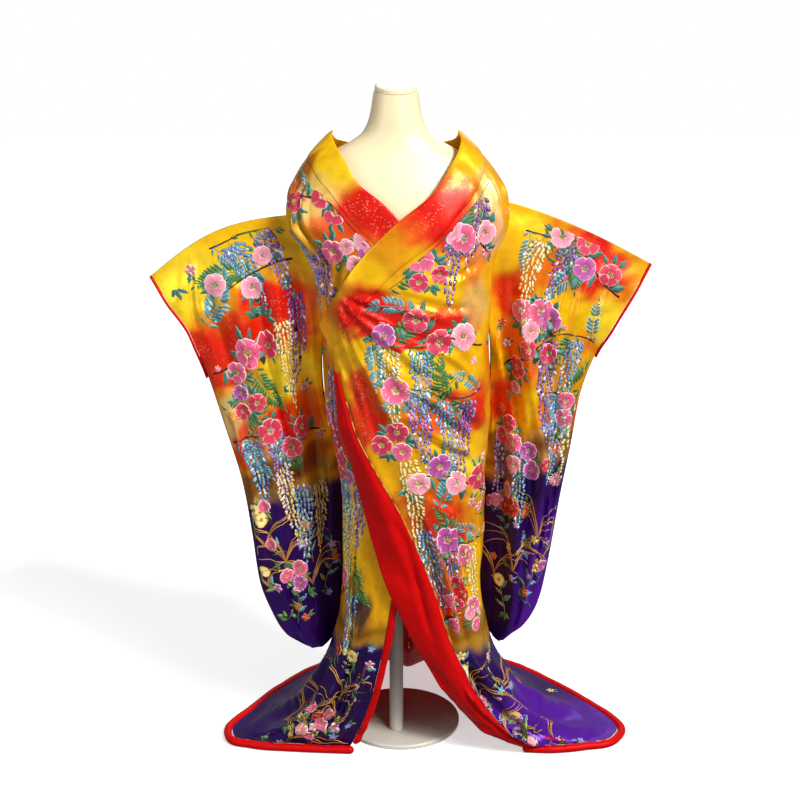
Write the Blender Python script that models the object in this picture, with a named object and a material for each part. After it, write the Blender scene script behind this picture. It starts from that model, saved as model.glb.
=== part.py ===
"""Uchikake wedding kimono worn by a limbless dress form.

The robe is built from the pieces a maker cuts: two body lengths (each runs from
the front hem over the shoulder to the back hem), two overlap panels, one collar
band, two long sleeves, and the red lining where it shows: the padded hem roll,
the rolled front edge, the turned-back front edge and the cuff rolls.

Frame: metres, +Z up, the robe faces -Y, the origin is on the floor under the
neck. Cloth places are named by two numbers: "turn", the angle round the body in
degrees (0 front centre, 90 the wearer's right side, 180 back centre, 270 the
wearer's left side, 360 front centre again, one layer further out), and "share",
how far round the cloth a point is, from the under front edge (0) to the over
front edge (1).
"""
import math

import bmesh
import bpy
import numpy as np

# ---------------------------------------------------------------- sizes
CLOTH = 0.0020          # padded silk, outer silk and lining together
COLLAR_OUT = 0.0016     # the collar band stands this far out of the body cloth
COLLAR_IN = 0.0026
GAP = 0.0003            # between sewn pieces
LAYER = 0.0095          # the over front lies this far outside the under front
SQUARE = 0.07           # how far the body's round section is squared up
KNEE_Z = 0.440          # the skirt flares below this height
YOKE_Z = 0.955          # the collar ends just above this height
HEM_Z = 0.0138          # where the cloth meets the hem roll
HEM_ROLL = 0.0100       # radius of the padded hem roll
SLIT_TOP, SLIT_LOW = 1.238, 0.880   # armhole and open side below it
SLIT_HALF_TURN = 10.5   # half of the armhole's widest turn
CUFF_ROLL = 0.0030
OKUMI_R, SIDE_R, BACK, SIDE_L, OKUMI_L = 0.11, 0.30, 0.50, 0.70, 0.89   # seam shares

# body sections: height, centre x, half width, front depth, back depth
BODY = [
    (0.440, 0.031, 0.150, 0.118, 0.128),
    (0.500, 0.033, 0.151, 0.121, 0.129),
    (0.600, 0.035, 0.152, 0.126, 0.131),
    (0.720, 0.029, 0.161, 0.134, 0.136),
    (0.840, 0.020, 0.1735, 0.141, 0.138),
    (0.950, 0.018, 0.1745, 0.142, 0.133),
    (1.060, 0.014, 0.1760, 0.140, 0.127),
    (1.160, 0.009, 0.1860, 0.136, 0.124),
    (1.240, 0.000, 0.2270, 0.128, 0.120),
    (1.280, -0.001, 0.226, 0.119, 0.116),
    (1.335, -0.001, 0.201, 0.100, 0.111),
    (1.375, -0.001, 0.171, 0.076, 0.106),
    (1.414, -0.002, 0.131, 0.048, 0.100),
    (1.440, -0.002, 0.104, 0.030, 0.096),
]
# front edges: height, turn of the under edge, turn of the over edge
EDGES = [
    (0.440, 14.0, 375.0),
    (0.500, 8.0, 383.0),
    (0.600, -4.0, 393.5),
    (0.720, -20.0, 402.0),
    (0.840, -38.0, 407.5),
    (0.955, -50.0, 411.5),
]
# the collar seam: turn, height
SEAM = [
    (-54.0, 0.975), (-36.0, 1.040), (-17.0, 1.110), (0.0, 1.162), (11.3, 1.205),
    (21.3, 1.250), (33.9, 1.300), (47.4, 1.327), (66.0, 1.352), (90.0, 1.362),
    (135.0, 1.312), (180.0, 1.292), (225.0, 1.315), (270.0, 1.373), (292.0, 1.352),
    (312.4, 1.316), (329.7, 1.262), (343.5, 1.205), (360.0, 1.160), (374.8, 1.112),
    (393.4, 1.042), (413.3, 0.973),
]
# the collar's inner edge against its seam: seam turn, edge turn, edge height
COLLAR_EDGE = [
    (-54.0, -74.0, 1.020), (-36.0, -50.0, 1.075), (-17.0, -27.0, 1.158), (0.0, -8.0, 1.212),
    (11.3, -1.5, 1.255), (21.3, 7.0, 1.290), (33.9, 20.0, 1.325), (47.4, 33.0, 1.366),
    (66.0, 57.0, 1.400), (90.0, 88.0, 1.418), (135.0, 135.0, 1.388), (180.0, 180.0, 1.366),
    (225.0, 225.0, 1.388), (270.0, 272.0, 1.418), (292.0, 301.0, 1.396), (312.4, 326.0, 1.357),
    (329.7, 344.5, 1.298), (343.5, 357.5, 1.257), (360.0, 368.5, 1.216), (374.8, 386.0, 1.162),
    (393.4, 408.5, 1.082), (413.3, 434.0, 1.014),
]
# the hem on the floor, seen from above: share, x, y
HEM = [
    (0.000, -0.106, -0.044), (0.110, -0.228, -0.034), (0.200, -0.335, -0.018),
    (0.240, -0.379, 0.003), (0.262, -0.385, 0.042), (0.300, -0.341, 0.128),
    (0.355, -0.280, 0.235), (0.405, -0.205, 0.328), (0.450, -0.110, 0.392),
    (0.500, 0.020, 0.418), (0.550, 0.160, 0.412), (0.605, 0.288, 0.352),
    (0.650, 0.376, 0.264), (0.700, 0.448, 0.170), (0.742, 0.508, 0.080),
    (0.766, 0.520, 0.038), (0.790, 0.502, 0.000), (0.850, 0.432, -0.028),
    (0.920, 0.362, -0.040), (1.000, 0.300, -0.038),
]
# the large skirt folds: share at the knee, share at the hem, half width, height at the hem
SKIRT_FOLDS = [
    (0.050, 0.060, 0.020, 0.010), (0.185, 0.170, 0.024, 0.014), (0.275, 0.315, 0.026, 0.016),
    (0.385, 0.395, 0.030, 0.022), (0.455, 0.470, 0.024, 0.016), (0.545, 0.540, 0.028, 0.020),
    (0.620, 0.625, 0.030, 0.022), (0.715, 0.705, 0.024, 0.016), (0.800, 0.835, 0.026, 0.014),
]
# the large folds of the upper body: turn and height of each end, half width in degrees, depth
BODY_FOLDS = [
    (61.0, 1.285, 70.0, 1.02, 7.0, 0.011), (77.0, 1.250, 80.0, 1.03, 5.0, -0.009),
    (297.0, 1.290, 291.0, 1.02, 6.5, 0.010), (283.0, 1.255, 281.0, 1.04, 4.5, -0.008),
    (401.0, 1.075, 352.0, 0.90, 6.5, 0.006), (397.0, 1.010, 340.0, 0.74, 7.0, 0.007),
    (330.0, 0.930, 291.0, 0.78, 7.5, 0.006), (318.0, 0.760, 287.0, 0.62, 7.0, 0.006),
    (392.0, 0.830, 366.0, 0.50, 8.0, 0.007), (148.0, 1.220, 160.0, 0.70, 9.0, 0.006),
    (212.0, 1.215, 202.0, 0.66, 9.0, 0.006), (120.0, 0.800, 128.0, 0.46, 9.0, 0.006),
    (243.0, 0.780, 236.0, 0.46, 9.0, 0.006),
]
# the turned-back front edge: height at the fold, width shown
TURN_BACK = [
    (0.014, 0.040), (0.060, 0.075), (0.110, 0.092), (0.180, 0.099), (0.260, 0.100),
    (0.370, 0.095), (0.490, 0.094), (0.600, 0.081), (0.720, 0.058), (0.840, 0.034), (0.930, 0.012),
]
# sleeves, from the top fold to the bottom: share down, turn of the inner edge away from the
# side line, its stand-off from the body, its z, outer x, outer z, half space between the layers
SLEEVE_R = [
    (0.00, 0.0, 0.0015, 1.240, -0.516, 1.112, 0.006),
    (0.05, 0.0, 0.0015, 1.180, -0.486, 1.062, 0.017),
    (0.12, 0.0, 0.0015, 1.105, -0.440, 0.995, 0.023),
    (0.22, 0.0, 0.0015, 1.010, -0.407, 0.895, 0.022),
    (0.35, 11.0, 0.0090, 0.885, -0.376, 0.785, 0.019),
    (0.50, 25.0, 0.0160, 0.735, -0.338, 0.640, 0.016),
    (0.65, 31.0, 0.0200, 0.590, -0.321, 0.520, 0.015),
    (0.80, 32.0, 0.0220, 0.440, -0.308, 0.410, 0.014),
    (0.90, 32.0, 0.0250, 0.345, -0.281, 0.330, 0.013),
    (0.97, 31.0, 0.0280, 0.280, -0.250, 0.276, 0.010),
    (1.00, 31.0, 0.0300, 0.252, -0.214, 0.252, 0.004),
]
SLEEVE_L = [
    (0.00, 0.0, 0.0015, 1.268, 0.534, 1.138, 0.006),
    (0.05, 0.0, 0.0015, 1.212, 0.508, 1.090, 0.017),
    (0.12, 0.0, 0.0015, 1.135, 0.468, 1.020, 0.023),
    (0.22, 0.0, 0.0015, 1.035, 0.428, 0.940, 0.022),
    (0.35, 11.0, 0.0090, 0.900, 0.399, 0.850, 0.019),
    (0.50, 24.0, 0.0160, 0.755, 0.383, 0.740, 0.016),
    (0.65, 30.0, 0.0200, 0.605, 0.362, 0.610, 0.015),
    (0.80, 31.0, 0.0220, 0.455, 0.341, 0.460, 0.014),
    (0.90, 28.0, 0.0290, 0.360, 0.322, 0.362, 0.013),
    (0.97, 23.0, 0.0360, 0.295, 0.290, 0.300, 0.010),
    (1.00, 21.0, 0.0400, 0.268, 0.255, 0.272, 0.004),
]
# the large sleeve folds: share across at the top, at the bottom, start down, half width, depth
FOLDS_R = [(0.80, 0.70, 0.02, 0.060, 0.010), (0.52, 0.42, 0.10, 0.075, 0.012), (0.20, 0.18, 0.02, 0.070, -0.014)]
FOLDS_L = [(0.24, 0.52, 0.06, 0.070, 0.013), (0.58, 0.74, 0.20, 0.070, 0.010), (0.14, 0.20, 0.02, 0.060, -0.013)]
CUFF_SHARE = 0.225      # the cuff opening's share of the sleeve's length
TOP_BULGE_R, TOP_BULGE_L = 0.026, 0.004

# dress form sections: height, half width, front depth, back depth
FORM = [
    (0.742, 0.070, 0.050, 0.056), (0.746, 0.102, 0.078, 0.088), (0.760, 0.119, 0.095, 0.104),
    (0.800, 0.127, 0.104, 0.112), (0.880, 0.128, 0.103, 0.106), (0.970, 0.122, 0.099, 0.094),
    (1.060, 0.138, 0.110, 0.096), (1.160, 0.158, 0.116, 0.099), (1.240, 0.194, 0.110, 0.098),
    (1.280, 0.200, 0.101, 0.094), (1.335, 0.175, 0.082, 0.087), (1.370, 0.140, 0.064, 0.078),
    (1.395, 0.094, 0.055, 0.068), (1.415, 0.068, 0.052, 0.060), (1.445, 0.0545, 0.051, 0.054),
    (1.480, 0.0480, 0.047, 0.048), (1.4985, 0.0450, 0.045, 0.045),
]
CAP_TILT = math.radians(7.5)
CAP_RADIUS, CAP_HIGH, CAP_Z = 0.0428, 0.011, 1.512
POLE_XY, POLE_R = (0.0, 0.040), 0.0160
BASE_XY, BASE_R, BASE_HIGH = (0.010, 0.100), 0.140, 0.012


# ---------------------------------------------------------------- curves through tables
def through(rows, at, column):
    """A smooth curve with no overshoot through one column of a table (its first column is the place)."""
    x = np.array([r[0] for r in rows], float)
    y = np.array([r[column] for r in rows], float)
    h, d = np.diff(x), np.diff(y) / np.diff(x)
    m = np.zeros(len(x))
    same = d[:-1] * d[1:] > 0
    w1, w2 = 2 * h[1:] + h[:-1], h[1:] + 2 * h[:-1]
    with np.errstate(divide="ignore", invalid="ignore"):
        m[1:-1] = np.where(same, (w1 + w2) / (w1 / d[:-1] + w2 / d[1:]), 0.0)
    m[0], m[-1] = d[0], d[-1]
    at = np.asarray(at, float)
    i = np.clip(np.searchsorted(x, at) - 1, 0, len(h) - 1)
    t = (at - x[i]) / h[i]
    low, high = t < 0, t > 1
    tc = np.clip(t, 0, 1)
    v = ((2 * tc**3 - 3 * tc**2 + 1) * y[i] + (tc**3 - 2 * tc**2 + tc) * h[i] * m[i]
         + (-2 * tc**3 + 3 * tc**2) * y[i + 1] + (tc**3 - tc**2) * h[i] * m[i + 1])
    return v + np.where(low, t * h[i] * m[i], 0) + np.where(high, (t - 1) * h[i] * m[i + 1], 0)


def swing(rows, at, column):
    """A rounder curve through one column of a table, for the hem's plan."""
    x = np.array([r[0] for r in rows], float)
    y = np.array([r[column] for r in rows], float)
    m = np.gradient(y, x)
    at = np.asarray(at, float)
    i = np.clip(np.searchsorted(x, at) - 1, 0, len(x) - 2)
    h = x[i + 1] - x[i]
    t = np.clip((at - x[i]) / h, 0, 1)
    v = ((2 * t**3 - 3 * t**2 + 1) * y[i] + (t**3 - 2 * t**2 + t) * h * m[i]
         + (-2 * t**3 + 3 * t**2) * y[i + 1] + (t**3 - t**2) * h * m[i + 1])
    return v + np.where(at < x[0], (at - x[0]) * m[0], 0) + np.where(at > x[-1], (at - x[-1]) * m[-1], 0)


def ease(t):
    t = np.clip(t, 0, 1)
    return t * t * (3 - 2 * t)


def unit(v):
    return v / np.maximum(np.linalg.norm(v, axis=-1, keepdims=True), 1e-12)


# ---------------------------------------------------------------- the body tube
def body_fold(turn, z):
    out = np.zeros(np.broadcast(turn, z).shape)
    for t0, z0, t1, z1, half, depth in BODY_FOLDS:
        k = (z0 - z) / (z0 - z1)
        middle = t0 + (t1 - t0) * k
        along = ease((k + 0.12) / 0.35) * ease((1.12 - k) / 0.35)
        out = out + depth * np.exp(-(((turn - middle) / half) ** 2)) * along
    return out


def body(turn, z):
    """A point of the outer cloth surface above the knee."""
    turn, z = np.broadcast_arrays(np.asarray(turn, float), np.asarray(z, float))
    cx, a, f, b = (through(BODY, z, c) for c in (1, 2, 3, 4))
    out = LAYER * ease((turn - 190) / 110) * (1 - 0.75 * ease((z - 1.30) / 0.09)) + body_fold(turn, z)
    s, c = np.sin(np.radians(turn)), np.cos(np.radians(turn))
    deep = np.where(c > 0, f, b)
    x = cx - (a + out) * s * (1 + SQUARE * c * c)
    y = -(deep + out) * c * (1 + SQUARE * s * s)
    return np.stack([x, y, z], -1)


def body_normal(turn, z):
    e, g = 0.4, 0.002
    du = body(turn + e, z) - body(turn - e, z)
    dz = body(turn, z + g) - body(turn, z - g)
    return unit(np.cross(dz, du))


def turn_of(share, z):
    """Turn of a share of the cloth at a height, below the collar's end."""
    share, z = np.broadcast_arrays(np.asarray(share, float), np.asarray(z, float))
    zz = np.minimum(z, YOKE_Z)
    u, o = through(EDGES, zz, 1), through(EDGES, zz, 2)
    return np.where(
        share < SIDE_R, u + (90 - u) * share / SIDE_R,
        np.where(share < SIDE_L, 90 + 180 * (share - SIDE_R) / (SIDE_L - SIDE_R),
                 270 + (o - 270) * (share - SIDE_L) / (1 - SIDE_L)))


# ---------------------------------------------------------------- the flare and train
def hem(share):
    x, y = swing(HEM, share, 1), swing(HEM, share, 2)
    return np.stack([x, y, np.full(np.shape(x), HEM_Z)], -1)


def hem_out(share):
    """Outward direction of the hem on the floor."""
    d = hem(np.asarray(share) + 0.002) - hem(np.asarray(share) - 0.002)
    return unit(np.stack([-d[..., 1], d[..., 0], np.zeros(d.shape[:-1])], -1))


def flare(share, down):
    """A point below the knee: down is 0 at the knee and 1 at the hem."""
    share, down = np.broadcast_arrays(np.asarray(share, float), np.asarray(down, float))
    k = body(turn_of(share, KNEE_Z), np.full(share.shape, KNEE_Z))
    h = hem(share)
    flat = h - k
    flat[..., 2] = 0
    reach = np.linalg.norm(flat, axis=-1)[..., None]
    edge = (np.exp(-(((1 - share) / 0.10) ** 2)) + np.exp(-((share / 0.09) ** 2)))[..., None]
    drop = np.array([0.0, 0.0, 1.0])
    p1 = k + flat * (0.04 + 0.22 * edge) - drop * (0.285 - 0.085 * edge)
    p2 = h - flat * (0.60 - 0.12 * edge) + drop * (0.115 * np.exp(-((reach / 0.15) ** 2)) + 0.002 + 0.040 * edge)
    t = down[..., None]
    p = (1 - t) ** 3 * k + 3 * t * (1 - t) ** 2 * p1 + 3 * t * t * (1 - t) * p2 + t**3 * h
    return p


def skirt_fold(share, down):
    out = np.zeros(np.broadcast(share, down).shape)
    for s0, s1, half, depth in SKIRT_FOLDS:
        middle = s0 + (s1 - s0) * down
        size = ease(down / 0.45) * (1 - 0.85 * ease((down - 0.80) / 0.20))
        out = out + depth * size * np.exp(-(((share - middle) / half) ** 2))
    return out


def flare_normal(share, down):
    e = 0.002
    d0, d1 = np.clip(down - 0.01, 0, 1), np.clip(down + 0.01, 0, 1)
    ds = flare(share + e, down) - flare(share - e, down)
    dd = flare(share, d1) - flare(share, d0)
    return unit(np.cross(ds, dd))


def skirt(share, down):
    """The folded skirt surface and its outward direction."""
    n0 = flare_normal(share, down)
    p = flare(share, down) + n0 * skirt_fold(share, down)[..., None]
    e = 0.003

    def q(s, d):
        return flare(s, d) + flare_normal(s, d) * skirt_fold(s, d)[..., None]

    d0, d1 = np.clip(down - 0.015, 0, 1), np.clip(down + 0.015, 0, 1)
    n = unit(np.cross(q(share + e, down) - q(share - e, down), q(share, d1) - q(share, d0)))
    return p, n


# ---------------------------------------------------------------- one cloth surface for every body panel
ROWS_DOWN = [1.0, 0.93, 0.84, 0.74, 0.63, 0.51, 0.38, 0.25, 0.12]       # skirt rows, hem to knee
ROWS_Z = [0.440, 0.510, 0.580, 0.655, 0.730, 0.805, 0.880, 0.955]       # column rows
ROWS_UP = [0.16, 0.32, 0.48, 0.62, 0.745, 0.84, 0.92, 1.0]              # yoke rows, to the collar seam


def side_turn(z, side):
    """How far the front (side -1) or back (+1) cloth draws away from the side line at the armhole."""
    k = np.clip((z - SLIT_LOW) / (SLIT_TOP - SLIT_LOW), 0, 1)
    return side * SLIT_HALF_TURN * np.sin(np.pi * k) ** 1.2


def panel(share, lean_low=None, lean_high=None):
    """Outer points and outward directions of a panel whose columns have these shares.
    lean_low and lean_high name the open side that the first or last column follows."""
    share = np.asarray(share, float)
    n = len(share)
    pts, nor = [], []

    def lean(turn, z):
        turn = turn.copy()
        for which, fade in ((lean_low, np.linspace(1, 0, n)), (lean_high, np.linspace(0, 1, n))):
            if which:
                turn = turn + side_turn(z, which) * fade**2
        return turn

    for d in ROWS_DOWN:
        p, nn = skirt(share, np.full(n, d))
        pts.append(p), nor.append(nn)
    for z in ROWS_Z:
        t = lean(turn_of(share, z), np.full(n, z))
        pts.append(body(t, np.full(n, z))), nor.append(body_normal(t, np.full(n, z)))
    base = turn_of(share, YOKE_Z)
    top = through(SEAM, base, 1)
    for up in ROWS_UP:
        z = YOKE_Z + (top - YOKE_Z) * up
        t = lean(base, z)
        pts.append(body(t, z)), nor.append(body_normal(t, z))
    return np.array(pts), np.array(nor)


def draw_in(pts, column, sign, by):
    """Moves a border column back into its panel, which leaves the seam's gap."""
    along = unit(pts[:, column + sign] - pts[:, column])
    pts[:, column] += along * by


# ---------------------------------------------------------------- solids
def material(name, colour, roughness, metallic=0.0):
    m = bpy.data.materials.get(name)
    if m is None:
        m = bpy.data.materials.new(name)
        m.use_nodes = True
        b = m.node_tree.nodes["Principled BSDF"]
        b.inputs["Base Color"].default_value = (*colour, 1)
        b.inputs["Roughness"].default_value = roughness
        b.inputs["Metallic"].default_value = metallic
    return m


def add(name, bm, mat, smooth=True):
    bmesh.ops.recalc_face_normals(bm, faces=bm.faces)
    me = bpy.data.meshes.new(name)
    bm.to_mesh(me)
    bm.free()
    me.materials.append(mat)
    if smooth:
        me.shade_smooth()
        me.set_sharp_from_angle(angle=math.radians(40))
    o = bpy.data.objects.new(name, me)
    bpy.context.scene.collection.objects.link(o)
    return o


def wall(name, points, normals, quads, mat, out=0.0, into=CLOTH):
    """A closed cloth wall: the points moved out and in along their directions, with rims round every free edge."""
    bm = bmesh.new()
    outer = [bm.verts.new(p + n * out) for p, n in zip(points, normals)]
    inner = [bm.verts.new(p - n * into) for p, n in zip(points, normals)]
    uses = {}
    for q in quads:
        for i in range(len(q)):
            e = (q[i], q[(i + 1) % len(q)])
            uses[frozenset(e)] = uses.get(frozenset(e), []) + [e]
        bm.faces.new([outer[i] for i in q])
        bm.faces.new([inner[i] for i in reversed(q)])
    for sides in uses.values():
        if len(sides) == 1:
            i, j = sides[0]
            bm.faces.new([outer[j], outer[i], inner[i], inner[j]])
    bmesh.ops.triangulate(bm, faces=bm.faces)
    return add(name, bm, mat)


def grid_quads(rows, columns, start=0):
    return [(start + r * columns + c, start + r * columns + c + 1,
             start + (r + 1) * columns + c + 1, start + (r + 1) * columns + c)
            for r in range(rows - 1) for c in range(columns - 1)]


def tube(name, centres, rights, ups, mat, sides=8, closed=False, flat=1.0):
    """A round roll along a line, from the radius vectors at each of its stations."""
    bm = bmesh.new()
    rings = []
    for c, r, u in zip(centres, rights, ups):
        rings.append([bm.verts.new(c + r * math.cos(a) + u * math.sin(a) * flat)
                      for a in (2 * math.pi * k / sides for k in range(sides))])
    pairs = list(zip(rings[:-1], rings[1:])) + ([(rings[-1], rings[0])] if closed else [])
    for a, b in pairs:
        for k in range(sides):
            bm.faces.new([a[k], a[(k + 1) % sides], b[(k + 1) % sides], b[k]])
    if not closed:
        bm.faces.new(list(reversed(rings[0])))
        bm.faces.new(rings[-1])
    bmesh.ops.triangulate(bm, faces=bm.faces)
    return add(name, bm, mat)


# ---------------------------------------------------------------- the garment's pieces
def body_length(name, front_shares, back_shares, front_first, mat):
    """One body length: front and back in one piece over the shoulder, slit at the armhole, sewn below it."""
    if front_first:      # wearer's right: shares rise from the front to the back
        pf, nf = panel(front_shares, lean_high=-1)
        pb, nb = panel(back_shares, lean_low=+1)
    else:                # wearer's left: shares rise from the back to the front
        pb, nb = panel(back_shares, lean_high=-1)
        pf, nf = panel(front_shares, lean_low=+1)
    rows = len(pf)
    f_side, b_side = (-1, 0) if front_first else (0, -1)
    z = pf[:, f_side, 2]
    meet = [i for i in range(rows) if i >= len(ROWS_DOWN) and z[i] >= SLIT_TOP - 0.004]
    first = meet[0]
    fc, bc = (len(front_shares) - 1, 0) if front_first else (0, len(back_shares) - 1)
    keep_f, keep_b = pf[first:, fc].copy(), pb[first:, bc].copy()
    draw_in(pf, fc, -1 if front_first else 1, GAP * 0.75)
    draw_in(pb, bc, 1 if front_first else -1, GAP * 0.75)
    pf[first:, fc] = keep_f
    pb[first:, bc] = keep_b
    if front_first:      # okumi seam and centre back seam
        draw_in(pf, 0, 1, GAP * 0.75), draw_in(pb, len(back_shares) - 1, -1, GAP * 0.75)
    else:
        draw_in(pf, len(front_shares) - 1, -1, GAP * 0.75), draw_in(pb, 0, 1, GAP * 0.75)
    # the shoulder line is one column shared by front and back
    points = list(pf.reshape(-1, 3)) + list(pb.reshape(-1, 3))
    normals = list(nf.reshape(-1, 3)) + list(nb.reshape(-1, 3))
    nfc, nbc = pf.shape[1], pb.shape[1]
    shift = rows * nfc
    same = {shift + r * nbc + bc: r * nfc + fc for r in range(first, rows)}
    quads = grid_quads(rows, nfc) + grid_quads(rows, nbc, shift)
    quads = [tuple(same.get(i, i) for i in q) for q in quads]
    used = sorted(set(i for q in quads for i in q))
    where = {i: k for k, i in enumerate(used)}
    for i, j in same.items():
        normals[j] = unit(normals[i] + normals[j])
    quads = [tuple(where[i] for i in reversed(q)) for q in quads]
    return wall(name, [points[i] for i in used], [normals[i] for i in used], quads, mat), (pf, nf, pb, nb)


def okumi(name, shares, seam_last, mat):
    p, n = panel(shares)
    draw_in(p, len(shares) - 1 if seam_last else 0, -1 if seam_last else 1, GAP * 0.75)
    quads = [tuple(reversed(q)) for q in grid_quads(p.shape[0], p.shape[1])]
    return wall(name, p.reshape(-1, 3), n.reshape(-1, 3), quads, mat)


def collar(name, seam_turns, mat, across=3):
    """The collar band, from its stations along the panels' top edges."""
    seam_z = through(SEAM, seam_turns, 1)
    edge_t, edge_z = through(COLLAR_EDGE, seam_turns, 1), through(COLLAR_EDGE, seam_turns, 2)
    pts, nor = [], []
    for k in range(across + 1):
        w = k / across
        t, z = seam_turns + (edge_t - seam_turns) * w, seam_z + (edge_z - seam_z) * w
        pts.append(body(t, z)), nor.append(body_normal(t, z))
    p, n = np.array(pts), np.array(nor)
    p[0] += unit(p[1] - p[0]) * GAP * 1.3
    quads = [tuple(reversed(q)) for q in grid_quads(p.shape[0], p.shape[1])]
    return wall(name, p.reshape(-1, 3), n.reshape(-1, 3), quads, mat, COLLAR_OUT, COLLAR_IN)


def sleeve_middle(rows, folds, bulge, across, down):
    """Middle surface of a sleeve: across is 0 at the body and 1 at the cuff, down is 0 at the top fold."""
    across, down = np.broadcast_arrays(np.asarray(across, float), np.asarray(down, float))
    turn, off, zi, xo, zo = (through(rows, down, c) for c in range(1, 6))
    side = 1 if rows[0][4] < 0 else -1       # the wearer's right sleeve hangs at the turn of 90, the left at 270
    shut = (body(90 * (2 - side) + side * turn, zi) + body_normal(90 * (2 - side) + side * turn, zi) * off[..., None])
    k = np.clip((zi - SLIT_LOW) / (SLIT_TOP - SLIT_LOW), 0, 1)
    slack = np.sin(np.radians(SLIT_HALF_TURN * np.sin(np.pi * k) ** 1.2)) ** 2 * 0.11
    xi = shut[..., 0] + side * slack
    w = across**0.86
    x = xi + (xo - xi) * w
    z = zi + (zo - zi) * across + bulge * np.sin(np.pi * across) * (1 - down) ** 2
    z = z - 0.012 * np.sin(np.pi * across) * ease((down - 0.8) / 0.2)
    y = 0.004 + (shut[..., 1] - 0.004) * (1 - across) ** 3.2
    for a0, a1, start, half, depth in folds:
        middle = a0 + (a1 - a0) * down
        grow = ease((down - start) / 0.30) * (1 - 0.55 * ease((down - 0.75) / 0.25)) * (1 - 0.6 * ease((across - 0.85) / 0.15))
        y = y - depth * grow * np.exp(-(((across - middle) / half) ** 2))
    return np.stack([x, y, z], -1)


def sleeve_space(rows, across, down):
    """Half of the space between the outer faces of the two layers."""
    g = through(rows, down, 6)
    shut = np.where(down > CUFF_SHARE, 1.0, ease((down - CUFF_SHARE + 0.08) / 0.08))
    pinch = np.sqrt(np.clip(1 - np.clip((across - 0.90) / 0.10, 0, 1) ** 2, 0, 1))
    least = CLOTH + 0.0010
    return least + (g - 0.003) * (1 - shut * (1 - pinch)) * np.sqrt(np.clip(down / 0.06, 0.0, 1)) * np.sqrt(np.clip((1 - down) / 0.05, 0.0, 1))


def sleeve(name, rows, folds, bulge, mat):
    """A sleeve bag: two layers joined at the top fold, the bottom and the outer edge below the cuff; open at the body."""
    downs = np.array([0.0, 0.03, 0.075, 0.15, CUFF_SHARE, 0.32, 0.42, 0.52, 0.62, 0.72, 0.81, 0.89, 0.95, 1.0])
    acr = np.array([0.0, 0.10, 0.21, 0.33, 0.45, 0.57, 0.69, 0.81, 0.91, 1.0])
    cuff = int(np.argmin(abs(downs - CUFF_SHARE)))
    nd, na = len(downs), len(acr)
    bm = bmesh.new()

    def skin(inside):
        """Front and back faces of the outer skin, or of the inner skin one cloth in."""
        d, a = downs.copy(), acr.copy()
        if inside:
            d[0], d[-1] = 0.0026, 1 - 0.0026
        A, Dn = np.meshgrid(a, d)
        if inside:
            A = A.copy()
            A[cuff + 1:, -1] -= 0.010
        m = sleeve_middle(rows, folds, bulge, A, Dn)
        g = sleeve_space(rows, A, Dn) - (CLOTH if inside else 0)
        f, b = m.copy(), m.copy()
        f[..., 1] -= g
        b[..., 1] += g
        return [[bm.verts.new(v) for v in r] for r in f], [[bm.verts.new(v) for v in r] for r in b]

    of, ob = skin(False)
    nf, nb = skin(True)
    for r in range(nd - 1):
        for c in range(na - 1):
            bm.faces.new([of[r][c], of[r][c + 1], of[r + 1][c + 1], of[r + 1][c]])
            bm.faces.new([ob[r][c + 1], ob[r][c], ob[r + 1][c], ob[r + 1][c + 1]])
            bm.faces.new([nf[r][c + 1], nf[r][c], nf[r + 1][c], nf[r + 1][c + 1]])
            bm.faces.new([nb[r][c], nb[r][c + 1], nb[r + 1][c + 1], nb[r + 1][c]])
    for c in range(na - 1):
        bm.faces.new([ob[0][c], ob[0][c + 1], of[0][c + 1], of[0][c]])
        bm.faces.new([nf[0][c], nf[0][c + 1], nb[0][c + 1], nb[0][c]])
        bm.faces.new([of[-1][c], of[-1][c + 1], ob[-1][c + 1], ob[-1][c]])
        bm.faces.new([nb[-1][c], nb[-1][c + 1], nf[-1][c + 1], nf[-1][c]])
    for r in range(nd - 1):      # body edge: open, so the two skins meet layer by layer
        bm.faces.new([of[r + 1][0], nf[r + 1][0], nf[r][0], of[r][0]])
        bm.faces.new([nb[r + 1][0], ob[r + 1][0], ob[r][0], nb[r][0]])
        if r < cuff:             # cuff opening
            bm.faces.new([of[r][-1], nf[r][-1], nf[r + 1][-1], of[r + 1][-1]])
            bm.faces.new([nb[r][-1], ob[r][-1], ob[r + 1][-1], nb[r + 1][-1]])
        else:                    # sewn outer edge
            bm.faces.new([of[r][-1], ob[r][-1], ob[r + 1][-1], of[r + 1][-1]])
            bm.faces.new([nb[r][-1], nf[r][-1], nf[r + 1][-1], nb[r + 1][-1]])
    bm.faces.new([of[0][0], nf[0][0], nb[0][0], ob[0][0]])
    bm.faces.new([of[0][-1], ob[0][-1], nb[0][-1], nf[0][-1]])
    bm.faces.new([of[-1][0], ob[-1][0], nb[-1][0], nf[-1][0]])
    bm.faces.new([of[cuff][-1], nf[cuff][-1], nb[cuff][-1], ob[cuff][-1]])
    bmesh.ops.triangulate(bm, faces=bm.faces)
    return add(name, bm, mat)


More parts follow.
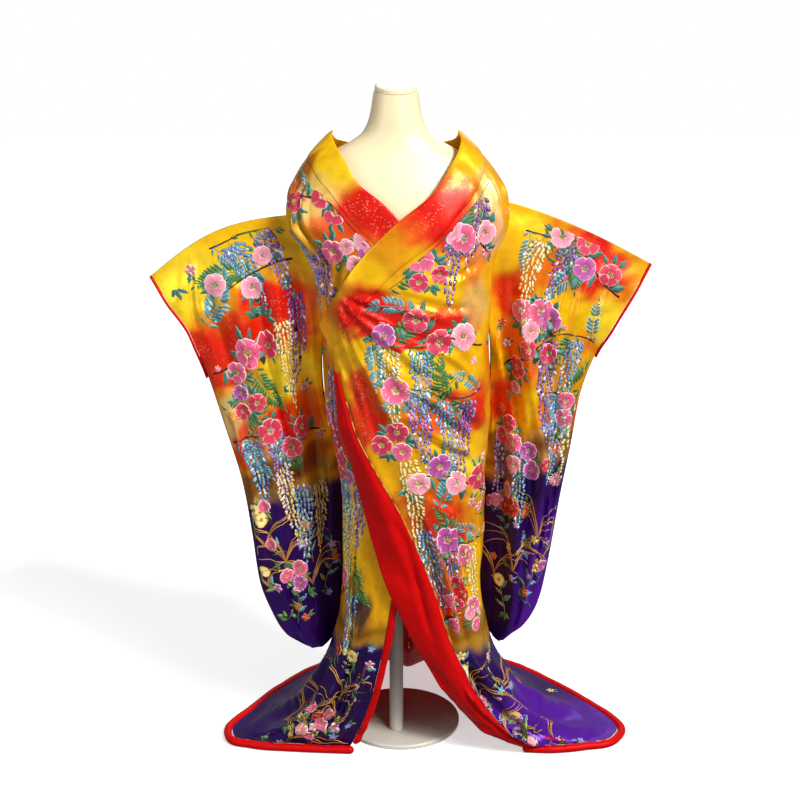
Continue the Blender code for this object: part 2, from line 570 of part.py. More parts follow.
def cuff_roll(name, rows, folds, bulge, side, mat):
    """The red roll round the cuff opening: down the front layer, round the foot, and up the back layer."""
    downs = np.array([0.0, 0.03, 0.075, 0.15, CUFF_SHARE])
    m = sleeve_middle(rows, folds, bulge, np.ones(5), downs)
    g = sleeve_space(rows, np.ones(5), downs) - CLOTH / 2
    front = m - np.stack([g * 0, g, g * 0], -1)
    back = m + np.stack([g * 0, g, g * 0], -1)
    ring = np.concatenate([front, back[::-1]])
    ahead = sleeve_middle(rows, folds, bulge, np.full(5, 0.9), downs)
    out = unit(m - ahead)
    out = np.concatenate([out, out[::-1]])
    centre = ring + out * (CUFF_ROLL + GAP + 0.0005)
    mid = centre.mean(0)
    across = unit(centre - mid - (np.sum((centre - mid) * out, -1)[:, None]) * out)
    return tube(name, centre, out * CUFF_ROLL, across * CUFF_ROLL, mat, sides=6, closed=True)


def hem_roll(name, s, mat):
    out = hem_out(s)
    up = np.zeros_like(out)
    up[:, 2] = 1
    # an eight-sided roll stands on its lowest flat side
    r = HEM_ROLL
    centre = hem(s) + out * (r + GAP + 0.0012)
    centre[:, 2] = r * math.cos(math.pi / 8)
    turn = math.pi / 8
    right = out * math.cos(turn) - up * math.sin(turn)
    lift = out * math.sin(turn) + up * math.cos(turn)
    return tube(name, centre, right * r, lift * r, mat, sides=8)


def edge_points(share, z_rows, down_rows):
    """Points and directions down one front edge, from the column into the skirt."""
    z = np.array(z_rows)
    t = turn_of(np.full(len(z), share), z)
    p1, n1 = body(t, z), body_normal(t, z)
    d = np.array(down_rows)
    p2, n2 = skirt(np.full(len(d), share), d)
    return np.concatenate([p1, p2]), np.concatenate([n1, n2])


def rolled_edge(name, mat):
    """The red edge of the under front: a soft roll of the lining along the panel's edge."""
    zr, dr = [0.640, 0.580, 0.510, 0.440], [0.12, 0.25, 0.38, 0.51, 0.63, 0.74, 0.84, 0.93]
    p, n = edge_points(0.0, zr, dr)
    q, _ = edge_points(0.010, zr, dr)
    out = unit(p - q)
    half = np.interp(np.arange(len(p)), [0, 3, 7, len(p) - 1], [0.0040, 0.0065, 0.0085, 0.0085])[:, None]
    centre = p + out * (half + GAP * 1.6) - n * CLOTH / 2
    return tube(name, centre, out * half, n * 0.0032, mat, sides=8)


def turned_back(name, mat, across=4):
    """The over front's edge turned back on itself, so that its red lining shows."""
    zr = [0.925, 0.880, 0.805, 0.730, 0.655, 0.580, 0.510, 0.440]
    dr = [0.12, 0.25, 0.38, 0.51, 0.63, 0.74, 0.84, 0.90]
    rows = []
    for kind, v in [("z", z) for z in zr] + [("d", d) for d in dr]:
        # metres of cloth per share at this level, so that the width is a real width
        if kind == "z":
            a, b = body(turn_of(1.0, v), v), body(turn_of(0.95, v), v)
        else:
            a, b = skirt(np.array(1.0), np.array(v))[0], skirt(np.array(0.95), np.array(v))[0]
        per = np.linalg.norm(a - b) / 0.05
        width = float(through(TURN_BACK, a[2], 1))
        pts, nor = [], []
        for k in range(across + 1):
            w = k / across
            s = 1.0 - w * width / per - 0.0006 / per
            if kind == "z":
                t = turn_of(s, v)
                p, n = body(t, v), body_normal(t, v)
            else:
                p, n = skirt(np.array(s), np.array(v))
            lift = 0.0028 + 0.0045 * math.sin(math.pi * min(w, 0.5)) * min(1.0, width / 0.05)
            pts.append(p + n * (lift + CLOTH)), nor.append(n)
        rows.append((pts, nor))
    p = np.array([r[0] for r in rows])
    n = np.array([r[1] for r in rows])
    quads = [tuple(reversed(q)) for q in grid_quads(p.shape[0], p.shape[1])]
    return wall(name, p.reshape(-1, 3), n.reshape(-1, 3), quads, mat)


# ---------------------------------------------------------------- the dress form
def form_torso(name, mat, sides=28):
    bm = bmesh.new()
    rings = []
    heights = sorted(set([r[0] for r in FORM] + [0.780, 0.840, 0.925, 1.015, 1.110, 1.200, 1.308, 1.353]))
    for z in heights:
        a, f, b = (float(through(FORM, z, c)) for c in (1, 2, 3))
        ring = []
        for k in range(sides):
            t = 2 * math.pi * k / sides
            y = -math.cos(t) * (f if math.cos(t) > 0 else b)
            tilt = y * math.tan(CAP_TILT) * max(0.0, (z - 1.43) / (1.4985 - 1.43))
            ring.append(bm.verts.new((math.sin(t) * a, y, z + tilt)))
        rings.append(ring)
    for lo, hi in zip(rings[:-1], rings[1:]):
        for k in range(sides):
            bm.faces.new([lo[k], lo[(k + 1) % sides], hi[(k + 1) % sides], hi[k]])
    bm.faces.new(list(reversed(rings[0])))
    bm.faces.new(rings[-1])
    bmesh.ops.triangulate(bm, faces=bm.faces)
    return add(name, bm, mat)


def turned(name, profile, mat, sides=28):
    """A solid turned round +Z from (radius, height) rows, bottom to top."""
    bm = bmesh.new()
    rings = [[bm.verts.new((r * math.cos(2 * math.pi * k / sides), r * math.sin(2 * math.pi * k / sides), z))
              for k in range(sides)] for r, z in profile]
    for lo, hi in zip(rings[:-1], rings[1:]):
        for k in range(sides):
            bm.faces.new([lo[k], lo[(k + 1) % sides], hi[(k + 1) % sides], hi[k]])
    bm.faces.new(list(reversed(rings[0])))
    bm.faces.new(rings[-1])
    return add(name, bm, mat)


def main():
    for o in list(bpy.data.objects):
        bpy.data.objects.remove(o)
    silk = material("printed_silk", (0.80, 0.42, 0.06), 0.42)
    red = material("red_lining_silk", (0.62, 0.005, 0.008), 0.45)
    cream = material("cream_form_shell", (0.80, 0.70, 0.50), 0.45)
    metal = material("painted_stand", (0.70, 0.66, 0.58), 0.35)

    fr = np.linspace(OKUMI_R, SIDE_R, 8)
    br = np.linspace(SIDE_R, BACK, 9)
    bl = np.linspace(BACK, SIDE_L, 9)
    fl = np.linspace(SIDE_L, OKUMI_L, 9)
    body_length("body_right", fr, br, True, silk)
    body_length("body_left", fl, bl, False, silk)
    okr = np.linspace(0.0, OKUMI_R, 5)
    okl = np.linspace(OKUMI_L, 1.0, 5)
    okumi("okumi_right", okr, True, silk)
    okumi("okumi_left", okl, False, silk)

    shares = np.concatenate([okr, fr[1:], br[1:], bl[1:], fl[1:], okl[1:]])
    collar("collar", turn_of(shares, YOKE_Z), silk)

    sleeve("sleeve_right", SLEEVE_R, FOLDS_R, TOP_BULGE_R, silk)
    sleeve("sleeve_left", SLEEVE_L, FOLDS_L, TOP_BULGE_L, silk)
    cuff_roll("cuff_roll_right", SLEEVE_R, FOLDS_R, TOP_BULGE_R, -1, red)
    cuff_roll("cuff_roll_left", SLEEVE_L, FOLDS_L, TOP_BULGE_L, 1, red)
    hem_roll("hem_roll", shares, red)
    rolled_edge("edge_roll_right", red)
    turned_back("lining_turned_back", red)

    form_torso("form_torso", cream)
    cap = turned("form_neck_cap", [(CAP_RADIUS - 0.0012, -CAP_HIGH / 2), (CAP_RADIUS, -CAP_HIGH / 2 + 0.0012),
                                   (CAP_RADIUS, CAP_HIGH / 2 - 0.0035), (CAP_RADIUS - 0.0035, CAP_HIGH / 2)], cream)
    cap.location = (0.0, -0.0008, CAP_Z - 0.0074)
    cap.rotation_euler = (CAP_TILT, 0, 0)
    pole = turned("form_pole", [(POLE_R, BASE_HIGH + GAP), (POLE_R, 0.742 - GAP)], metal, 20)
    pole.location = (*POLE_XY, 0)
    base = turned("form_base", [(BASE_R - 0.001, 0.0), (BASE_R, 0.001), (BASE_R, BASE_HIGH - 0.005), (BASE_R - 0.012, BASE_HIGH)], metal, 36)
    base.location = (*BASE_XY, 0)


main()
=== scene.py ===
"""Looks of the uchikake: fine cloth with its folds, dyed ground, embroidered flowers, red lining and padded rolls,
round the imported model. Metres, +Z up, the robe faces -Y.

Places on the body cloth are (share, level): share runs round the cloth from the under front edge (0) to the over
front edge (1); level is the height above the knee, and below it 0.440 minus 0.75 of the way down to the hem.
Places on a sleeve are (across, down): from the body (0) to the cuff (1), from the top fold (0) to the bottom (1).
"""
import math

import bpy
import numpy as np
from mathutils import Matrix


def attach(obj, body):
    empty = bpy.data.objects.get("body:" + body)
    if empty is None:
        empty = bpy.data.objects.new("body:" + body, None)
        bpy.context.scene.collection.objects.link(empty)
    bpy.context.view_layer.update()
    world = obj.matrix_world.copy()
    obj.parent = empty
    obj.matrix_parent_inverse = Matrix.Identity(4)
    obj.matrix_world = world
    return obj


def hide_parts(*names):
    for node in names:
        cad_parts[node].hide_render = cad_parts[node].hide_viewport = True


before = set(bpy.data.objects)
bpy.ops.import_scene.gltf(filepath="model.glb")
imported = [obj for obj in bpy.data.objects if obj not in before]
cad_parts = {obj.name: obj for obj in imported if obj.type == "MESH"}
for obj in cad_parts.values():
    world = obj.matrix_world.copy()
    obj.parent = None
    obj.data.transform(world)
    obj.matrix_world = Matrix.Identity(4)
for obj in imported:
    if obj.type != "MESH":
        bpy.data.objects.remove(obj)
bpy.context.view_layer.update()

CLOTH = 0.0020          # padded silk, outer silk and lining together
COLLAR_OUT = 0.0016     # the collar band stands this far out of the body cloth
COLLAR_IN = 0.0026
GAP = 0.0003            # between sewn pieces
LAYER = 0.0095          # the over front lies this far outside the under front
SQUARE = 0.07           # how far the body's round section is squared up
KNEE_Z = 0.440          # the skirt flares below this height
YOKE_Z = 0.955          # the collar ends just above this height
HEM_Z = 0.0138          # where the cloth meets the hem roll
HEM_ROLL = 0.0100       # radius of the padded hem roll
SLIT_TOP, SLIT_LOW = 1.238, 0.880   # armhole and open side below it
SLIT_HALF_TURN = 10.5   # half of the armhole's widest turn
CUFF_ROLL = 0.0030
OKUMI_R, SIDE_R, BACK, SIDE_L, OKUMI_L = 0.11, 0.30, 0.50, 0.70, 0.89   # seam shares

# body sections: height, centre x, half width, front depth, back depth
BODY = [
    (0.440, 0.031, 0.150, 0.118, 0.128),
    (0.500, 0.033, 0.151, 0.121, 0.129),
    (0.600, 0.035, 0.152, 0.126, 0.131),
    (0.720, 0.029, 0.161, 0.134, 0.136),
    (0.840, 0.020, 0.1735, 0.141, 0.138),
    (0.950, 0.018, 0.1745, 0.142, 0.133),
    (1.060, 0.014, 0.1760, 0.140, 0.127),
    (1.160, 0.009, 0.1860, 0.136, 0.124),
    (1.240, 0.000, 0.2270, 0.128, 0.120),
    (1.280, -0.001, 0.226, 0.119, 0.116),
    (1.335, -0.001, 0.201, 0.100, 0.111),
    (1.375, -0.001, 0.171, 0.076, 0.106),
    (1.414, -0.002, 0.131, 0.048, 0.100),
    (1.440, -0.002, 0.104, 0.030, 0.096),
]
# front edges: height, turn of the under edge, turn of the over edge
EDGES = [
    (0.440, 14.0, 375.0),
    (0.500, 8.0, 383.0),
    (0.600, -4.0, 393.5),
    (0.720, -20.0, 402.0),
    (0.840, -38.0, 407.5),
    (0.955, -50.0, 411.5),
]
# the collar seam: turn, height
SEAM = [
    (-54.0, 0.975), (-36.0, 1.040), (-17.0, 1.110), (0.0, 1.162), (11.3, 1.205),
    (21.3, 1.250), (33.9, 1.300), (47.4, 1.327), (66.0, 1.352), (90.0, 1.362),
    (135.0, 1.312), (180.0, 1.292), (225.0, 1.315), (270.0, 1.373), (292.0, 1.352),
    (312.4, 1.316), (329.7, 1.262), (343.5, 1.205), (360.0, 1.160), (374.8, 1.112),
    (393.4, 1.042), (413.3, 0.973),
]
# the collar's inner edge against its seam: seam turn, edge turn, edge height
COLLAR_EDGE = [
    (-54.0, -74.0, 1.020), (-36.0, -50.0, 1.075), (-17.0, -27.0, 1.158), (0.0, -8.0, 1.212),
    (11.3, -1.5, 1.255), (21.3, 7.0, 1.290), (33.9, 20.0, 1.325), (47.4, 33.0, 1.366),
    (66.0, 57.0, 1.400), (90.0, 88.0, 1.418), (135.0, 135.0, 1.388), (180.0, 180.0, 1.366),
    (225.0, 225.0, 1.388), (270.0, 272.0, 1.418), (292.0, 301.0, 1.396), (312.4, 326.0, 1.357),
    (329.7, 344.5, 1.298), (343.5, 357.5, 1.257), (360.0, 368.5, 1.216), (374.8, 386.0, 1.162),
    (393.4, 408.5, 1.082), (413.3, 434.0, 1.014),
]
# the hem on the floor, seen from above: share, x, y
HEM = [
    (0.000, -0.106, -0.044), (0.110, -0.228, -0.034), (0.200, -0.335, -0.018),
    (0.240, -0.379, 0.003), (0.262, -0.385, 0.042), (0.300, -0.341, 0.128),
    (0.355, -0.280, 0.235), (0.405, -0.205, 0.328), (0.450, -0.110, 0.392),
    (0.500, 0.020, 0.418), (0.550, 0.160, 0.412), (0.605, 0.288, 0.352),
    (0.650, 0.376, 0.264), (0.700, 0.448, 0.170), (0.742, 0.508, 0.080),
    (0.766, 0.520, 0.038), (0.790, 0.502, 0.000), (0.850, 0.432, -0.028),
    (0.920, 0.362, -0.040), (1.000, 0.300, -0.038),
]
# the large skirt folds: share at the knee, share at the hem, half width, height at the hem
SKIRT_FOLDS = [
    (0.050, 0.060, 0.020, 0.010), (0.185, 0.170, 0.024, 0.014), (0.275, 0.315, 0.026, 0.016),
    (0.385, 0.395, 0.030, 0.022), (0.455, 0.470, 0.024, 0.016), (0.545, 0.540, 0.028, 0.020),
    (0.620, 0.625, 0.030, 0.022), (0.715, 0.705, 0.024, 0.016), (0.800, 0.835, 0.026, 0.014),
]
# the large folds of the upper body: turn and height of each end, half width in degrees, depth
BODY_FOLDS = [
    (61.0, 1.285, 70.0, 1.02, 7.0, 0.011), (77.0, 1.250, 80.0, 1.03, 5.0, -0.009),
    (297.0, 1.290, 291.0, 1.02, 6.5, 0.010), (283.0, 1.255, 281.0, 1.04, 4.5, -0.008),
    (401.0, 1.075, 352.0, 0.90, 6.5, 0.006), (397.0, 1.010, 340.0, 0.74, 7.0, 0.007),
    (330.0, 0.930, 291.0, 0.78, 7.5, 0.006), (318.0, 0.760, 287.0, 0.62, 7.0, 0.006),
    (392.0, 0.830, 366.0, 0.50, 8.0, 0.007), (148.0, 1.220, 160.0, 0.70, 9.0, 0.006),
    (212.0, 1.215, 202.0, 0.66, 9.0, 0.006), (120.0, 0.800, 128.0, 0.46, 9.0, 0.006),
    (243.0, 0.780, 236.0, 0.46, 9.0, 0.006),
]
# the turned-back front edge: height at the fold, width shown
TURN_BACK = [
    (0.014, 0.040), (0.060, 0.075), (0.110, 0.092), (0.180, 0.099), (0.260, 0.100),
    (0.370, 0.095), (0.490, 0.094), (0.600, 0.081), (0.720, 0.058), (0.840, 0.034), (0.930, 0.012),
]
# sleeves, from the top fold to the bottom: share down, turn of the inner edge away from the
# side line, its stand-off from the body, its z, outer x, outer z, half space between the layers
SLEEVE_R = [
    (0.00, 0.0, 0.0015, 1.240, -0.516, 1.112, 0.006),
    (0.05, 0.0, 0.0015, 1.180, -0.486, 1.062, 0.017),
    (0.12, 0.0, 0.0015, 1.105, -0.440, 0.995, 0.023),
    (0.22, 0.0, 0.0015, 1.010, -0.407, 0.895, 0.022),
    (0.35, 11.0, 0.0090, 0.885, -0.376, 0.785, 0.019),
    (0.50, 25.0, 0.0160, 0.735, -0.338, 0.640, 0.016),
    (0.65, 31.0, 0.0200, 0.590, -0.321, 0.520, 0.015),
    (0.80, 32.0, 0.0220, 0.440, -0.308, 0.410, 0.014),
    (0.90, 32.0, 0.0250, 0.345, -0.281, 0.330, 0.013),
    (0.97, 31.0, 0.0280, 0.280, -0.250, 0.276, 0.010),
    (1.00, 31.0, 0.0300, 0.252, -0.214, 0.252, 0.004),
]
SLEEVE_L = [
    (0.00, 0.0, 0.0015, 1.268, 0.534, 1.138, 0.006),
    (0.05, 0.0, 0.0015, 1.212, 0.508, 1.090, 0.017),
    (0.12, 0.0, 0.0015, 1.135, 0.468, 1.020, 0.023),
    (0.22, 0.0, 0.0015, 1.035, 0.428, 0.940, 0.022),
    (0.35, 11.0, 0.0090, 0.900, 0.399, 0.850, 0.019),
    (0.50, 24.0, 0.0160, 0.755, 0.383, 0.740, 0.016),
    (0.65, 30.0, 0.0200, 0.605, 0.362, 0.610, 0.015),
    (0.80, 31.0, 0.0220, 0.455, 0.341, 0.460, 0.014),
    (0.90, 28.0, 0.0290, 0.360, 0.322, 0.362, 0.013),
    (0.97, 23.0, 0.0360, 0.295, 0.290, 0.300, 0.010),
    (1.00, 21.0, 0.0400, 0.268, 0.255, 0.272, 0.004),
]
# the large sleeve folds: share across at the top, at the bottom, start down, half width, depth
FOLDS_R = [(0.80, 0.70, 0.02, 0.060, 0.010), (0.52, 0.42, 0.10, 0.075, 0.012), (0.20, 0.18, 0.02, 0.070, -0.014)]
FOLDS_L = [(0.24, 0.52, 0.06, 0.070, 0.013), (0.58, 0.74, 0.20, 0.070, 0.010), (0.14, 0.20, 0.02, 0.060, -0.013)]
CUFF_SHARE = 0.225      # the cuff opening's share of the sleeve's length
TOP_BULGE_R, TOP_BULGE_L = 0.026, 0.004

# dress form sections: height, half width, front depth, back depth
FORM = [
    (0.742, 0.070, 0.050, 0.056), (0.746, 0.102, 0.078, 0.088), (0.760, 0.119, 0.095, 0.104),
    (0.800, 0.127, 0.104, 0.112), (0.880, 0.128, 0.103, 0.106), (0.970, 0.122, 0.099, 0.094),
    (1.060, 0.138, 0.110, 0.096), (1.160, 0.158, 0.116, 0.099), (1.240, 0.194, 0.110, 0.098),
    (1.280, 0.200, 0.101, 0.094), (1.335, 0.175, 0.082, 0.087), (1.370, 0.140, 0.064, 0.078),
    (1.395, 0.094, 0.055, 0.068), (1.415, 0.068, 0.052, 0.060), (1.445, 0.0545, 0.051, 0.054),
    (1.480, 0.0480, 0.047, 0.048), (1.4985, 0.0450, 0.045, 0.045),
]
CAP_TILT = math.radians(7.5)
CAP_RADIUS, CAP_HIGH, CAP_Z = 0.0428, 0.011, 1.512
POLE_XY, POLE_R = (0.0, 0.040), 0.0160
BASE_XY, BASE_R, BASE_HIGH = (0.010, 0.100), 0.140, 0.012


# ---------------------------------------------------------------- curves through tables
def through(rows, at, column):
    """A smooth curve with no overshoot through one column of a table (its first column is the place)."""
    x = np.array([r[0] for r in rows], float)
    y = np.array([r[column] for r in rows], float)
    h, d = np.diff(x), np.diff(y) / np.diff(x)
    m = np.zeros(len(x))
    same = d[:-1] * d[1:] > 0
    w1, w2 = 2 * h[1:] + h[:-1], h[1:] + 2 * h[:-1]
    with np.errstate(divide="ignore", invalid="ignore"):
        m[1:-1] = np.where(same, (w1 + w2) / (w1 / d[:-1] + w2 / d[1:]), 0.0)
    m[0], m[-1] = d[0], d[-1]
    at = np.asarray(at, float)
    i = np.clip(np.searchsorted(x, at) - 1, 0, len(h) - 1)
    t = (at - x[i]) / h[i]
    low, high = t < 0, t > 1
    tc = np.clip(t, 0, 1)
    v = ((2 * tc**3 - 3 * tc**2 + 1) * y[i] + (tc**3 - 2 * tc**2 + tc) * h[i] * m[i]
         + (-2 * tc**3 + 3 * tc**2) * y[i + 1] + (tc**3 - tc**2) * h[i] * m[i + 1])
    return v + np.where(low, t * h[i] * m[i], 0) + np.where(high, (t - 1) * h[i] * m[i + 1], 0)


def swing(rows, at, column):
    """A rounder curve through one column of a table, for the hem's plan."""
    x = np.array([r[0] for r in rows], float)
    y = np.array([r[column] for r in rows], float)
    m = np.gradient(y, x)
    at = np.asarray(at, float)
    i = np.clip(np.searchsorted(x, at) - 1, 0, len(x) - 2)
    h = x[i + 1] - x[i]
    t = np.clip((at - x[i]) / h, 0, 1)
    v = ((2 * t**3 - 3 * t**2 + 1) * y[i] + (t**3 - 2 * t**2 + t) * h * m[i]
         + (-2 * t**3 + 3 * t**2) * y[i + 1] + (t**3 - t**2) * h * m[i + 1])
    return v + np.where(at < x[0], (at - x[0]) * m[0], 0) + np.where(at > x[-1], (at - x[-1]) * m[-1], 0)


def ease(t):
    t = np.clip(t, 0, 1)
    return t * t * (3 - 2 * t)


def unit(v):
    return v / np.maximum(np.linalg.norm(v, axis=-1, keepdims=True), 1e-12)


# ---------------------------------------------------------------- the body tube
def body_fold(turn, z):
    out = np.zeros(np.broadcast(turn, z).shape)
    for t0, z0, t1, z1, half, depth in BODY_FOLDS:
        k = (z0 - z) / (z0 - z1)
        middle = t0 + (t1 - t0) * k
        along = ease((k + 0.12) / 0.35) * ease((1.12 - k) / 0.35)
        out = out + depth * np.exp(-(((turn - middle) / half) ** 2)) * along
    return out


def body(turn, z):
    """A point of the outer cloth surface above the knee."""
    turn, z = np.broadcast_arrays(np.asarray(turn, float), np.asarray(z, float))
    cx, a, f, b = (through(BODY, z, c) for c in (1, 2, 3, 4))
    out = LAYER * ease((turn - 190) / 110) * (1 - 0.75 * ease((z - 1.30) / 0.09)) + body_fold(turn, z)
    s, c = np.sin(np.radians(turn)), np.cos(np.radians(turn))
    deep = np.where(c > 0, f, b)
    x = cx - (a + out) * s * (1 + SQUARE * c * c)
    y = -(deep + out) * c * (1 + SQUARE * s * s)
    return np.stack([x, y, z], -1)


def body_normal(turn, z):
    e, g = 0.4, 0.002
    du = body(turn + e, z) - body(turn - e, z)
    dz = body(turn, z + g) - body(turn, z - g)
    return unit(np.cross(dz, du))


def turn_of(share, z):
    """Turn of a share of the cloth at a height, below the collar's end."""
    share, z = np.broadcast_arrays(np.asarray(share, float), np.asarray(z, float))
    zz = np.minimum(z, YOKE_Z)
    u, o = through(EDGES, zz, 1), through(EDGES, zz, 2)
    return np.where(
        share < SIDE_R, u + (90 - u) * share / SIDE_R,
        np.where(share < SIDE_L, 90 + 180 * (share - SIDE_R) / (SIDE_L - SIDE_R),
                 270 + (o - 270) * (share - SIDE_L) / (1 - SIDE_L)))


# ---------------------------------------------------------------- the flare and train
def hem(share):
    x, y = swing(HEM, share, 1), swing(HEM, share, 2)
    return np.stack([x, y, np.full(np.shape(x), HEM_Z)], -1)


def hem_out(share):
    """Outward direction of the hem on the floor."""
    d = hem(np.asarray(share) + 0.002) - hem(np.asarray(share) - 0.002)
    return unit(np.stack([-d[..., 1], d[..., 0], np.zeros(d.shape[:-1])], -1))


def flare(share, down):
    """A point below the knee: down is 0 at the knee and 1 at the hem."""
    share, down = np.broadcast_arrays(np.asarray(share, float), np.asarray(down, float))
    k = body(turn_of(share, KNEE_Z), np.full(share.shape, KNEE_Z))
    h = hem(share)
    flat = h - k
    flat[..., 2] = 0
    reach = np.linalg.norm(flat, axis=-1)[..., None]
    edge = (np.exp(-(((1 - share) / 0.10) ** 2)) + np.exp(-((share / 0.09) ** 2)))[..., None]
    drop = np.array([0.0, 0.0, 1.0])
    p1 = k + flat * (0.04 + 0.22 * edge) - drop * (0.285 - 0.085 * edge)
    p2 = h - flat * (0.60 - 0.12 * edge) + drop * (0.115 * np.exp(-((reach / 0.15) ** 2)) + 0.002 + 0.040 * edge)
    t = down[..., None]
    p = (1 - t) ** 3 * k + 3 * t * (1 - t) ** 2 * p1 + 3 * t * t * (1 - t) * p2 + t**3 * h
    return p


def skirt_fold(share, down):
    out = np.zeros(np.broadcast(share, down).shape)
    for s0, s1, half, depth in SKIRT_FOLDS:
        middle = s0 + (s1 - s0) * down
        size = ease(down / 0.45) * (1 - 0.85 * ease((down - 0.80) / 0.20))
        out = out + depth * size * np.exp(-(((share - middle) / half) ** 2))
    return out


def flare_normal(share, down):
    e = 0.002
    d0, d1 = np.clip(down - 0.01, 0, 1), np.clip(down + 0.01, 0, 1)
    ds = flare(share + e, down) - flare(share - e, down)
    dd = flare(share, d1) - flare(share, d0)
    return unit(np.cross(ds, dd))


def skirt(share, down):
    """The folded skirt surface and its outward direction."""
    n0 = flare_normal(share, down)
    p = flare(share, down) + n0 * skirt_fold(share, down)[..., None]
    e = 0.003

    def q(s, d):
        return flare(s, d) + flare_normal(s, d) * skirt_fold(s, d)[..., None]

    d0, d1 = np.clip(down - 0.015, 0, 1), np.clip(down + 0.015, 0, 1)
    n = unit(np.cross(q(share + e, down) - q(share - e, down), q(share, d1) - q(share, d0)))
    return p, n


# ---------------------------------------------------------------- one cloth surface for every body panel
ROWS_DOWN = [1.0, 0.93, 0.84, 0.74, 0.63, 0.51, 0.38, 0.25, 0.12]       # skirt rows, hem to knee
ROWS_Z = [0.440, 0.510, 0.580, 0.655, 0.730, 0.805, 0.880, 0.955]       # column rows
ROWS_UP = [0.16, 0.32, 0.48, 0.62, 0.745, 0.84, 0.92, 1.0]              # yoke rows, to the collar seam


def side_turn(z, side):
    """How far the front (side -1) or back (+1) cloth draws away from the side line at the armhole."""
    k = np.clip((z - SLIT_LOW) / (SLIT_TOP - SLIT_LOW), 0, 1)
    return side * SLIT_HALF_TURN * np.sin(np.pi * k) ** 1.2


def panel(share, lean_low=None, lean_high=None):
    """Outer points and outward directions of a panel whose columns have these shares.
    lean_low and lean_high name the open side that the first or last column follows."""
    share = np.asarray(share, float)
    n = len(share)
    pts, nor = [], []

    def lean(turn, z):
        turn = turn.copy()
        for which, fade in ((lean_low, np.linspace(1, 0, n)), (lean_high, np.linspace(0, 1, n))):
            if which:
                turn = turn + side_turn(z, which) * fade**2
        return turn

    for d in ROWS_DOWN:
        p, nn = skirt(share, np.full(n, d))
        pts.append(p), nor.append(nn)
    for z in ROWS_Z:
        t = lean(turn_of(share, z), np.full(n, z))
        pts.append(body(t, np.full(n, z))), nor.append(body_normal(t, np.full(n, z)))
    base = turn_of(share, YOKE_Z)
    top = through(SEAM, base, 1)
    for up in ROWS_UP:
        z = YOKE_Z + (top - YOKE_Z) * up
        t = lean(base, z)
        pts.append(body(t, z)), nor.append(body_normal(t, z))
    return np.array(pts), np.array(nor)


def draw_in(pts, column, sign, by):
    """Moves a border column back into its panel, which leaves the seam's gap."""
    along = unit(pts[:, column + sign] - pts[:, column])
    pts[:, column] += along * by
def sleeve_middle(rows, folds, bulge, across, down):
    """Middle surface of a sleeve: across is 0 at the body and 1 at the cuff, down is 0 at the top fold."""
    across, down = np.broadcast_arrays(np.asarray(across, float), np.asarray(down, float))
    turn, off, zi, xo, zo = (through(rows, down, c) for c in range(1, 6))
    side = 1 if rows[0][4] < 0 else -1       # the wearer's right sleeve hangs at the turn of 90, the left at 270
    shut = (body(90 * (2 - side) + side * turn, zi) + body_normal(90 * (2 - side) + side * turn, zi) * off[..., None])
    k = np.clip((zi - SLIT_LOW) / (SLIT_TOP - SLIT_LOW), 0, 1)
    slack = np.sin(np.radians(SLIT_HALF_TURN * np.sin(np.pi * k) ** 1.2)) ** 2 * 0.11
    xi = shut[..., 0] + side * slack
    w = across**0.86
    x = xi + (xo - xi) * w
    z = zi + (zo - zi) * across + bulge * np.sin(np.pi * across) * (1 - down) ** 2
    z = z - 0.012 * np.sin(np.pi * across) * ease((down - 0.8) / 0.2)
    y = 0.004 + (shut[..., 1] - 0.004) * (1 - across) ** 3.2
    for a0, a1, start, half, depth in folds:
        middle = a0 + (a1 - a0) * down
        grow = ease((down - start) / 0.30) * (1 - 0.55 * ease((down - 0.75) / 0.25)) * (1 - 0.6 * ease((across - 0.85) / 0.15))
        y = y - depth * grow * np.exp(-(((across - middle) / half) ** 2))
    return np.stack([x, y, z], -1)


def sleeve_space(rows, across, down):
    """Half of the space between the outer faces of the two layers."""
    g = through(rows, down, 6)
    shut = np.where(down > CUFF_SHARE, 1.0, ease((down - CUFF_SHARE + 0.08) / 0.08))
    pinch = np.sqrt(np.clip(1 - np.clip((across - 0.90) / 0.10, 0, 1) ** 2, 0, 1))
    least = CLOTH + 0.0010
    return least + (g - 0.003) * (1 - shut * (1 - pinch)) * np.sqrt(np.clip(down / 0.06, 0.0, 1)) * np.sqrt(np.clip((1 - down) / 0.05, 0.0, 1))


def edge_points(share, z_rows, down_rows):
    """Points and directions down one front edge, from the column into the skirt."""
    z = np.array(z_rows)
    t = turn_of(np.full(len(z), share), z)
    p1, n1 = body(t, z), body_normal(t, z)
    d = np.array(down_rows)
    p2, n2 = skirt(np.full(len(d), share), d)
    return np.concatenate([p1, p2]), np.concatenate([n1, n2])


# ================================================================ looks: sizes
AROUND = 1.33           # metres of cloth per share at the column
DROP = 0.75             # level lost from the knee to the hem
ACROSS, DOWN = 0.31, 1.00   # a sleeve's size in metres
SEAMS = (OKUMI_R, SIDE_R, BACK, SIDE_L, OKUMI_L)


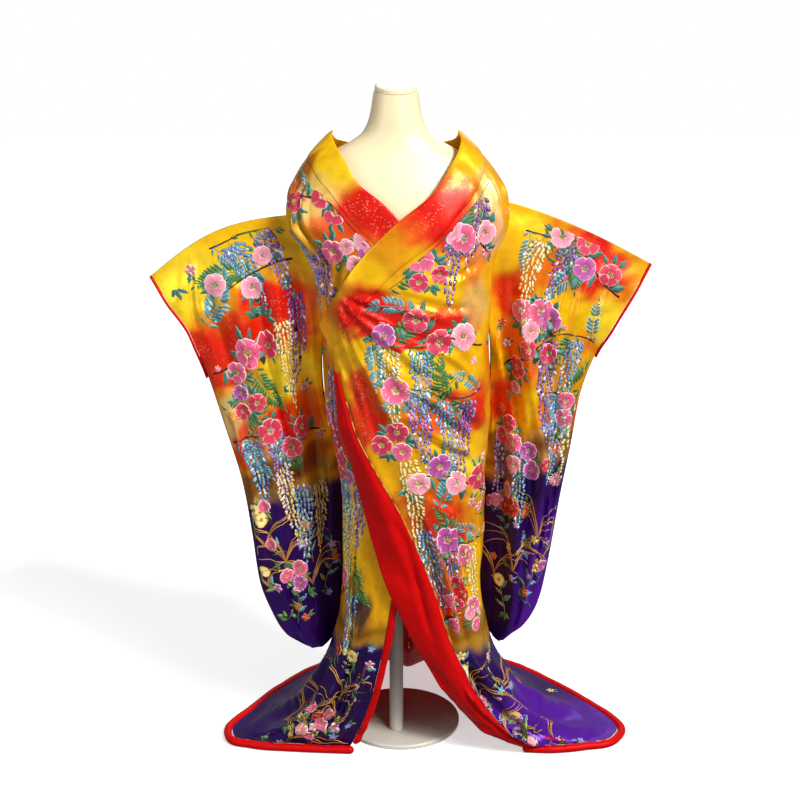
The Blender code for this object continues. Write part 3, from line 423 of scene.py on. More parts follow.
# ---------------------------------------------------------------- creases
# each row: half width in metres, depth in metres (minus sinks in), then points of its line
BODY_CREASES = [
    # drag lines of the over front, from the pinch under the collar's end
    (0.0065, -0.0050, (0.979, 1.092), (0.940, 1.015), (0.893, 0.900)),
    (0.0065, -0.0046, (0.977, 1.100), (0.918, 1.065), (0.868, 1.015), (0.800, 0.975)),
    (0.0075, -0.0036, (0.974, 1.106), (0.884, 1.095), (0.800, 1.030), (0.760, 0.995)),
    (0.0065, -0.0050, (0.981, 1.085), (0.970, 1.010), (0.949, 0.930), (0.940, 0.765)),
    (0.0060, -0.0040, (0.984, 1.075), (0.988, 0.985), (0.965, 0.895), (0.948, 0.780)),
    (0.0100, 0.0042, (0.977, 1.095), (0.928, 1.035), (0.868, 0.955), (0.830, 0.900)),
    (0.0080, 0.0036, (0.978, 1.088), (0.955, 0.990), (0.915, 0.860), (0.905, 0.780)),
    (0.0042, -0.0022, (0.972, 1.100), (0.930, 1.075), (0.880, 1.050)),
    (0.0040, -0.0022, (0.968, 1.085), (0.925, 1.040), (0.886, 0.985)),
    (0.0044, -0.0022, (0.966, 1.072), (0.934, 1.000), (0.916, 0.930)),
    (0.0040, -0.0022, (0.968, 1.060), (0.952, 0.990), (0.932, 0.880), (0.928, 0.800)),
    (0.0060, 0.0022, (0.962, 1.090), (0.905, 1.050), (0.845, 1.000), (0.800, 0.950)),
    (0.0060, 0.0024, (0.960, 1.066), (0.920, 0.980), (0.880, 0.880), (0.850, 0.840)),
    (0.0050, -0.0036, (0.900, 1.110), (0.860, 1.090), (0.810, 1.070), (0.770, 1.075)),
    (0.0052, -0.0036, (0.860, 1.150), (0.815, 1.140), (0.765, 1.165)),
    (0.0055, 0.0034, (0.905, 1.080), (0.850, 1.060), (0.790, 1.040)),
    # across the hips and thigh
    (0.0100, -0.0062, (0.895, 0.905), (0.842, 0.835), (0.779, 0.750)),
    (0.0095, -0.0052, (0.871, 0.918), (0.828, 0.870), (0.769, 0.775)),
    (0.0085, -0.0050, (0.885, 0.805), (0.821, 0.755), (0.784, 0.712)),
    (0.0080, -0.0040, (0.842, 1.042), (0.804, 1.010), (0.764, 0.960)),
    (0.0120, 0.0044, (0.905, 0.865), (0.850, 0.795), (0.795, 0.735)),
    (0.0070, 0.0028, (0.850, 0.990), (0.812, 0.955), (0.775, 0.900)),
    (0.0075, -0.0034, (0.862, 0.745), (0.820, 0.700), (0.785, 0.668)),
    (0.0070, -0.0030, (0.900, 0.700), (0.862, 0.650), (0.828, 0.625)),
    # down the column and over the knee
    (0.0140, -0.0085, (0.928, 0.710), (0.912, 0.610), (0.895, 0.480), (0.885, 0.360), (0.900, 0.200)),
    (0.0115, -0.0050, (0.875, 0.660), (0.868, 0.560), (0.858, 0.450), (0.846, 0.330), (0.830, 0.220)),
    (0.0100, -0.0044, (0.822, 0.680), (0.830, 0.580), (0.822, 0.470), (0.805, 0.350)),
    (0.0080, -0.0040, (0.952, 0.640), (0.938, 0.530), (0.940, 0.400), (0.948, 0.260)),
    (0.0110, 0.0046, (0.900, 0.640), (0.888, 0.540), (0.872, 0.420), (0.862, 0.300)),
    (0.0090, -0.0038, (0.778, 0.640), (0.775, 0.520), (0.762, 0.390), (0.752, 0.250)),
    # the over front's wing on the floor
    (0.0200, 0.0075, (0.842, 0.300), (0.812, 0.120), (0.785, -0.100), (0.772, -0.260)),
    (0.0170, -0.0070, (0.862, 0.260), (0.842, 0.060), (0.832, -0.130), (0.834, -0.275)),
    (0.0180, -0.0070, (0.795, 0.250), (0.757, 0.060), (0.738, -0.130), (0.728, -0.250)),
    (0.0150, 0.0055, (0.905, 0.180), (0.885, 0.010), (0.872, -0.180), (0.868, -0.280)),
    (0.0100, -0.0045, (0.880, -0.020), (0.850, -0.110), (0.812, -0.180), (0.790, -0.200)),
    (0.0090, -0.0040, (0.905, -0.100), (0.872, -0.190), (0.835, -0.235)),
    (0.0120, 0.0040, (0.700, 0.200), (0.705, 0.000), (0.708, -0.200)),
    # the under front: strip beside the lapel, then its wing
    (0.0070, -0.0034, (0.238, 0.960), (0.226, 0.760), (0.206, 0.550), (0.200, 0.400)),
    (0.0080, 0.0030, (0.258, 0.930), (0.248, 0.740), (0.235, 0.540), (0.232, 0.380)),
    (0.0080, -0.0036, (0.168, 0.620), (0.160, 0.480), (0.150, 0.340), (0.155, 0.180)),
    (0.0170, -0.0068, (0.118, 0.260), (0.148, 0.060), (0.168, -0.200)),
    (0.0110, -0.0048, (0.050, 0.230), (0.056, 0.010), (0.066, -0.220)),
    (0.0180, 0.0062, (0.200, 0.260), (0.214, 0.050), (0.226, -0.220)),
    (0.0160, -0.0066, (0.256, 0.220), (0.272, 0.000), (0.282, -0.220)),
    (0.0110, 0.0045, (0.090, 0.160), (0.100, -0.040), (0.112, -0.250)),
    # shoulders beside the armholes
    (0.0065, -0.0052, (0.236, 1.335), (0.232, 1.250), (0.224, 1.120)),
    (0.0070, 0.0042, (0.259, 1.335), (0.262, 1.240), (0.254, 1.100)),
    (0.0080, -0.0040, (0.186, 1.210), (0.205, 1.130), (0.236, 1.040), (0.244, 0.960)),
    (0.0075, -0.0036, (0.160, 1.180), (0.196, 1.085), (0.222, 0.990)),
    (0.0065, -0.0052, (0.757, 1.345), (0.753, 1.270), (0.746, 1.140)),
    (0.0060, 0.0040, (0.737, 1.330), (0.736, 1.250), (0.729, 1.110)),
    (0.0090, -0.0030, (0.783, 1.330), (0.786, 1.240), (0.776, 1.150)),
    (0.0080, -0.0034, (0.800, 1.200), (0.785, 1.120), (0.756, 1.050)),
    # the back
    (0.0180, -0.0075, (0.424, 1.230), (0.410, 0.950), (0.402, 0.600), (0.408, 0.200), (0.412, -0.220)),
    (0.0170, -0.0070, (0.578, 1.210), (0.592, 0.900), (0.600, 0.550), (0.596, 0.120), (0.602, -0.240)),
    (0.0130, 0.0050, (0.456, 1.150), (0.448, 0.800), (0.456, 0.400), (0.468, -0.060)),
    (0.0140, 0.0050, (0.544, 1.120), (0.552, 0.760), (0.548, 0.340), (0.538, -0.120)),
    (0.0110, -0.0050, (0.362, 1.180), (0.376, 0.960), (0.366, 0.680), (0.372, 0.350)),
    (0.0110, -0.0050, (0.640, 1.160), (0.624, 0.900), (0.634, 0.620), (0.626, 0.330)),
    (0.0090, -0.0040, (0.480, 0.920), (0.470, 0.700), (0.478, 0.480)),
    (0.0090, -0.0038, (0.522, 0.860), (0.530, 0.640), (0.522, 0.420)),
    (0.0090, -0.0040, (0.330, 0.860), (0.352, 0.740), (0.392, 0.660)),
    (0.0080, -0.0036, (0.668, 0.820), (0.648, 0.720), (0.612, 0.650)),
    (0.0190, 0.0070, (0.340, 0.300), (0.348, 0.050), (0.352, -0.250)),
    (0.0190, 0.0070, (0.655, 0.300), (0.652, 0.050), (0.650, -0.250)),
    (0.0150, -0.0060, (0.500, 0.260), (0.502, 0.040), (0.504, -0.240)),
    (0.0150, -0.0055, (0.316, 0.240), (0.322, 0.020), (0.326, -0.220)),
    (0.0140, -0.0055, (0.680, 0.240), (0.678, 0.020), (0.680, -0.220)),
    (0.0120, 0.0045, (0.385, 0.180), (0.382, -0.020), (0.380, -0.220)),
    (0.0120, 0.0045, (0.628, 0.180), (0.628, -0.020), (0.626, -0.220)),
]
SLEEVE_CREASES = {
    "right_front": [
        (0.0130, -0.0110, (0.120, 0.060), (0.145, 0.220), (0.095, 0.440), (0.190, 0.640), (0.210, 0.800)),
        (0.0200, 0.0085, (0.250, 0.030), (0.285, 0.240), (0.250, 0.470), (0.320, 0.720), (0.330, 0.900)),
        (0.0170, -0.0078, (0.400, 0.040), (0.455, 0.230), (0.440, 0.450), (0.480, 0.700), (0.500, 0.900)),
        (0.0230, 0.0070, (0.560, 0.030), (0.600, 0.200), (0.600, 0.420), (0.620, 0.660), (0.640, 0.880)),
        (0.0160, -0.0070, (0.660, 0.020), (0.780, 0.120), (0.780, 0.300), (0.760, 0.520), (0.770, 0.760)),
        (0.0110, -0.0050, (0.700, 0.010), (0.860, 0.070), (0.985, 0.130)),
        (0.0090, -0.0036, (0.300, 0.500), (0.400, 0.560), (0.520, 0.600)),
        (0.0080, -0.0034, (0.180, 0.300), (0.300, 0.350), (0.400, 0.380)),
        (0.0120, 0.0042, (0.860, 0.300), (0.900, 0.480), (0.880, 0.700)),
        (0.0100, -0.0044, (0.330, 0.780), (0.380, 0.900), (0.400, 0.985)),
        (0.0100, -0.0040, (0.620, 0.800), (0.660, 0.900), (0.680, 0.985)),
        (0.0070, -0.0030, (0.040, 0.300), (0.055, 0.480), (0.060, 0.660)),
    ],
    "right_back": [
        (0.0150, -0.0090, (0.160, 0.040), (0.200, 0.250), (0.180, 0.500), (0.240, 0.800)),
        (0.0200, 0.0070, (0.320, 0.040), (0.350, 0.260), (0.340, 0.560), (0.380, 0.860)),
        (0.0180, -0.0075, (0.520, 0.030), (0.560, 0.240), (0.540, 0.520), (0.560, 0.840)),
        (0.0170, -0.0060, (0.760, 0.060), (0.800, 0.260), (0.790, 0.520), (0.760, 0.820)),
        (0.0100, -0.0040, (0.300, 0.300), (0.420, 0.380), (0.520, 0.420)),
        (0.0110, 0.0045, (0.660, 0.200), (0.680, 0.440), (0.660, 0.700)),
    ],
    "left_front": [
        (0.0120, -0.0110, (0.050, 0.070), (0.085, 0.255), (0.300, 0.450), (0.540, 0.650), (0.600, 0.830)),
        (0.0200, 0.0090, (0.200, 0.050), (0.270, 0.240), (0.480, 0.420), (0.690, 0.600), (0.740, 0.800)),
        (0.0150, -0.0075, (0.430, 0.030), (0.520, 0.230), (0.720, 0.410), (0.870, 0.560)),
        (0.0120, -0.0075, (0.020, 0.340), (0.110, 0.500), (0.260, 0.690), (0.310, 0.900)),
        (0.0170, 0.0070, (0.140, 0.420), (0.300, 0.620), (0.430, 0.800), (0.460, 0.940)),
        (0.0150, 0.0060, (0.620, 0.060), (0.760, 0.240), (0.900, 0.390)),
        (0.0120, -0.0050, (0.740, 0.050), (0.860, 0.180), (0.960, 0.290)),
        (0.0100, -0.0046, (0.780, 0.620), (0.800, 0.760), (0.790, 0.920)),
        (0.0090, -0.0038, (0.600, 0.840), (0.660, 0.930), (0.680, 0.990)),
        (0.0080, -0.0034, (0.880, 0.520), (0.900, 0.700), (0.870, 0.860)),
        (0.0070, -0.0034, (0.020, 0.080), (0.030, 0.180), (0.040, 0.300)),
    ],
    "left_back": [
        (0.0150, -0.0090, (0.120, 0.050), (0.180, 0.260), (0.220, 0.520), (0.300, 0.820)),
        (0.0190, 0.0070, (0.300, 0.050), (0.350, 0.280), (0.400, 0.560), (0.440, 0.860)),
        (0.0170, -0.0070, (0.500, 0.040), (0.560, 0.260), (0.600, 0.540), (0.620, 0.850)),
        (0.0150, -0.0060, (0.740, 0.060), (0.790, 0.280), (0.800, 0.540), (0.780, 0.820)),
        (0.0100, -0.0040, (0.260, 0.420), (0.400, 0.500), (0.560, 0.520)),
    ],
}


def hashed(ix, iy, seed):
    v = np.sin(ix * 127.1 + iy * 311.7 + seed * 74.7) * 43758.5453
    return v - np.floor(v)


def noise(u, v, size, seed):
    """Smooth noise from -1 to 1 with features of this size."""
    x, y = np.asarray(u) / size, np.asarray(v) / size
    ix, iy = np.floor(x), np.floor(y)
    fx, fy = x - ix, y - iy
    fx, fy = fx * fx * (3 - 2 * fx), fy * fy * (3 - 2 * fy)
    a, b = hashed(ix, iy, seed), hashed(ix + 1, iy, seed)
    c, d = hashed(ix, iy + 1, seed), hashed(ix + 1, iy + 1, seed)
    return 2 * (a + (b - a) * fx + (c - a) * fy + (a - b - c + d) * fx * fy) - 1


def smooth_path(points, per=6):
    """More points along a curve through these."""
    p = np.array(points, float)
    p = np.vstack([2 * p[0] - p[1], p, 2 * p[-1] - p[-2]])
    out = []
    for i in range(1, len(p) - 2):
        for t in np.linspace(0, 1, per, endpoint=False):
            out.append(0.5 * (2 * p[i] + (p[i + 1] - p[i - 1]) * t + (2 * p[i - 1] - 5 * p[i] + 4 * p[i + 1] - p[i + 2]) * t**2
                              + (3 * p[i] - p[i - 1] - 3 * p[i + 1] + p[i + 2]) * t**3))
    out.append(p[-2])
    return np.array(out)


def creased(u, v, rows, su, sv):
    """Displacement by the creases at places (u, v), whose sizes in metres are su and sv per unit."""
    out = np.zeros(np.shape(u))
    x, y = u * su, v * sv
    for half, depth, *points in rows:
        path = smooth_path(points) * (su, sv)
        reach = 4.2 * half
        near = ((x > path[:, 0].min() - reach) & (x < path[:, 0].max() + reach)
                & (y > path[:, 1].min() - reach) & (y < path[:, 1].max() + reach))
        if not near.any():
            continue
        px, py = x[near], y[near]
        best, side, along = np.full(px.shape, 1e9), np.zeros(px.shape), np.zeros(px.shape)
        lengths = np.linalg.norm(np.diff(path, axis=0), axis=1)
        total, gone = lengths.sum(), 0.0
        for a, b, length in zip(path[:-1], path[1:], lengths):
            d = (b - a) / max(length, 1e-9)
            t = np.clip((px - a[0]) * d[0] + (py - a[1]) * d[1], 0, length)
            qx, qy = px - a[0] - d[0] * t, py - a[1] - d[1] * t
            dist = np.hypot(qx, qy)
            closer = dist < best
            best = np.where(closer, dist, best)
            side = np.where(closer, np.sign(d[0] * qy - d[1] * qx), side)
            along = np.where(closer, (gone + t) / total, along)
            gone += length
        s = best * side
        wide = max(half, 0.0060) * (0.78 + 0.5 * along)       # a crease opens as it runs out
        lasting = ease(along / 0.16) * ease((1 - along) / 0.34)
        f = np.exp(-((s / wide) ** 2)) - 0.42 * np.exp(-(((s - 2.0 * wide) / (1.15 * wide)) ** 2)) - 0.20 * np.exp(-(((s + 2.1 * wide) / (1.2 * wide)) ** 2))
        out[near] += depth * f * lasting
    return out


def body_relief(share, level):
    """How far the fine body cloth stands out of its plain surface."""
    d = creased(share, level, BODY_CREASES, AROUND, 1.0)
    free = ease((0.955 - share) / 0.025)
    d = np.where(d > 0, d * (1.0 + 1.1 * free), d * (1.0 + 0.8 * free))
    u, v = share * AROUND, level
    d = d + 0.0025 * noise(u + 0.5 * v, v * 0.55, 0.075, 3) + 0.0015 * noise(u - 0.4 * v, v * 0.6, 0.034, 5) + 0.00040 * noise(u + 0.3 * v, v, 0.017, 7)
    for s in SEAMS:
        off = (share - s) * AROUND
        sewn = 1.0 if s not in (SIDE_R, SIDE_L) else ease((SLIT_LOW - level) / 0.05)
        d = d - sewn * (0.0010 * np.exp(-((off / 0.0035) ** 2)) + 0.00035 * np.sin(level * 380 + 3 * np.sin(level * 57)) * np.exp(-((off / 0.016) ** 2)))
    covered = ease((0.17 - share) / 0.05) * ease((level - 0.47) / 0.12) * ease((1.12 - level) / 0.08)
    d = d * (1 - 0.9 * covered)
    train = ease((0.30 - level) / 0.16)
    d = d + train * (0.0032 * noise(u, v, 0.056, 9) + 0.0015 * noise(u, v, 0.026, 11))
    over = ease((share - 0.82) / 0.06) * ease((level - 0.42) / 0.10)
    proud = over * ease((0.945 - share) / 0.05) * ease((1.075 - level) / 0.05) * ease((share - 0.745) / 0.05)
    low = -0.0026 - 0.0100 * (1 - over) - 0.0020 * proud
    d = np.where(d < low * 0.5, low * 0.5 - (0.5 * -low) * np.tanh((low * 0.5 - d) / (0.5 * -low)), d)
    d = d + 0.0044 * proud
    return d * ease((level + DROP - KNEE_Z + 0.005) / 0.03) * (0.25 + 0.75 * ease((level + DROP - KNEE_Z) / 0.10))


# ---------------------------------------------------------------- dyed ground, with painted light and shade on the purple hem and beside the turned-back edge
def srgb(r, g, b):
    c = np.array([r, g, b], float) / 255
    return np.where(c <= 0.04045, c / 12.92, ((c + 0.055) / 1.055) ** 2.4)


DYES = {
    "yellow": srgb(250, 192, 8), "lemon": srgb(254, 216, 40), "gold": srgb(226, 150, 10), "mustard": srgb(190, 122, 14),
    "orange": srgb(234, 96, 6), "coral": srgb(236, 68, 22), "red": srgb(220, 24, 6), "deepred": srgb(150, 10, 8),
    "brown": srgb(112, 62, 22), "olive": srgb(140, 100, 30), "sand": srgb(224, 186, 116), "cream": srgb(238, 212, 164),
    # violet is the lit copy of indigo, mixed into the purple hem as painted light; night is a real dye and is also
    # mixed in as painted shade
    "indigo": srgb(40, 4, 80), "violet": srgb(84, 20, 150), "night": srgb(26, 4, 48),
}
# share, level, half width (m), half height (m), tilt (degrees), dye, strength
BODY_ZONES = [
    # over front and its collar
    (0.780, 1.360, 0.060, 0.040, 0, "yellow", 1.0), (0.812, 1.320, 0.050, 0.035, 20, "gold", 0.6),
    (0.842, 1.270, 0.060, 0.060, -35, "red", 1.0), (0.800, 1.225, 0.050, 0.045, 0, "red", 0.85),
    (0.770, 1.300, 0.035, 0.050, 0, "sand", 0.7), (0.772, 1.215, 0.030, 0.060, 0, "cream", 0.45),
    (0.888, 1.232, 0.040, 0.030, -30, "orange", 0.6), (0.905, 1.190, 0.050, 0.035, -30, "gold", 0.9),
    (0.948, 1.140, 0.070, 0.045, -25, "yellow", 1.0), (0.985, 1.060, 0.040, 0.050, -40, "mustard", 0.9),
    (0.935, 1.062, 0.072, 0.052, -20, "red", 1.0), (0.885, 1.030, 0.080, 0.044, -25, "red", 1.0),
    (0.830, 1.028, 0.080, 0.030, -18, "red", 0.95), (0.800, 1.012, 0.050, 0.016, -22, "orange", 0.75),
    (0.829, 1.130, 0.085, 0.036, -10, "yellow", 1.0), (0.772, 1.080, 0.035, 0.050, 0, "sand", 0.6),
    (0.780, 1.150, 0.030, 0.045, 0, "coral", 0.55), (0.860, 0.985, 0.090, 0.014, -25, "lemon", 0.8),
    (0.835, 0.940, 0.110, 0.050, -20, "yellow", 1.0), (0.800, 0.965, 0.040, 0.024, 0, "gold", 0.5),
    (0.935, 0.965, 0.040, 0.060, -50, "yellow", 1.0), (0.952, 0.870, 0.028, 0.090, -12, "red", 0.95),
    (0.965, 0.800, 0.035, 0.070, 0, "red", 0.9), (0.915, 0.880, 0.040, 0.060, -30, "orange", 0.50),
    (0.820, 0.852, 0.105, 0.046, -8, "coral", 0.95), (0.790, 0.838, 0.060, 0.034, 0, "red", 0.8),
    (0.880, 0.860, 0.040, 0.040, -30, "orange", 0.7), (0.850, 0.762, 0.110, 0.036, -8, "yellow", 1.0),
    (0.905, 0.760, 0.040, 0.060, 0, "gold", 0.55), (0.795, 0.690, 0.050, 0.060, 0, "lemon", 0.9),
    (0.865, 0.670, 0.080, 0.030, -10, "orange", 0.9), (0.858, 0.590, 0.080, 0.058, -12, "red", 0.95),
    (0.915, 0.620, 0.050, 0.070, 0, "deepred", 0.55), (0.795, 0.600, 0.040, 0.050, 0, "gold", 0.7),
    (0.800, 0.470, 0.050, 0.080, 0, "yellow", 1.0), (0.860, 0.495, 0.050, 0.034, 0, "orange", 0.8),
    (0.900, 0.500, 0.040, 0.060, 0, "brown", 0.55), (0.872, 0.405, 0.070, 0.058, -10, "red", 0.95),
    # the indigo strip at share 0.930 is painted shade: a dark line beside the turned-back edge, where its shadow falls
    (0.815, 0.350, 0.040, 0.030, 0, "orange", 0.7), (0.930, 0.420, 0.030, 0.100, 0, "indigo", 0.9),
    # under front and its collar
    (0.222, 1.375, 0.080, 0.060, 20, "yellow", 1.0), (0.180, 1.335, 0.060, 0.040, 30, "lemon", 0.55),
    (0.128, 1.262, 0.080, 0.050, 32, "red", 1.0), (0.085, 1.215, 0.060, 0.045, 32, "red", 1.0),
    (0.246, 1.325, 0.030, 0.060, 0, "deepred", 0.75), (0.205, 1.300, 0.040, 0.045, 0, "sand", 0.55),
    (0.168, 1.225, 0.055, 0.040, 20, "coral", 0.85), (0.205, 1.165, 0.060, 0.045, 20, "mustard", 0.95),
    (0.235, 1.240, 0.030, 0.040, 0, "olive", 0.55), (0.170, 1.120, 0.050, 0.050, 0, "gold", 0.8),
    (0.232, 0.900, 0.060, 0.070, 0, "mustard", 0.95), (0.215, 0.760, 0.070, 0.070, 0, "red", 0.95),
    (0.250, 0.690, 0.040, 0.050, 0, "orange", 0.7), (0.190, 0.650, 0.050, 0.040, 0, "sand", 0.45),
    (0.200, 0.500, 0.090, 0.090, 0, "yellow", 1.0), (0.140, 0.420, 0.050, 0.060, 0, "brown", 0.75),
    (0.255, 0.420, 0.050, 0.060, 0, "gold", 0.6), (0.105, 0.370, 0.050, 0.050, 0, "night", 0.85),
    # sides and back
    (0.300, 0.980, 0.060, 0.080, 0, "red", 0.8), (0.305, 0.560, 0.060, 0.090, 0, "orange", 0.75),
    (0.700, 0.960, 0.060, 0.080, 0, "orange", 0.7), (0.700, 0.620, 0.060, 0.080, 0, "red", 0.8),
    (0.410, 1.180, 0.100, 0.070, 15, "red", 0.95), (0.350, 1.290, 0.060, 0.050, 0, "gold", 0.8),
    (0.600, 1.150, 0.110, 0.060, -18, "coral", 0.9), (0.500, 1.300, 0.110, 0.050, 0, "yellow", 1.0),
    (0.500, 1.050, 0.090, 0.050, -12, "lemon", 0.8), (0.445, 0.930, 0.120, 0.060, 14, "orange", 0.9),
    (0.590, 0.900, 0.120, 0.060, -10, "red", 0.95), (0.520, 0.780, 0.110, 0.050, 8, "yellow", 1.0),
    (0.380, 0.770, 0.080, 0.060, 0, "sand", 0.55), (0.430, 0.640, 0.130, 0.055, -10, "red", 0.95),
    (0.600, 0.640, 0.110, 0.050, 12, "gold", 0.85), (0.520, 0.520, 0.130, 0.045, 0, "orange", 0.85),
    (0.400, 0.450, 0.090, 0.050, 10, "yellow", 1.0), (0.610, 0.460, 0.110, 0.050, -8, "red", 0.85),
    (0.500, 0.390, 0.110, 0.040, 0, "brown", 0.7), (0.340, 0.380, 0.060, 0.040, 0, "olive", 0.7),
    (0.660, 0.370, 0.080, 0.040, 0, "gold", 0.7),
]
SLEEVE_ZONES = {
    "right_front": [
        (0.700, 0.030, 0.130, 0.055, 0, "lemon", 0.9), (0.300, 0.020, 0.090, 0.045, 0, "yellow", 0.9),
        (0.130, 0.060, 0.040, 0.060, 0, "mustard", 0.60), (0.380, 0.150, 0.080, 0.060, 0, "red", 1.0),
        (0.560, 0.190, 0.060, 0.040, -15, "orange", 0.9), (0.780, 0.165, 0.060, 0.036, 0, "red", 0.8),
        (0.950, 0.150, 0.050, 0.045, 0, "red", 0.95),
        (0.200, 0.210, 0.050, 0.040, 0, "coral", 0.8), (0.300, 0.300, 0.110, 0.045, -8, "lemon", 0.9),
        (0.800, 0.225, 0.110, 0.056, 6, "red", 0.95), (0.560, 0.215, 0.090, 0.046, 0, "red", 0.85),
        (0.120, 0.180, 0.045, 0.080, 0, "red", 0.80), (0.800, 0.350, 0.080, 0.060, 0, "sand", 0.85),
        (0.640, 0.310, 0.060, 0.050, 0, "mustard", 0.7), (0.360, 0.420, 0.110, 0.058, 8, "red", 1.0),
        (0.800, 0.430, 0.080, 0.040, 0, "red", 0.85), (0.160, 0.400, 0.040, 0.070, 0, "orange", 0.7),
        (0.600, 0.440, 0.050, 0.040, 0, "sand", 0.5), (0.260, 0.520, 0.090, 0.035, 0, "orange", 0.7),
        (0.640, 0.520, 0.180, 0.036, 0, "brown", 0.8),
    ],
    "left_front": [
        (0.140, 0.030, 0.060, 0.045, 0, "yellow", 1.0), (0.640, 0.050, 0.110, 0.055, 6, "red", 1.0),
        (0.320, 0.080, 0.050, 0.050, 0, "orange", 0.8), (0.170, 0.170, 0.055, 0.060, 0, "red", 0.95),
        (0.400, 0.190, 0.060, 0.040, 20, "gold", 0.8), (0.640, 0.165, 0.080, 0.045, 0, "yellow", 1.0),
        (0.920, 0.130, 0.050, 0.060, 0, "lemon", 0.9), (0.860, 0.200, 0.050, 0.030, 0, "orange", 0.6),
        (0.300, 0.280, 0.080, 0.055, 25, "orange", 0.95), (0.600, 0.290, 0.070, 0.050, 25, "sand", 0.65),
        (0.850, 0.300, 0.060, 0.050, 0, "gold", 1.0), (0.160, 0.410, 0.060, 0.065, 0, "red", 0.95),
        (0.420, 0.410, 0.060, 0.050, 25, "yellow", 0.95), (0.650, 0.420, 0.060, 0.045, 0, "coral", 0.8),
        (0.900, 0.410, 0.060, 0.045, 0, "red", 0.75), (0.600, 0.510, 0.060, 0.035, 0, "sand", 0.6),
        (0.860, 0.500, 0.090, 0.036, 0, "olive", 0.85), (0.300, 0.560, 0.110, 0.050, 20, "brown", 0.85),
    ],
    "right_back": [
        (0.500, 0.040, 0.160, 0.050, 0, "yellow", 1.0), (0.300, 0.160, 0.100, 0.055, 10, "orange", 0.9),
        (0.750, 0.160, 0.090, 0.055, -8, "red", 0.95), (0.500, 0.290, 0.130, 0.050, 0, "gold", 0.9),
        (0.250, 0.400, 0.100, 0.055, 0, "red", 0.95), (0.720, 0.400, 0.090, 0.050, 0, "lemon", 0.9),
        (0.480, 0.500, 0.150, 0.040, 0, "orange", 0.8), (0.300, 0.545, 0.110, 0.032, 0, "brown", 0.8),
    ],
    "left_back": [
        (0.450, 0.040, 0.160, 0.050, 0, "gold", 0.9), (0.650, 0.150, 0.110, 0.055, 8, "red", 0.95),
        (0.250, 0.190, 0.090, 0.055, 0, "yellow", 1.0), (0.500, 0.300, 0.130, 0.050, -8, "orange", 0.9),
        (0.750, 0.390, 0.090, 0.055, 0, "yellow", 1.0), (0.280, 0.420, 0.110, 0.055, 0, "coral", 0.95),
        (0.560, 0.500, 0.150, 0.040, 0, "red", 0.7), (0.700, 0.560, 0.110, 0.032, 0, "brown", 0.8),
    ],
}


def mixed(a, b, t):
    return a + (b - a) * t[..., None]


def zoned(u, v, x, y, zones, su, sv, colour, speckle):
    """Soft dye patches laid over one another, with the odd patch of painted shade. x and y are metres, u and v the
    table's own units.
    """
    wx = x + 0.018 * noise(x, y, 0.070, 11) + 0.009 * noise(x, y, 0.026, 12) + 0.003 * noise(x, y, 0.010, 15)
    wy = y + 0.016 * noise(x, y, 0.060, 13) + 0.011 * noise(x * 0.6 + y * 0.8, y * 0.25 - x * 0.3, 0.012, 14) + 0.004 * noise(x, y, 0.011, 16)
    for zu, zv, ru, rv, tilt, dye, strength in zones:
        a = math.radians(tilt)
        dx, dy = wx - zu * su, wy - zv * sv
        ex, ey = (dx * math.cos(a) + dy * math.sin(a)) / ru, (-dx * math.sin(a) + dy * math.cos(a)) / rv
        w = strength * ease((1.38 - np.hypot(ex, ey)) / 0.72)
        colour = mixed(colour, DYES[dye], w)
        if dye in ("red", "coral"):
            speckle = np.maximum(speckle, w)
        else:
            speckle = speckle * (1 - w)
    return colour, speckle


def body_dye(share, level):
    x, y = share * AROUND, level
    base = np.broadcast_to(DYES["yellow"], share.shape + (3,)).copy()
    base = mixed(base, DYES["gold"], 0.5 + 0.5 * noise(x, y, 0.11, 21))
    colour, speckle = zoned(share, level, x, y, BODY_ZONES, AROUND, 1.0, base, np.zeros(share.shape))
    edge = 0.275 + 0.030 * noise(x, y, 0.12, 22) + 0.012 * noise(x, y, 0.04, 23) + 0.075 * np.exp(-(((share - 0.5) / 0.17) ** 2))
    colour = mixed(colour, DYES["brown"], 0.75 * np.exp(-(((level - edge - 0.030) / 0.030) ** 2)))
    deep = ease((edge + 0.020 - level) / 0.060)
    # painted light: lit mixes violet, the lit copy of indigo, into the purple hem where light falls, on the over
    # front's wing and towards the back
    lit = np.clip(ease((share - 0.66) / 0.06) * ease((0.900 - share) / 0.05) * ease((0.17 - level) / 0.10) + 0.35 * np.exp(-(((share - 0.5) / 0.14) ** 2)), 0, 1)
    purple = mixed(np.broadcast_to(DYES["indigo"], colour.shape), DYES["violet"], np.clip(lit + 0.10 * noise(x, y, 0.09, 24), 0, 1))
    # painted shade: the under front's purple wing is darkened towards night
    purple = mixed(purple, DYES["night"], 0.35 * ease((0.24 - share) / 0.1) * np.ones(share.shape))
    return mixed(colour, purple, deep), speckle * (1 - deep)


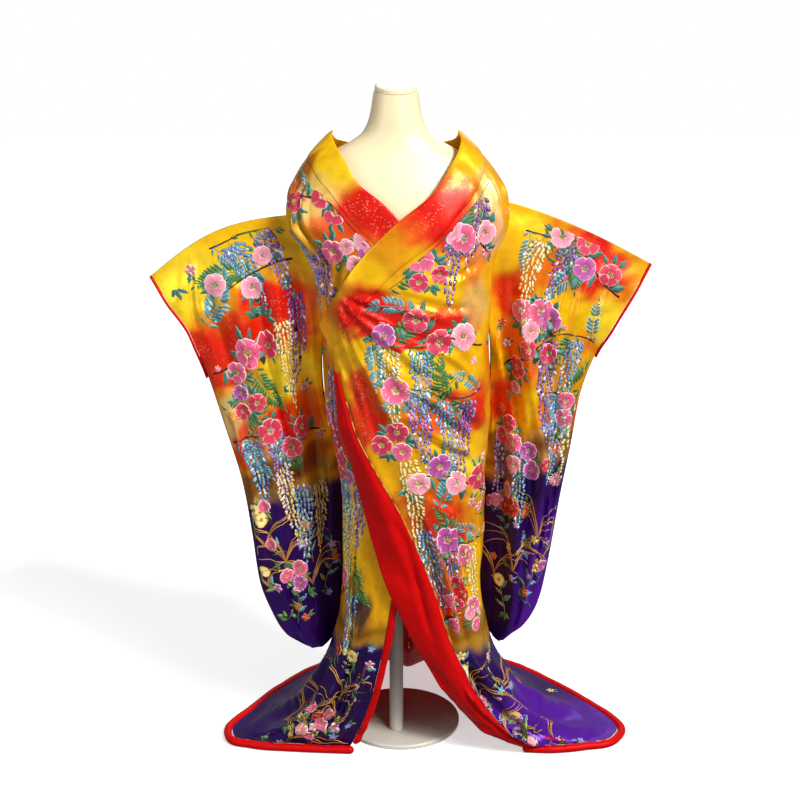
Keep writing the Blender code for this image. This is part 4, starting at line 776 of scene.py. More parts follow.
def sleeve_dye(across, down, key):
    x, y = across * ACROSS, down * DOWN
    base = np.broadcast_to(DYES["yellow"], across.shape + (3,)).copy()
    base = mixed(base, DYES["gold"], 0.5 + 0.5 * noise(x, y, 0.10, 31))
    colour, speckle = zoned(across, down, x, y, SLEEVE_ZONES[key], ACROSS, DOWN, base, np.zeros(across.shape))
    line = {"right_front": 0.585, "left_front": 0.610, "right_back": 0.600, "left_back": 0.605}[key]
    slope = {"right_front": -0.055, "left_front": -0.100}.get(key, 0.0)
    edge = line + slope * across + 0.022 * noise(x, y, 0.09, 32) + 0.008 * noise(x, y, 0.03, 33)
    colour = mixed(colour, DYES["brown"], 0.80 * np.exp(-(((down - edge + 0.034) / 0.032) ** 2)))
    deep = ease((down - edge + 0.016) / 0.062)
    # painted light: lit mixes violet, the lit copy of indigo, into the purple hem where light falls, most on the lower
    # outer part of the left sleeve's front, less on the other layers
    if key == "left_front":
        lit = ease((across - 0.42) / 0.35) * ease((down - 0.62) / 0.10) * 0.85
    elif key == "right_front":
        lit = 0.12 * ease((down - 0.85) / 0.15)
    else:
        lit = 0.35 * np.ones(across.shape)
    purple = mixed(np.broadcast_to(DYES["indigo"], colour.shape), DYES["violet"], np.clip(lit + 0.10 * noise(x, y, 0.09, 34), 0, 1))
    return mixed(colour, purple, deep), speckle * (1 - deep)


# ---------------------------------------------------------------- materials
def nodes_of(name):
    m = bpy.data.materials.new(name)
    m.use_nodes = True
    return m, m.node_tree, m.node_tree.nodes["Principled BSDF"]


def link(tree, a, b):
    tree.links.new(a, b)


def node(tree, kind, **values):
    n = tree.nodes.new(kind)
    for k, v in values.items():
        if k in n.inputs:
            n.inputs[k].default_value = v
        else:
            setattr(n, k, v)
    return n


def woven(tree, shader, period, strength, distance, crumple=0.0):
    """A bump of crossing threads, from the cloth's own flat coordinates in metres, with a slight rumple."""
    uv = node(tree, "ShaderNodeUVMap", uv_map="flat")
    warp = node(tree, "ShaderNodeTexWave", wave_type="BANDS", bands_direction="X", wave_profile="SIN")
    weft = node(tree, "ShaderNodeTexWave", wave_type="BANDS", bands_direction="Y", wave_profile="SIN")
    for n, scale in ((warp, 1.0), (weft, 1.35)):
        n.inputs["Scale"].default_value = 2 * math.pi / period / 20 * scale
        n.inputs["Distortion"].default_value = 0.6
        n.inputs["Detail"].default_value = 1.0
        link(tree, uv.outputs["UV"], n.inputs["Vector"])
    both = node(tree, "ShaderNodeMath", operation="MULTIPLY")
    link(tree, warp.outputs["Fac"], both.inputs[0])
    link(tree, weft.outputs["Fac"], both.inputs[1])
    fine = node(tree, "ShaderNodeBump", Strength=strength, Distance=distance)
    link(tree, both.outputs[0], fine.inputs["Height"])
    last = fine
    if crumple:
        n1 = node(tree, "ShaderNodeTexNoise", Scale=70.0, Detail=3.0, Roughness=0.55)
        link(tree, uv.outputs["UV"], n1.inputs["Vector"])
        soft = node(tree, "ShaderNodeBump", Strength=crumple, Distance=0.0016)
        link(tree, n1.outputs["Fac"], soft.inputs["Height"])
        link(tree, fine.outputs["Normal"], soft.inputs["Normal"])
        last = soft
    link(tree, last.outputs["Normal"], shader.inputs["Normal"])
    return uv


def silk_material():
    m, t, b = nodes_of("dyed_satin_silk")
    dye = node(t, "ShaderNodeAttribute", attribute_name="dye")
    mask = node(t, "ShaderNodeAttribute", attribute_name="speckle")
    uv = woven(t, b, 0.0011, 0.25, 0.00008, 0.30)
    # sprinkled pale dots on the red patches
    dots = node(t, "ShaderNodeTexVoronoi", Scale=210.0, Randomness=1.0)
    link(t, uv.outputs["UV"], dots.inputs["Vector"])
    keep = node(t, "ShaderNodeMapRange", interpolation_type="SMOOTHSTEP")
    for k, v in (("From Min", 0.30), ("From Max", 0.16), ("To Min", 0.0), ("To Max", 1.0)):
        keep.inputs[k].default_value = v
    link(t, dots.outputs["Distance"], keep.inputs["Value"])
    patch = node(t, "ShaderNodeTexNoise", Scale=16.0, Detail=2.0)
    link(t, uv.outputs["UV"], patch.inputs["Vector"])
    some = node(t, "ShaderNodeMapRange", interpolation_type="SMOOTHSTEP")
    for k, v in (("From Min", 0.44), ("From Max", 0.62), ("To Min", 0.0), ("To Max", 0.30)):
        some.inputs[k].default_value = v
    link(t, patch.outputs["Fac"], some.inputs["Value"])
    m1 = node(t, "ShaderNodeMath", operation="MULTIPLY")
    link(t, keep.outputs["Result"], m1.inputs[0])
    link(t, some.outputs["Result"], m1.inputs[1])
    m2 = node(t, "ShaderNodeMath", operation="MULTIPLY")
    link(t, m1.outputs[0], m2.inputs[0])
    link(t, mask.outputs["Fac"], m2.inputs[1])
    # the dye pools and thins a little
    wash = node(t, "ShaderNodeTexNoise", Scale=38.0, Detail=4.0, Roughness=0.6)
    link(t, uv.outputs["UV"], wash.inputs["Vector"])
    shade = node(t, "ShaderNodeMapRange")
    for k, v in (("From Min", 0.3), ("From Max", 0.7), ("To Min", 0.86), ("To Max", 1.10)):
        shade.inputs[k].default_value = v
    link(t, wash.outputs["Fac"], shade.inputs["Value"])
    washed = node(t, "ShaderNodeVectorMath", operation="SCALE")
    link(t, dye.outputs["Color"], washed.inputs["Vector"])
    link(t, shade.outputs["Result"], washed.inputs["Scale"])
    speck = node(t, "ShaderNodeMix", data_type="RGBA")
    link(t, m2.outputs[0], speck.inputs["Factor"])
    link(t, washed.outputs["Vector"], speck.inputs["A"])
    speck.inputs["B"].default_value = (*srgb(250, 226, 196), 1)
    link(t, speck.outputs["Result"], b.inputs["Base Color"])
    sheen = node(t, "ShaderNodeMapRange")
    for k, v in (("From Min", 0.3), ("From Max", 0.7), ("To Min", 0.27), ("To Max", 0.37)):
        sheen.inputs[k].default_value = v
    link(t, wash.outputs["Fac"], sheen.inputs["Value"])
    link(t, sheen.outputs["Result"], b.inputs["Roughness"])
    b.inputs["Metallic"].default_value = 0.32
    b.inputs["Specular IOR Level"].default_value = 0.30
    b.inputs["Sheen Weight"].default_value = 0.02
    b.inputs["Sheen Roughness"].default_value = 0.35
    return m


def lining_material():
    m, t, b = nodes_of("red_plain_silk")
    uv = woven(t, b, 0.0009, 0.40, 0.00010, 0.16)
    wash = node(t, "ShaderNodeTexNoise", Scale=26.0, Detail=4.0, Roughness=0.6)
    link(t, uv.outputs["UV"], wash.inputs["Vector"])
    ramp = node(t, "ShaderNodeMix", data_type="RGBA")
    link(t, wash.outputs["Fac"], ramp.inputs["Factor"])
    ramp.inputs["A"].default_value = (*srgb(180, 2, 4), 1)
    ramp.inputs["B"].default_value = (*srgb(214, 6, 6), 1)
    link(t, ramp.outputs["Result"], b.inputs["Base Color"])
    b.inputs["Roughness"].default_value = 0.46
    b.inputs["Metallic"].default_value = 0.12
    b.inputs["Specular IOR Level"].default_value = 0.12
    b.inputs["Sheen Weight"].default_value = 0.0
    b.inputs["Sheen Roughness"].default_value = 0.40
    return m


def thread_material(name, roughness, metallic=0.0):
    """Floss laid side by side: colours come with each stitch."""
    m, t, b = nodes_of(name)
    dye = node(t, "ShaderNodeAttribute", attribute_name="dye")
    place = node(t, "ShaderNodeTexCoord")
    floss = node(t, "ShaderNodeTexNoise", Scale=900.0, Detail=2.0, Roughness=0.6)
    link(t, place.outputs["Object"], floss.inputs["Vector"])
    shade = node(t, "ShaderNodeMapRange")
    for k, v in (("From Min", 0.3), ("From Max", 0.7), ("To Min", 0.82), ("To Max", 1.12)):
        shade.inputs[k].default_value = v
    link(t, floss.outputs["Fac"], shade.inputs["Value"])
    tint = node(t, "ShaderNodeVectorMath", operation="SCALE")
    link(t, dye.outputs["Color"], tint.inputs["Vector"])
    link(t, shade.outputs["Result"], tint.inputs["Scale"])
    link(t, tint.outputs["Vector"], b.inputs["Base Color"])
    bump = node(t, "ShaderNodeBump", Strength=0.35, Distance=0.0002)
    link(t, floss.outputs["Fac"], bump.inputs["Height"])
    link(t, bump.outputs["Normal"], b.inputs["Normal"])
    b.inputs["Roughness"].default_value = roughness
    b.inputs["Metallic"].default_value = metallic
    b.inputs["Specular IOR Level"].default_value = 0.35
    b.inputs["Sheen Weight"].default_value = 0.0
    return m


def shell_material(name, colour_a, colour_b, roughness, coat, metallic=0.0, scale=9.0):
    m, t, b = nodes_of(name)
    place = node(t, "ShaderNodeTexCoord")
    n1 = node(t, "ShaderNodeTexNoise", Scale=scale, Detail=5.0, Roughness=0.55)
    link(t, place.outputs["Object"], n1.inputs["Vector"])
    c = node(t, "ShaderNodeMix", data_type="RGBA")
    link(t, n1.outputs["Fac"], c.inputs["Factor"])
    c.inputs["A"].default_value = (*colour_a, 1)
    c.inputs["B"].default_value = (*colour_b, 1)
    link(t, c.outputs["Result"], b.inputs["Base Color"])
    n2 = node(t, "ShaderNodeTexNoise", Scale=420.0, Detail=2.0)
    link(t, place.outputs["Object"], n2.inputs["Vector"])
    bump = node(t, "ShaderNodeBump", Strength=0.08, Distance=0.0004)
    link(t, n2.outputs["Fac"], bump.inputs["Height"])
    link(t, bump.outputs["Normal"], b.inputs["Normal"])
    b.inputs["Roughness"].default_value = roughness
    b.inputs["Coat Weight"].default_value = coat
    b.inputs["Coat Roughness"].default_value = 0.25
    b.inputs["Metallic"].default_value = metallic
    return m


SILK, LINING = silk_material(), lining_material()
FLOSS, GOLD_THREAD = thread_material("silk_floss", 0.48), thread_material("gold_thread", 0.40, 0.35)
FORM_SHELL = shell_material("cream_form_shell", srgb(236, 214, 166), srgb(244, 228, 190), 0.42, 0.25)
FORM_CAP = shell_material("pale_neck_cap", srgb(238, 222, 184), srgb(246, 236, 208), 0.38, 0.20)
STAND = shell_material("painted_stand", srgb(198, 192, 180), srgb(212, 206, 194), 0.36, 0.15, 0.0, 14.0)


# ---------------------------------------------------------------- mesh making
def make_mesh(name, points, faces, mats, face_mat=None, dye=None, speckle=None, uv=None, sharp=42, corners=None):
    """One object from numpy arrays: faces is a list of (n, k) index arrays. It faces outwards."""
    faces = [np.asarray(f, np.int64).reshape(-1, f.shape[-1]) for f in faces if len(f)]
    total = 0.0
    for f in faces:
        p = points[f]
        for k in range(1, f.shape[1] - 1):
            total += np.einsum("ij,ij->i", p[:, 0], np.cross(p[:, k], p[:, k + 1])).sum()
    if total < 0:
        faces = [f[:, ::-1] for f in faces]
    me = bpy.data.meshes.new(name)
    loops = np.concatenate([f.reshape(-1) for f in faces])
    sizes = np.concatenate([np.full(len(f), f.shape[1]) for f in faces])
    starts = np.concatenate([[0], np.cumsum(sizes)[:-1]])
    me.vertices.add(len(points))
    me.vertices.foreach_set("co", np.ascontiguousarray(points, np.float32).ravel())
    me.loops.add(len(loops))
    me.loops.foreach_set("vertex_index", loops.astype(np.int32))
    me.polygons.add(len(sizes))
    me.polygons.foreach_set("loop_start", starts.astype(np.int32))
    for m in mats:
        me.materials.append(m)
    if face_mat is not None:
        me.polygons.foreach_set("material_index", np.asarray(face_mat, np.int32))
    me.update(calc_edges=True)
    me.validate()
    if dye is not None:
        a = me.color_attributes.new("dye", "FLOAT_COLOR", "POINT")
        rgba = np.ones((len(points), 4), np.float32)
        rgba[:, :3] = dye
        a.data.foreach_set("color", rgba.ravel())
    if speckle is not None:
        a = me.attributes.new("speckle", "FLOAT", "POINT")
        a.data.foreach_set("value", np.asarray(speckle, np.float32))
    if uv is not None:
        layer = me.uv_layers.new(name="flat")
        index = np.zeros(len(me.loops), np.int32)
        me.loops.foreach_get("vertex_index", index)
        layer.data.foreach_set("uv", np.asarray(uv, np.float32)[index].ravel())
    me.shade_smooth()
    if sharp:
        me.set_sharp_from_angle(angle=math.radians(sharp))
    o = bpy.data.objects.new(name, me)
    bpy.context.scene.collection.objects.link(o)
    return o


def quads_of(rows, columns, start=0, wrap=False):
    r, c = np.meshgrid(np.arange(rows if wrap else rows - 1), np.arange(columns - 1), indexing="ij")
    r2 = (r + 1) % rows
    return np.stack([start + r * columns + c, start + r * columns + c + 1, start + r2 * columns + c + 1, start + r2 * columns + c], -1).reshape(-1, 4)


def grid_normals(p, towards):
    """Unit normals of a grid of points, on the side that towards points to."""
    n = unit(np.cross(np.gradient(p, axis=1), np.gradient(p, axis=0)))
    return n * np.where(np.sum(n * towards, -1, keepdims=True) < 0, -1.0, 1.0)


def shell(name, points, normals, quads, thick, mats, dye, speckle, uv, out=0.0, extra=None):
    """A closed thin wall from a sheet of quads: printed outside, lined inside, with rims along free edges."""
    n = len(points)
    e = np.concatenate([quads[:, [0, 1]], quads[:, [1, 2]], quads[:, [2, 3]], quads[:, [3, 0]]])
    key = np.sort(e, 1)
    _, first, count = np.unique(key[:, 0] * n + key[:, 1], return_index=True, return_counts=True)
    b = e[first[count == 1]]
    # the rim runs through a middle row of points, halfway between the two faces
    rim_of = np.unique(b)
    new = {int(v): 2 * n + k for k, v in enumerate(rim_of)}
    look = np.zeros(n, np.int64)
    for v, k in new.items():
        look[v] = k
    middle = points[rim_of] + normals[rim_of] * (out - thick) / 2
    rims = np.concatenate([np.stack([b[:, 1], b[:, 0], look[b[:, 0]], look[b[:, 1]]], 1),
                           np.stack([look[b[:, 1]], look[b[:, 0]], b[:, 0] + n, b[:, 1] + n], 1)])
    every = np.concatenate([points + normals * out, points - normals * thick, middle])
    face_mat = np.concatenate([np.zeros(len(quads)), np.ones(len(quads) + len(rims))]).astype(int) * (len(mats) > 1)
    fold = lambda a: np.concatenate([a, a, a[rim_of]])
    return make_mesh(name, every, [np.concatenate([quads, quads[:, ::-1] + n, rims])], mats, face_mat,
                     fold(dye) if dye is not None else None, fold(speckle) if speckle is not None else None, fold(uv))


def roll(name, centres, rights, ups, mat, sides, closed=False, taper=0, dye=None):
    """A padded roll along a line, its ends rounded off. rights and ups are radius vectors."""
    n = len(centres)
    if taper and not closed:
        start, end = unit(centres[0] - centres[1]), unit(centres[-1] - centres[-2])
        size = np.linalg.norm(rights, axis=-1)
        ts = np.linspace(math.pi / 2 * 0.93, 0, taper + 1)[:-1]
        head = [(centres[0] + start * size[0] * math.sin(t), math.cos(t)) for t in ts]
        tail = [(centres[-1] + end * size[-1] * math.sin(t), math.cos(t)) for t in ts[::-1]]
        centres = np.concatenate([[h[0] for h in head], centres, [h[0] for h in tail]])
        rights = np.concatenate([[rights[0] * h[1] for h in head], rights, [rights[-1] * h[1] for h in tail]])
        ups = np.concatenate([[ups[0] * h[1] for h in head], ups, [ups[-1] * h[1] for h in tail]])
        n = len(centres)
    a = np.linspace(0, 2 * math.pi, sides, endpoint=False)
    pts = centres[:, None] + rights[:, None] * np.cos(a)[None, :, None] + ups[:, None] * np.sin(a)[None, :, None]
    i, k = np.meshgrid(np.arange(n if closed else n - 1), np.arange(sides), indexing="ij")
    i2, k2 = (i + 1) % n, (k + 1) % sides
    quads = np.stack([i * sides + k, i * sides + k2, i2 * sides + k2, i2 * sides + k], -1).reshape(-1, 4)
    pts = pts.reshape(-1, 3)
    gone = np.concatenate([[0], np.cumsum(np.linalg.norm(np.diff(centres, axis=0), axis=1))])
    radius = float(np.linalg.norm(rights, axis=-1).mean())
    uv = np.stack([np.tile(a * radius, n), np.repeat(gone, sides)], -1)
    faces = [quads]
    if not closed:
        first, last = len(pts), len(pts) + 1
        pts = np.concatenate([pts, [centres[0]], [centres[-1]]])
        uv = np.concatenate([uv, [[0, 0]], [[0, gone[-1]]]])
        k = np.arange(sides)
        faces.append(np.concatenate([np.stack([np.full(sides, first), (k + 1) % sides, k], 1),
                                     np.stack([np.full(sides, last), (n - 1) * sides + k, (n - 1) * sides + (k + 1) % sides], 1)]))
    colour = None if dye is None else np.broadcast_to(dye, pts.shape) if np.ndim(dye) == 1 else dye(pts)
    return make_mesh(name, pts, faces, [mat], dye=colour, uv=uv, sharp=0)


def on_frame(piece, slot, *nodes):
    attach(piece, "root")
    if nodes:
        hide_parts(*nodes)
    return piece




# ================================================================ the cloth pieces
SKIRT_ROWS, COLUMN_ROWS, YOKE_ROWS = 84, 140, 48


class Cloth:
    """A grid of fine cloth points with its directions, and where its own coordinates fall on the grid."""

    def __init__(self, points, normals, u, v, su, sv, up_sign, limits=(0, 0, 0, 0)):
        self.p, self.n, self.u, self.v, self.su, self.sv, self.up_sign = points, normals, u, v, su, sv, up_sign
        self.er, self.ec = np.gradient(points, axis=0), np.gradient(points, axis=1)
        rows, columns = points.shape[:2]
        self.low = np.array([limits[0], limits[1]], float)
        self.high = np.array([rows - 1.001 - limits[2], columns - 1.001 - limits[3]], float)
        self.t = self.turns()

    def spot(self, u, v):
        """Row and column of a place; u runs along the columns, v along the rows."""
        row = self.u[self.u.shape[0] // 2]
        k = np.arange(len(row))
        c = np.interp(u, row, k) if row[0] < row[-1] else np.interp(u, row[::-1], k[::-1])
        column = self.v[:, int(round(c))]
        k = np.arange(len(column))
        r = np.interp(v, column, k) if column[0] < column[-1] else np.interp(v, column[::-1], k[::-1])
        return np.array([r, c])

    def turns(self):
        """At every grid point, the matrix that takes (right, up) metres to (rows, columns)."""
        er, ec, n = self.er, self.ec, self.n
        up = er * self.up_sign
        up = unit(up - n * (up * n).sum(-1, keepdims=True))
        right = np.cross(up, n)
        a = np.stack([np.stack([(er * right).sum(-1), (ec * right).sum(-1)], -1), np.stack([(er * up).sum(-1), (ec * up).sum(-1)], -1)], -2)
        det = a[..., 0, 0] * a[..., 1, 1] - a[..., 0, 1] * a[..., 1, 0]
        det = np.where(np.abs(det) < 1e-8, 1e-8, det)
        inv = np.stack([np.stack([a[..., 1, 1], -a[..., 0, 1]], -1), np.stack([-a[..., 1, 0], a[..., 0, 0]], -1)], -2) / det[..., None, None]
        return np.clip(inv, -900, 900)

    def turn(self, rc):
        i, j = int(round(min(max(rc[0], self.low[0]), self.high[0]))), int(round(min(max(rc[1], self.low[1]), self.high[1])))
        return self.t[i, j]

    def laid(self, rc, flat, steps=3):
        """Rows and columns of (right, up) offsets from a place, laid along the cloth."""
        out = np.repeat(np.asarray(rc, float)[None], len(flat), 0)
        move = (flat / steps)[:, :, None]
        for _ in range(steps):
            k = np.clip(np.rint(out), self.low, self.high).astype(int)
            out = out + (self.t[k[:, 0], k[:, 1]] @ move)[:, :, 0]
        return out

    def walk(self, rc, steps):
        """Rows and columns along a line of (right, up) steps in metres."""
        out, at = [], np.array(rc, float)
        for s in steps:
            at = np.clip(at + self.turn(at) @ s, self.low, self.high)
            out.append(at)
        return np.array(out)

    def at(self, rc):
        rc = np.clip(rc, self.low, self.high)
        i, j = rc[:, 0].astype(int), rc[:, 1].astype(int)
        fi, fj = (rc[:, 0] - i)[:, None], (rc[:, 1] - j)[:, None]

        def mix(g):
            return (g[i, j] * (1 - fi) * (1 - fj) + g[i + 1, j] * fi * (1 - fj) + g[i, j + 1] * (1 - fi) * fj + g[i + 1, j + 1] * fi * fj)

        return mix(self.p), unit(mix(self.n))


def fine_panel(shares, lean_low=None, lean_high=None):
    """Points, outward directions, shares and levels of a fine panel: rows from the hem up, columns by share."""
    n = len(shares)
    pts, nor, level = [], [], []
    fades = (np.linspace(1, 0, n), np.linspace(0, 1, n))

    def lean(turn, z):
        for which, fade in ((lean_low, fades[0]), (lean_high, fades[1])):
            if which:
                turn = turn + side_turn(z, which) * fade**2
        return turn

    d, s = np.meshgrid(np.linspace(1, 0, SKIRT_ROWS + 1)[:-1], shares, indexing="ij")
    p, nn = skirt(s, d)
    pts.append(p), nor.append(nn), level.append(KNEE_Z - DROP * d)
    z, s = np.meshgrid(np.linspace(KNEE_Z, YOKE_Z, COLUMN_ROWS), shares, indexing="ij")
    t = lean(turn_of(s, z), z)
    pts.append(body(t, z)), nor.append(body_normal(t, z)), level.append(z)
    base = turn_of(shares, np.full(n, YOKE_Z))
    top = through(SEAM, base, 1)
    up = np.linspace(0, 1, YOKE_ROWS + 1)[1:, None]
    z = YOKE_Z + (top - YOKE_Z)[None] * up
    t = lean(np.broadcast_to(base, z.shape), z)
    pts.append(body(t, z)), nor.append(body_normal(t, z)), level.append(z)
    p, nn, level = (np.concatenate(a) for a in (pts, nor, level))
    share = np.broadcast_to(shares, level.shape)
    p = p + nn * body_relief(share, level)[..., None]
    # the neighbouring rows at the hem are kept on it
    return p, grid_normals(p, nn), share, level


def seam_gap(p, column, sign):
    p[:, column] += unit(p[:, column + sign] - p[:, column]) * GAP * 0.10


def sheet_data(grids):
    """One list of points, directions, dye, speckle and flat coordinates from grids of (p, n, share, level)."""
    p = np.concatenate([g[0].reshape(-1, 3) for g in grids])
    n = np.concatenate([g[1].reshape(-1, 3) for g in grids])
    s = np.concatenate([g[2].reshape(-1) for g in grids])
    v = np.concatenate([g[3].reshape(-1) for g in grids])
    dye, speckle = body_dye(s, v)
    return p, n, dye, speckle, np.stack([s * AROUND, v], -1)


fr = np.linspace(OKUMI_R, SIDE_R, 48)
br = np.linspace(SIDE_R, BACK, 52)
bl = np.linspace(BACK, SIDE_L, 52)
fl = np.linspace(SIDE_L, OKUMI_L, 54)
okr = np.linspace(0.0, OKUMI_R, 30)
okl = np.linspace(OKUMI_L, 1.0, 40)
front_r, back_r = fine_panel(fr, lean_high=-1), fine_panel(br, lean_low=+1)
back_l, front_l = fine_panel(bl, lean_high=-1), fine_panel(fl, lean_low=+1)
lap_r, lap_l = fine_panel(okr), fine_panel(okl)


def joined(a, b, limits=(2, 2, 2, 2)):
    """Two neighbouring grids as one cloth for the needlework, over the sewn seam."""
    p = np.concatenate([a[0], b[0][:, 1:]], 1)
    n = np.concatenate([a[1], b[1][:, 1:]], 1)
    u = np.concatenate([a[2], b[2][:, 1:]], 1)
    v = np.concatenate([a[3], b[3][:, 1:]], 1)
    return Cloth(p, n, u, v, AROUND, 1.0, 1, limits)


OVER_FRONT = joined(front_l, lap_l)
UNDER_FRONT = joined(lap_r, front_r)
BACK_CLOTH = joined(back_r, back_l)


def body_piece(name, front, back, front_first):
    """Front and back of one body length in one piece over the shoulder: slit at the armhole, sewn below it."""
    pf, nf, sf, vf = (a.copy() for a in front)
    pb, nb, sb, vb = (a.copy() for a in back)
    fc, bc = (pf.shape[1] - 1, 0) if front_first else (0, pb.shape[1] - 1)
    rows = len(pf)
    first = int(np.argmax((vf[:, fc] >= SLIT_TOP - 0.004) & (np.arange(rows) > SKIRT_ROWS + 5)))
    keep_f, keep_b = pf[first:, fc].copy(), pb[first:, bc].copy()
    seam_gap(pf, fc, -1 if front_first else 1), seam_gap(pb, bc, 1 if front_first else -1)
    pf[first:, fc] = (keep_f + keep_b) / 2
    if front_first:
        seam_gap(pf, 0, 1), seam_gap(pb, pb.shape[1] - 1, -1)
    else:
        seam_gap(pf, pf.shape[1] - 1, -1), seam_gap(pb, 0, 1)
    nf[first:, fc] = unit(nf[first:, fc] + nb[first:, bc])
    p, n, dye, speckle, uv = sheet_data([(pf, nf, sf, vf), (pb, nb, sb, vb)])
    shift = pf.shape[0] * pf.shape[1]
    quads = np.concatenate([quads_of(rows, pf.shape[1]), quads_of(rows, pb.shape[1], shift)])
    same = np.arange(len(p))
    r = np.arange(first, rows)
    same[shift + r * pb.shape[1] + bc] = r * pf.shape[1] + fc
    quads = same[quads]
    used, back_to = np.unique(quads, return_inverse=True)
    quads = back_to.reshape(-1, 4)
    return shell(name, p[used], n[used], quads[:, ::-1], CLOTH, [SILK, LINING], dye[used], speckle[used], uv[used])


def lap_piece(name, lap, seam_last):
    p, n, s, v = (a.copy() for a in lap)
    seam_gap(p, p.shape[1] - 1 if seam_last else 0, -1 if seam_last else 1)
    q = sheet_data([(p, n, s, v)])
    return shell(name, q[0], q[1], quads_of(*p.shape[:2])[:, ::-1], CLOTH, [SILK, LINING], *q[2:])


robe = {}
robe["body_right"] = on_frame(body_piece("silk_body_right", front_r, back_r, True), "printed_silk", "body_right")
robe["body_left"] = on_frame(body_piece("silk_body_left", front_l, back_l, False), "printed_silk", "body_left")
robe["okumi_right"] = on_frame(lap_piece("silk_overlap_right", lap_r, True), "printed_silk", "okumi_right")
robe["okumi_left"] = on_frame(lap_piece("silk_overlap_left", lap_l, False), "printed_silk", "okumi_left")


# ---------------------------------------------------------------- collar
def share_at_yoke(turn):
    u, o = float(through(EDGES, YOKE_Z, 1)), float(through(EDGES, YOKE_Z, 2))
    return np.where(turn < 90, SIDE_R * (turn - u) / (90 - u),
                    np.where(turn <= 270, SIDE_R + (SIDE_L - SIDE_R) * (turn - 90) / 180, SIDE_L + (1 - SIDE_L) * (turn - 270) / (o - 270)))


COVER_ENDS = (27.0, 346.0)      # the turns where the outer collar cover is sewn across the band
PUFF = 0.0008                   # how much fuller the padded band is in its middle


def collar_piece():
    stations = turn_of(np.concatenate([okr, fr[1:], br[1:], bl[1:], fl[1:], okl[1:]]), YOKE_Z)
    seam_z = through(SEAM, stations, 1)
    edge_t, edge_z = through(COLLAR_EDGE, stations, 1), through(COLLAR_EDGE, stations, 2)
    w = np.concatenate([np.linspace(0, 0.04, 3)[:-1], np.linspace(0.04, 0.95, 15)[:-1], np.linspace(0.95, 1, 4)])[:, None]
    t = stations + (edge_t - stations) * w
    z = seam_z + (edge_z - seam_z) * w
    p, n0 = body(t, z), body_normal(t, z)
    share = share_at_yoke(t)
    p[0] += unit(p[1] - p[0]) * GAP * 1.3
    raise_by = body_relief(share, z)
    cover = ease((stations - COVER_ENDS[0]) / 0.7) * ease((COVER_ENDS[1] - stations) / 0.7)
    p = p + n0 * raise_by[..., None]
    n = grid_normals(p, n0)
    round_off = np.sqrt(np.clip(1 - np.abs(2 * w - 1) ** 9, 0.0, 1))
    middle = (COLLAR_OUT - COLLAR_IN) / 2
    half = (COLLAR_OUT + COLLAR_IN) / 2
    puff = PUFF * np.sin(math.pi * w) * (0.6 + 0.4 * noise(stations * 0.0029, w * 0.06, 0.05, 41))
    front = middle + half * round_off + puff + 0.0006 * cover * round_off - 0.0005 * np.exp(-((w - 0.035) / 0.02) ** 2)
    inner = middle - half * round_off
    outer_pts = p + n * front[..., None]
    inner_pts = p + n * inner[..., None]
    rows, columns = p.shape[:2]
    ring = np.concatenate([outer_pts, inner_pts[::-1][1:-1]])          # round the band: out, over the edge, back inside
    ring_w = np.concatenate([w[:, 0], w[::-1][1:-1, 0]])
    total = len(ring)
    quads = quads_of(total, columns, 0, wrap=True)
    pts = ring.reshape(-1, 3)
    s = np.concatenate([share, share[::-1][1:-1]]).reshape(-1)
    lv = np.concatenate([z, z[::-1][1:-1]]).reshape(-1)
    dye, speckle = body_dye(s, lv)
    uv = np.stack([s * AROUND, lv], -1)
    caps = []
    for c, flip in ((0, False), (columns - 1, True)):
        loop = np.arange(total) * columns + c
        for k in range(rows - 1):
            a, b = loop[k], loop[k + 1]
            x, y = loop[(total - k) % total], loop[total - k - 1]
            q = [a, b, y, x]
            if k == 0:
                q = [loop[0], loop[1], loop[total - 1], loop[total - 1]]
            if k == rows - 2:
                q = [loop[rows - 2], loop[rows - 1], loop[rows], loop[rows]]
            caps.append(q[::-1] if flip else q)
    quads = quads[:, ::-1]
    caps = np.array(caps)
    tri = caps[caps[:, 2] == caps[:, 3]][:, :3] if len(caps) else caps
    rest = caps[(caps[:, 2] != caps[:, 3]) & (caps[:, 0] != caps[:, 1])]
    tri2 = caps[caps[:, 0] == caps[:, 1]][:, 1:]
    o = make_mesh("silk_collar", pts, [np.concatenate([quads, rest]), np.concatenate([tri, tri2])], [SILK], None, dye, speckle, uv)
    # the needlework's grid has its rows from the seam to the edge
    cloth = Cloth(outer_pts, n, share, z, AROUND, 1.0, 1, (1, 2, 2, 2))
    return o, cloth


robe["collar"], COLLAR_CLOTH = collar_piece()
on_frame(robe["collar"], "printed_silk", "collar")


# ---------------------------------------------------------------- sleeves
SLEEVE_ROWS, SLEEVE_COLUMNS = 176, 64


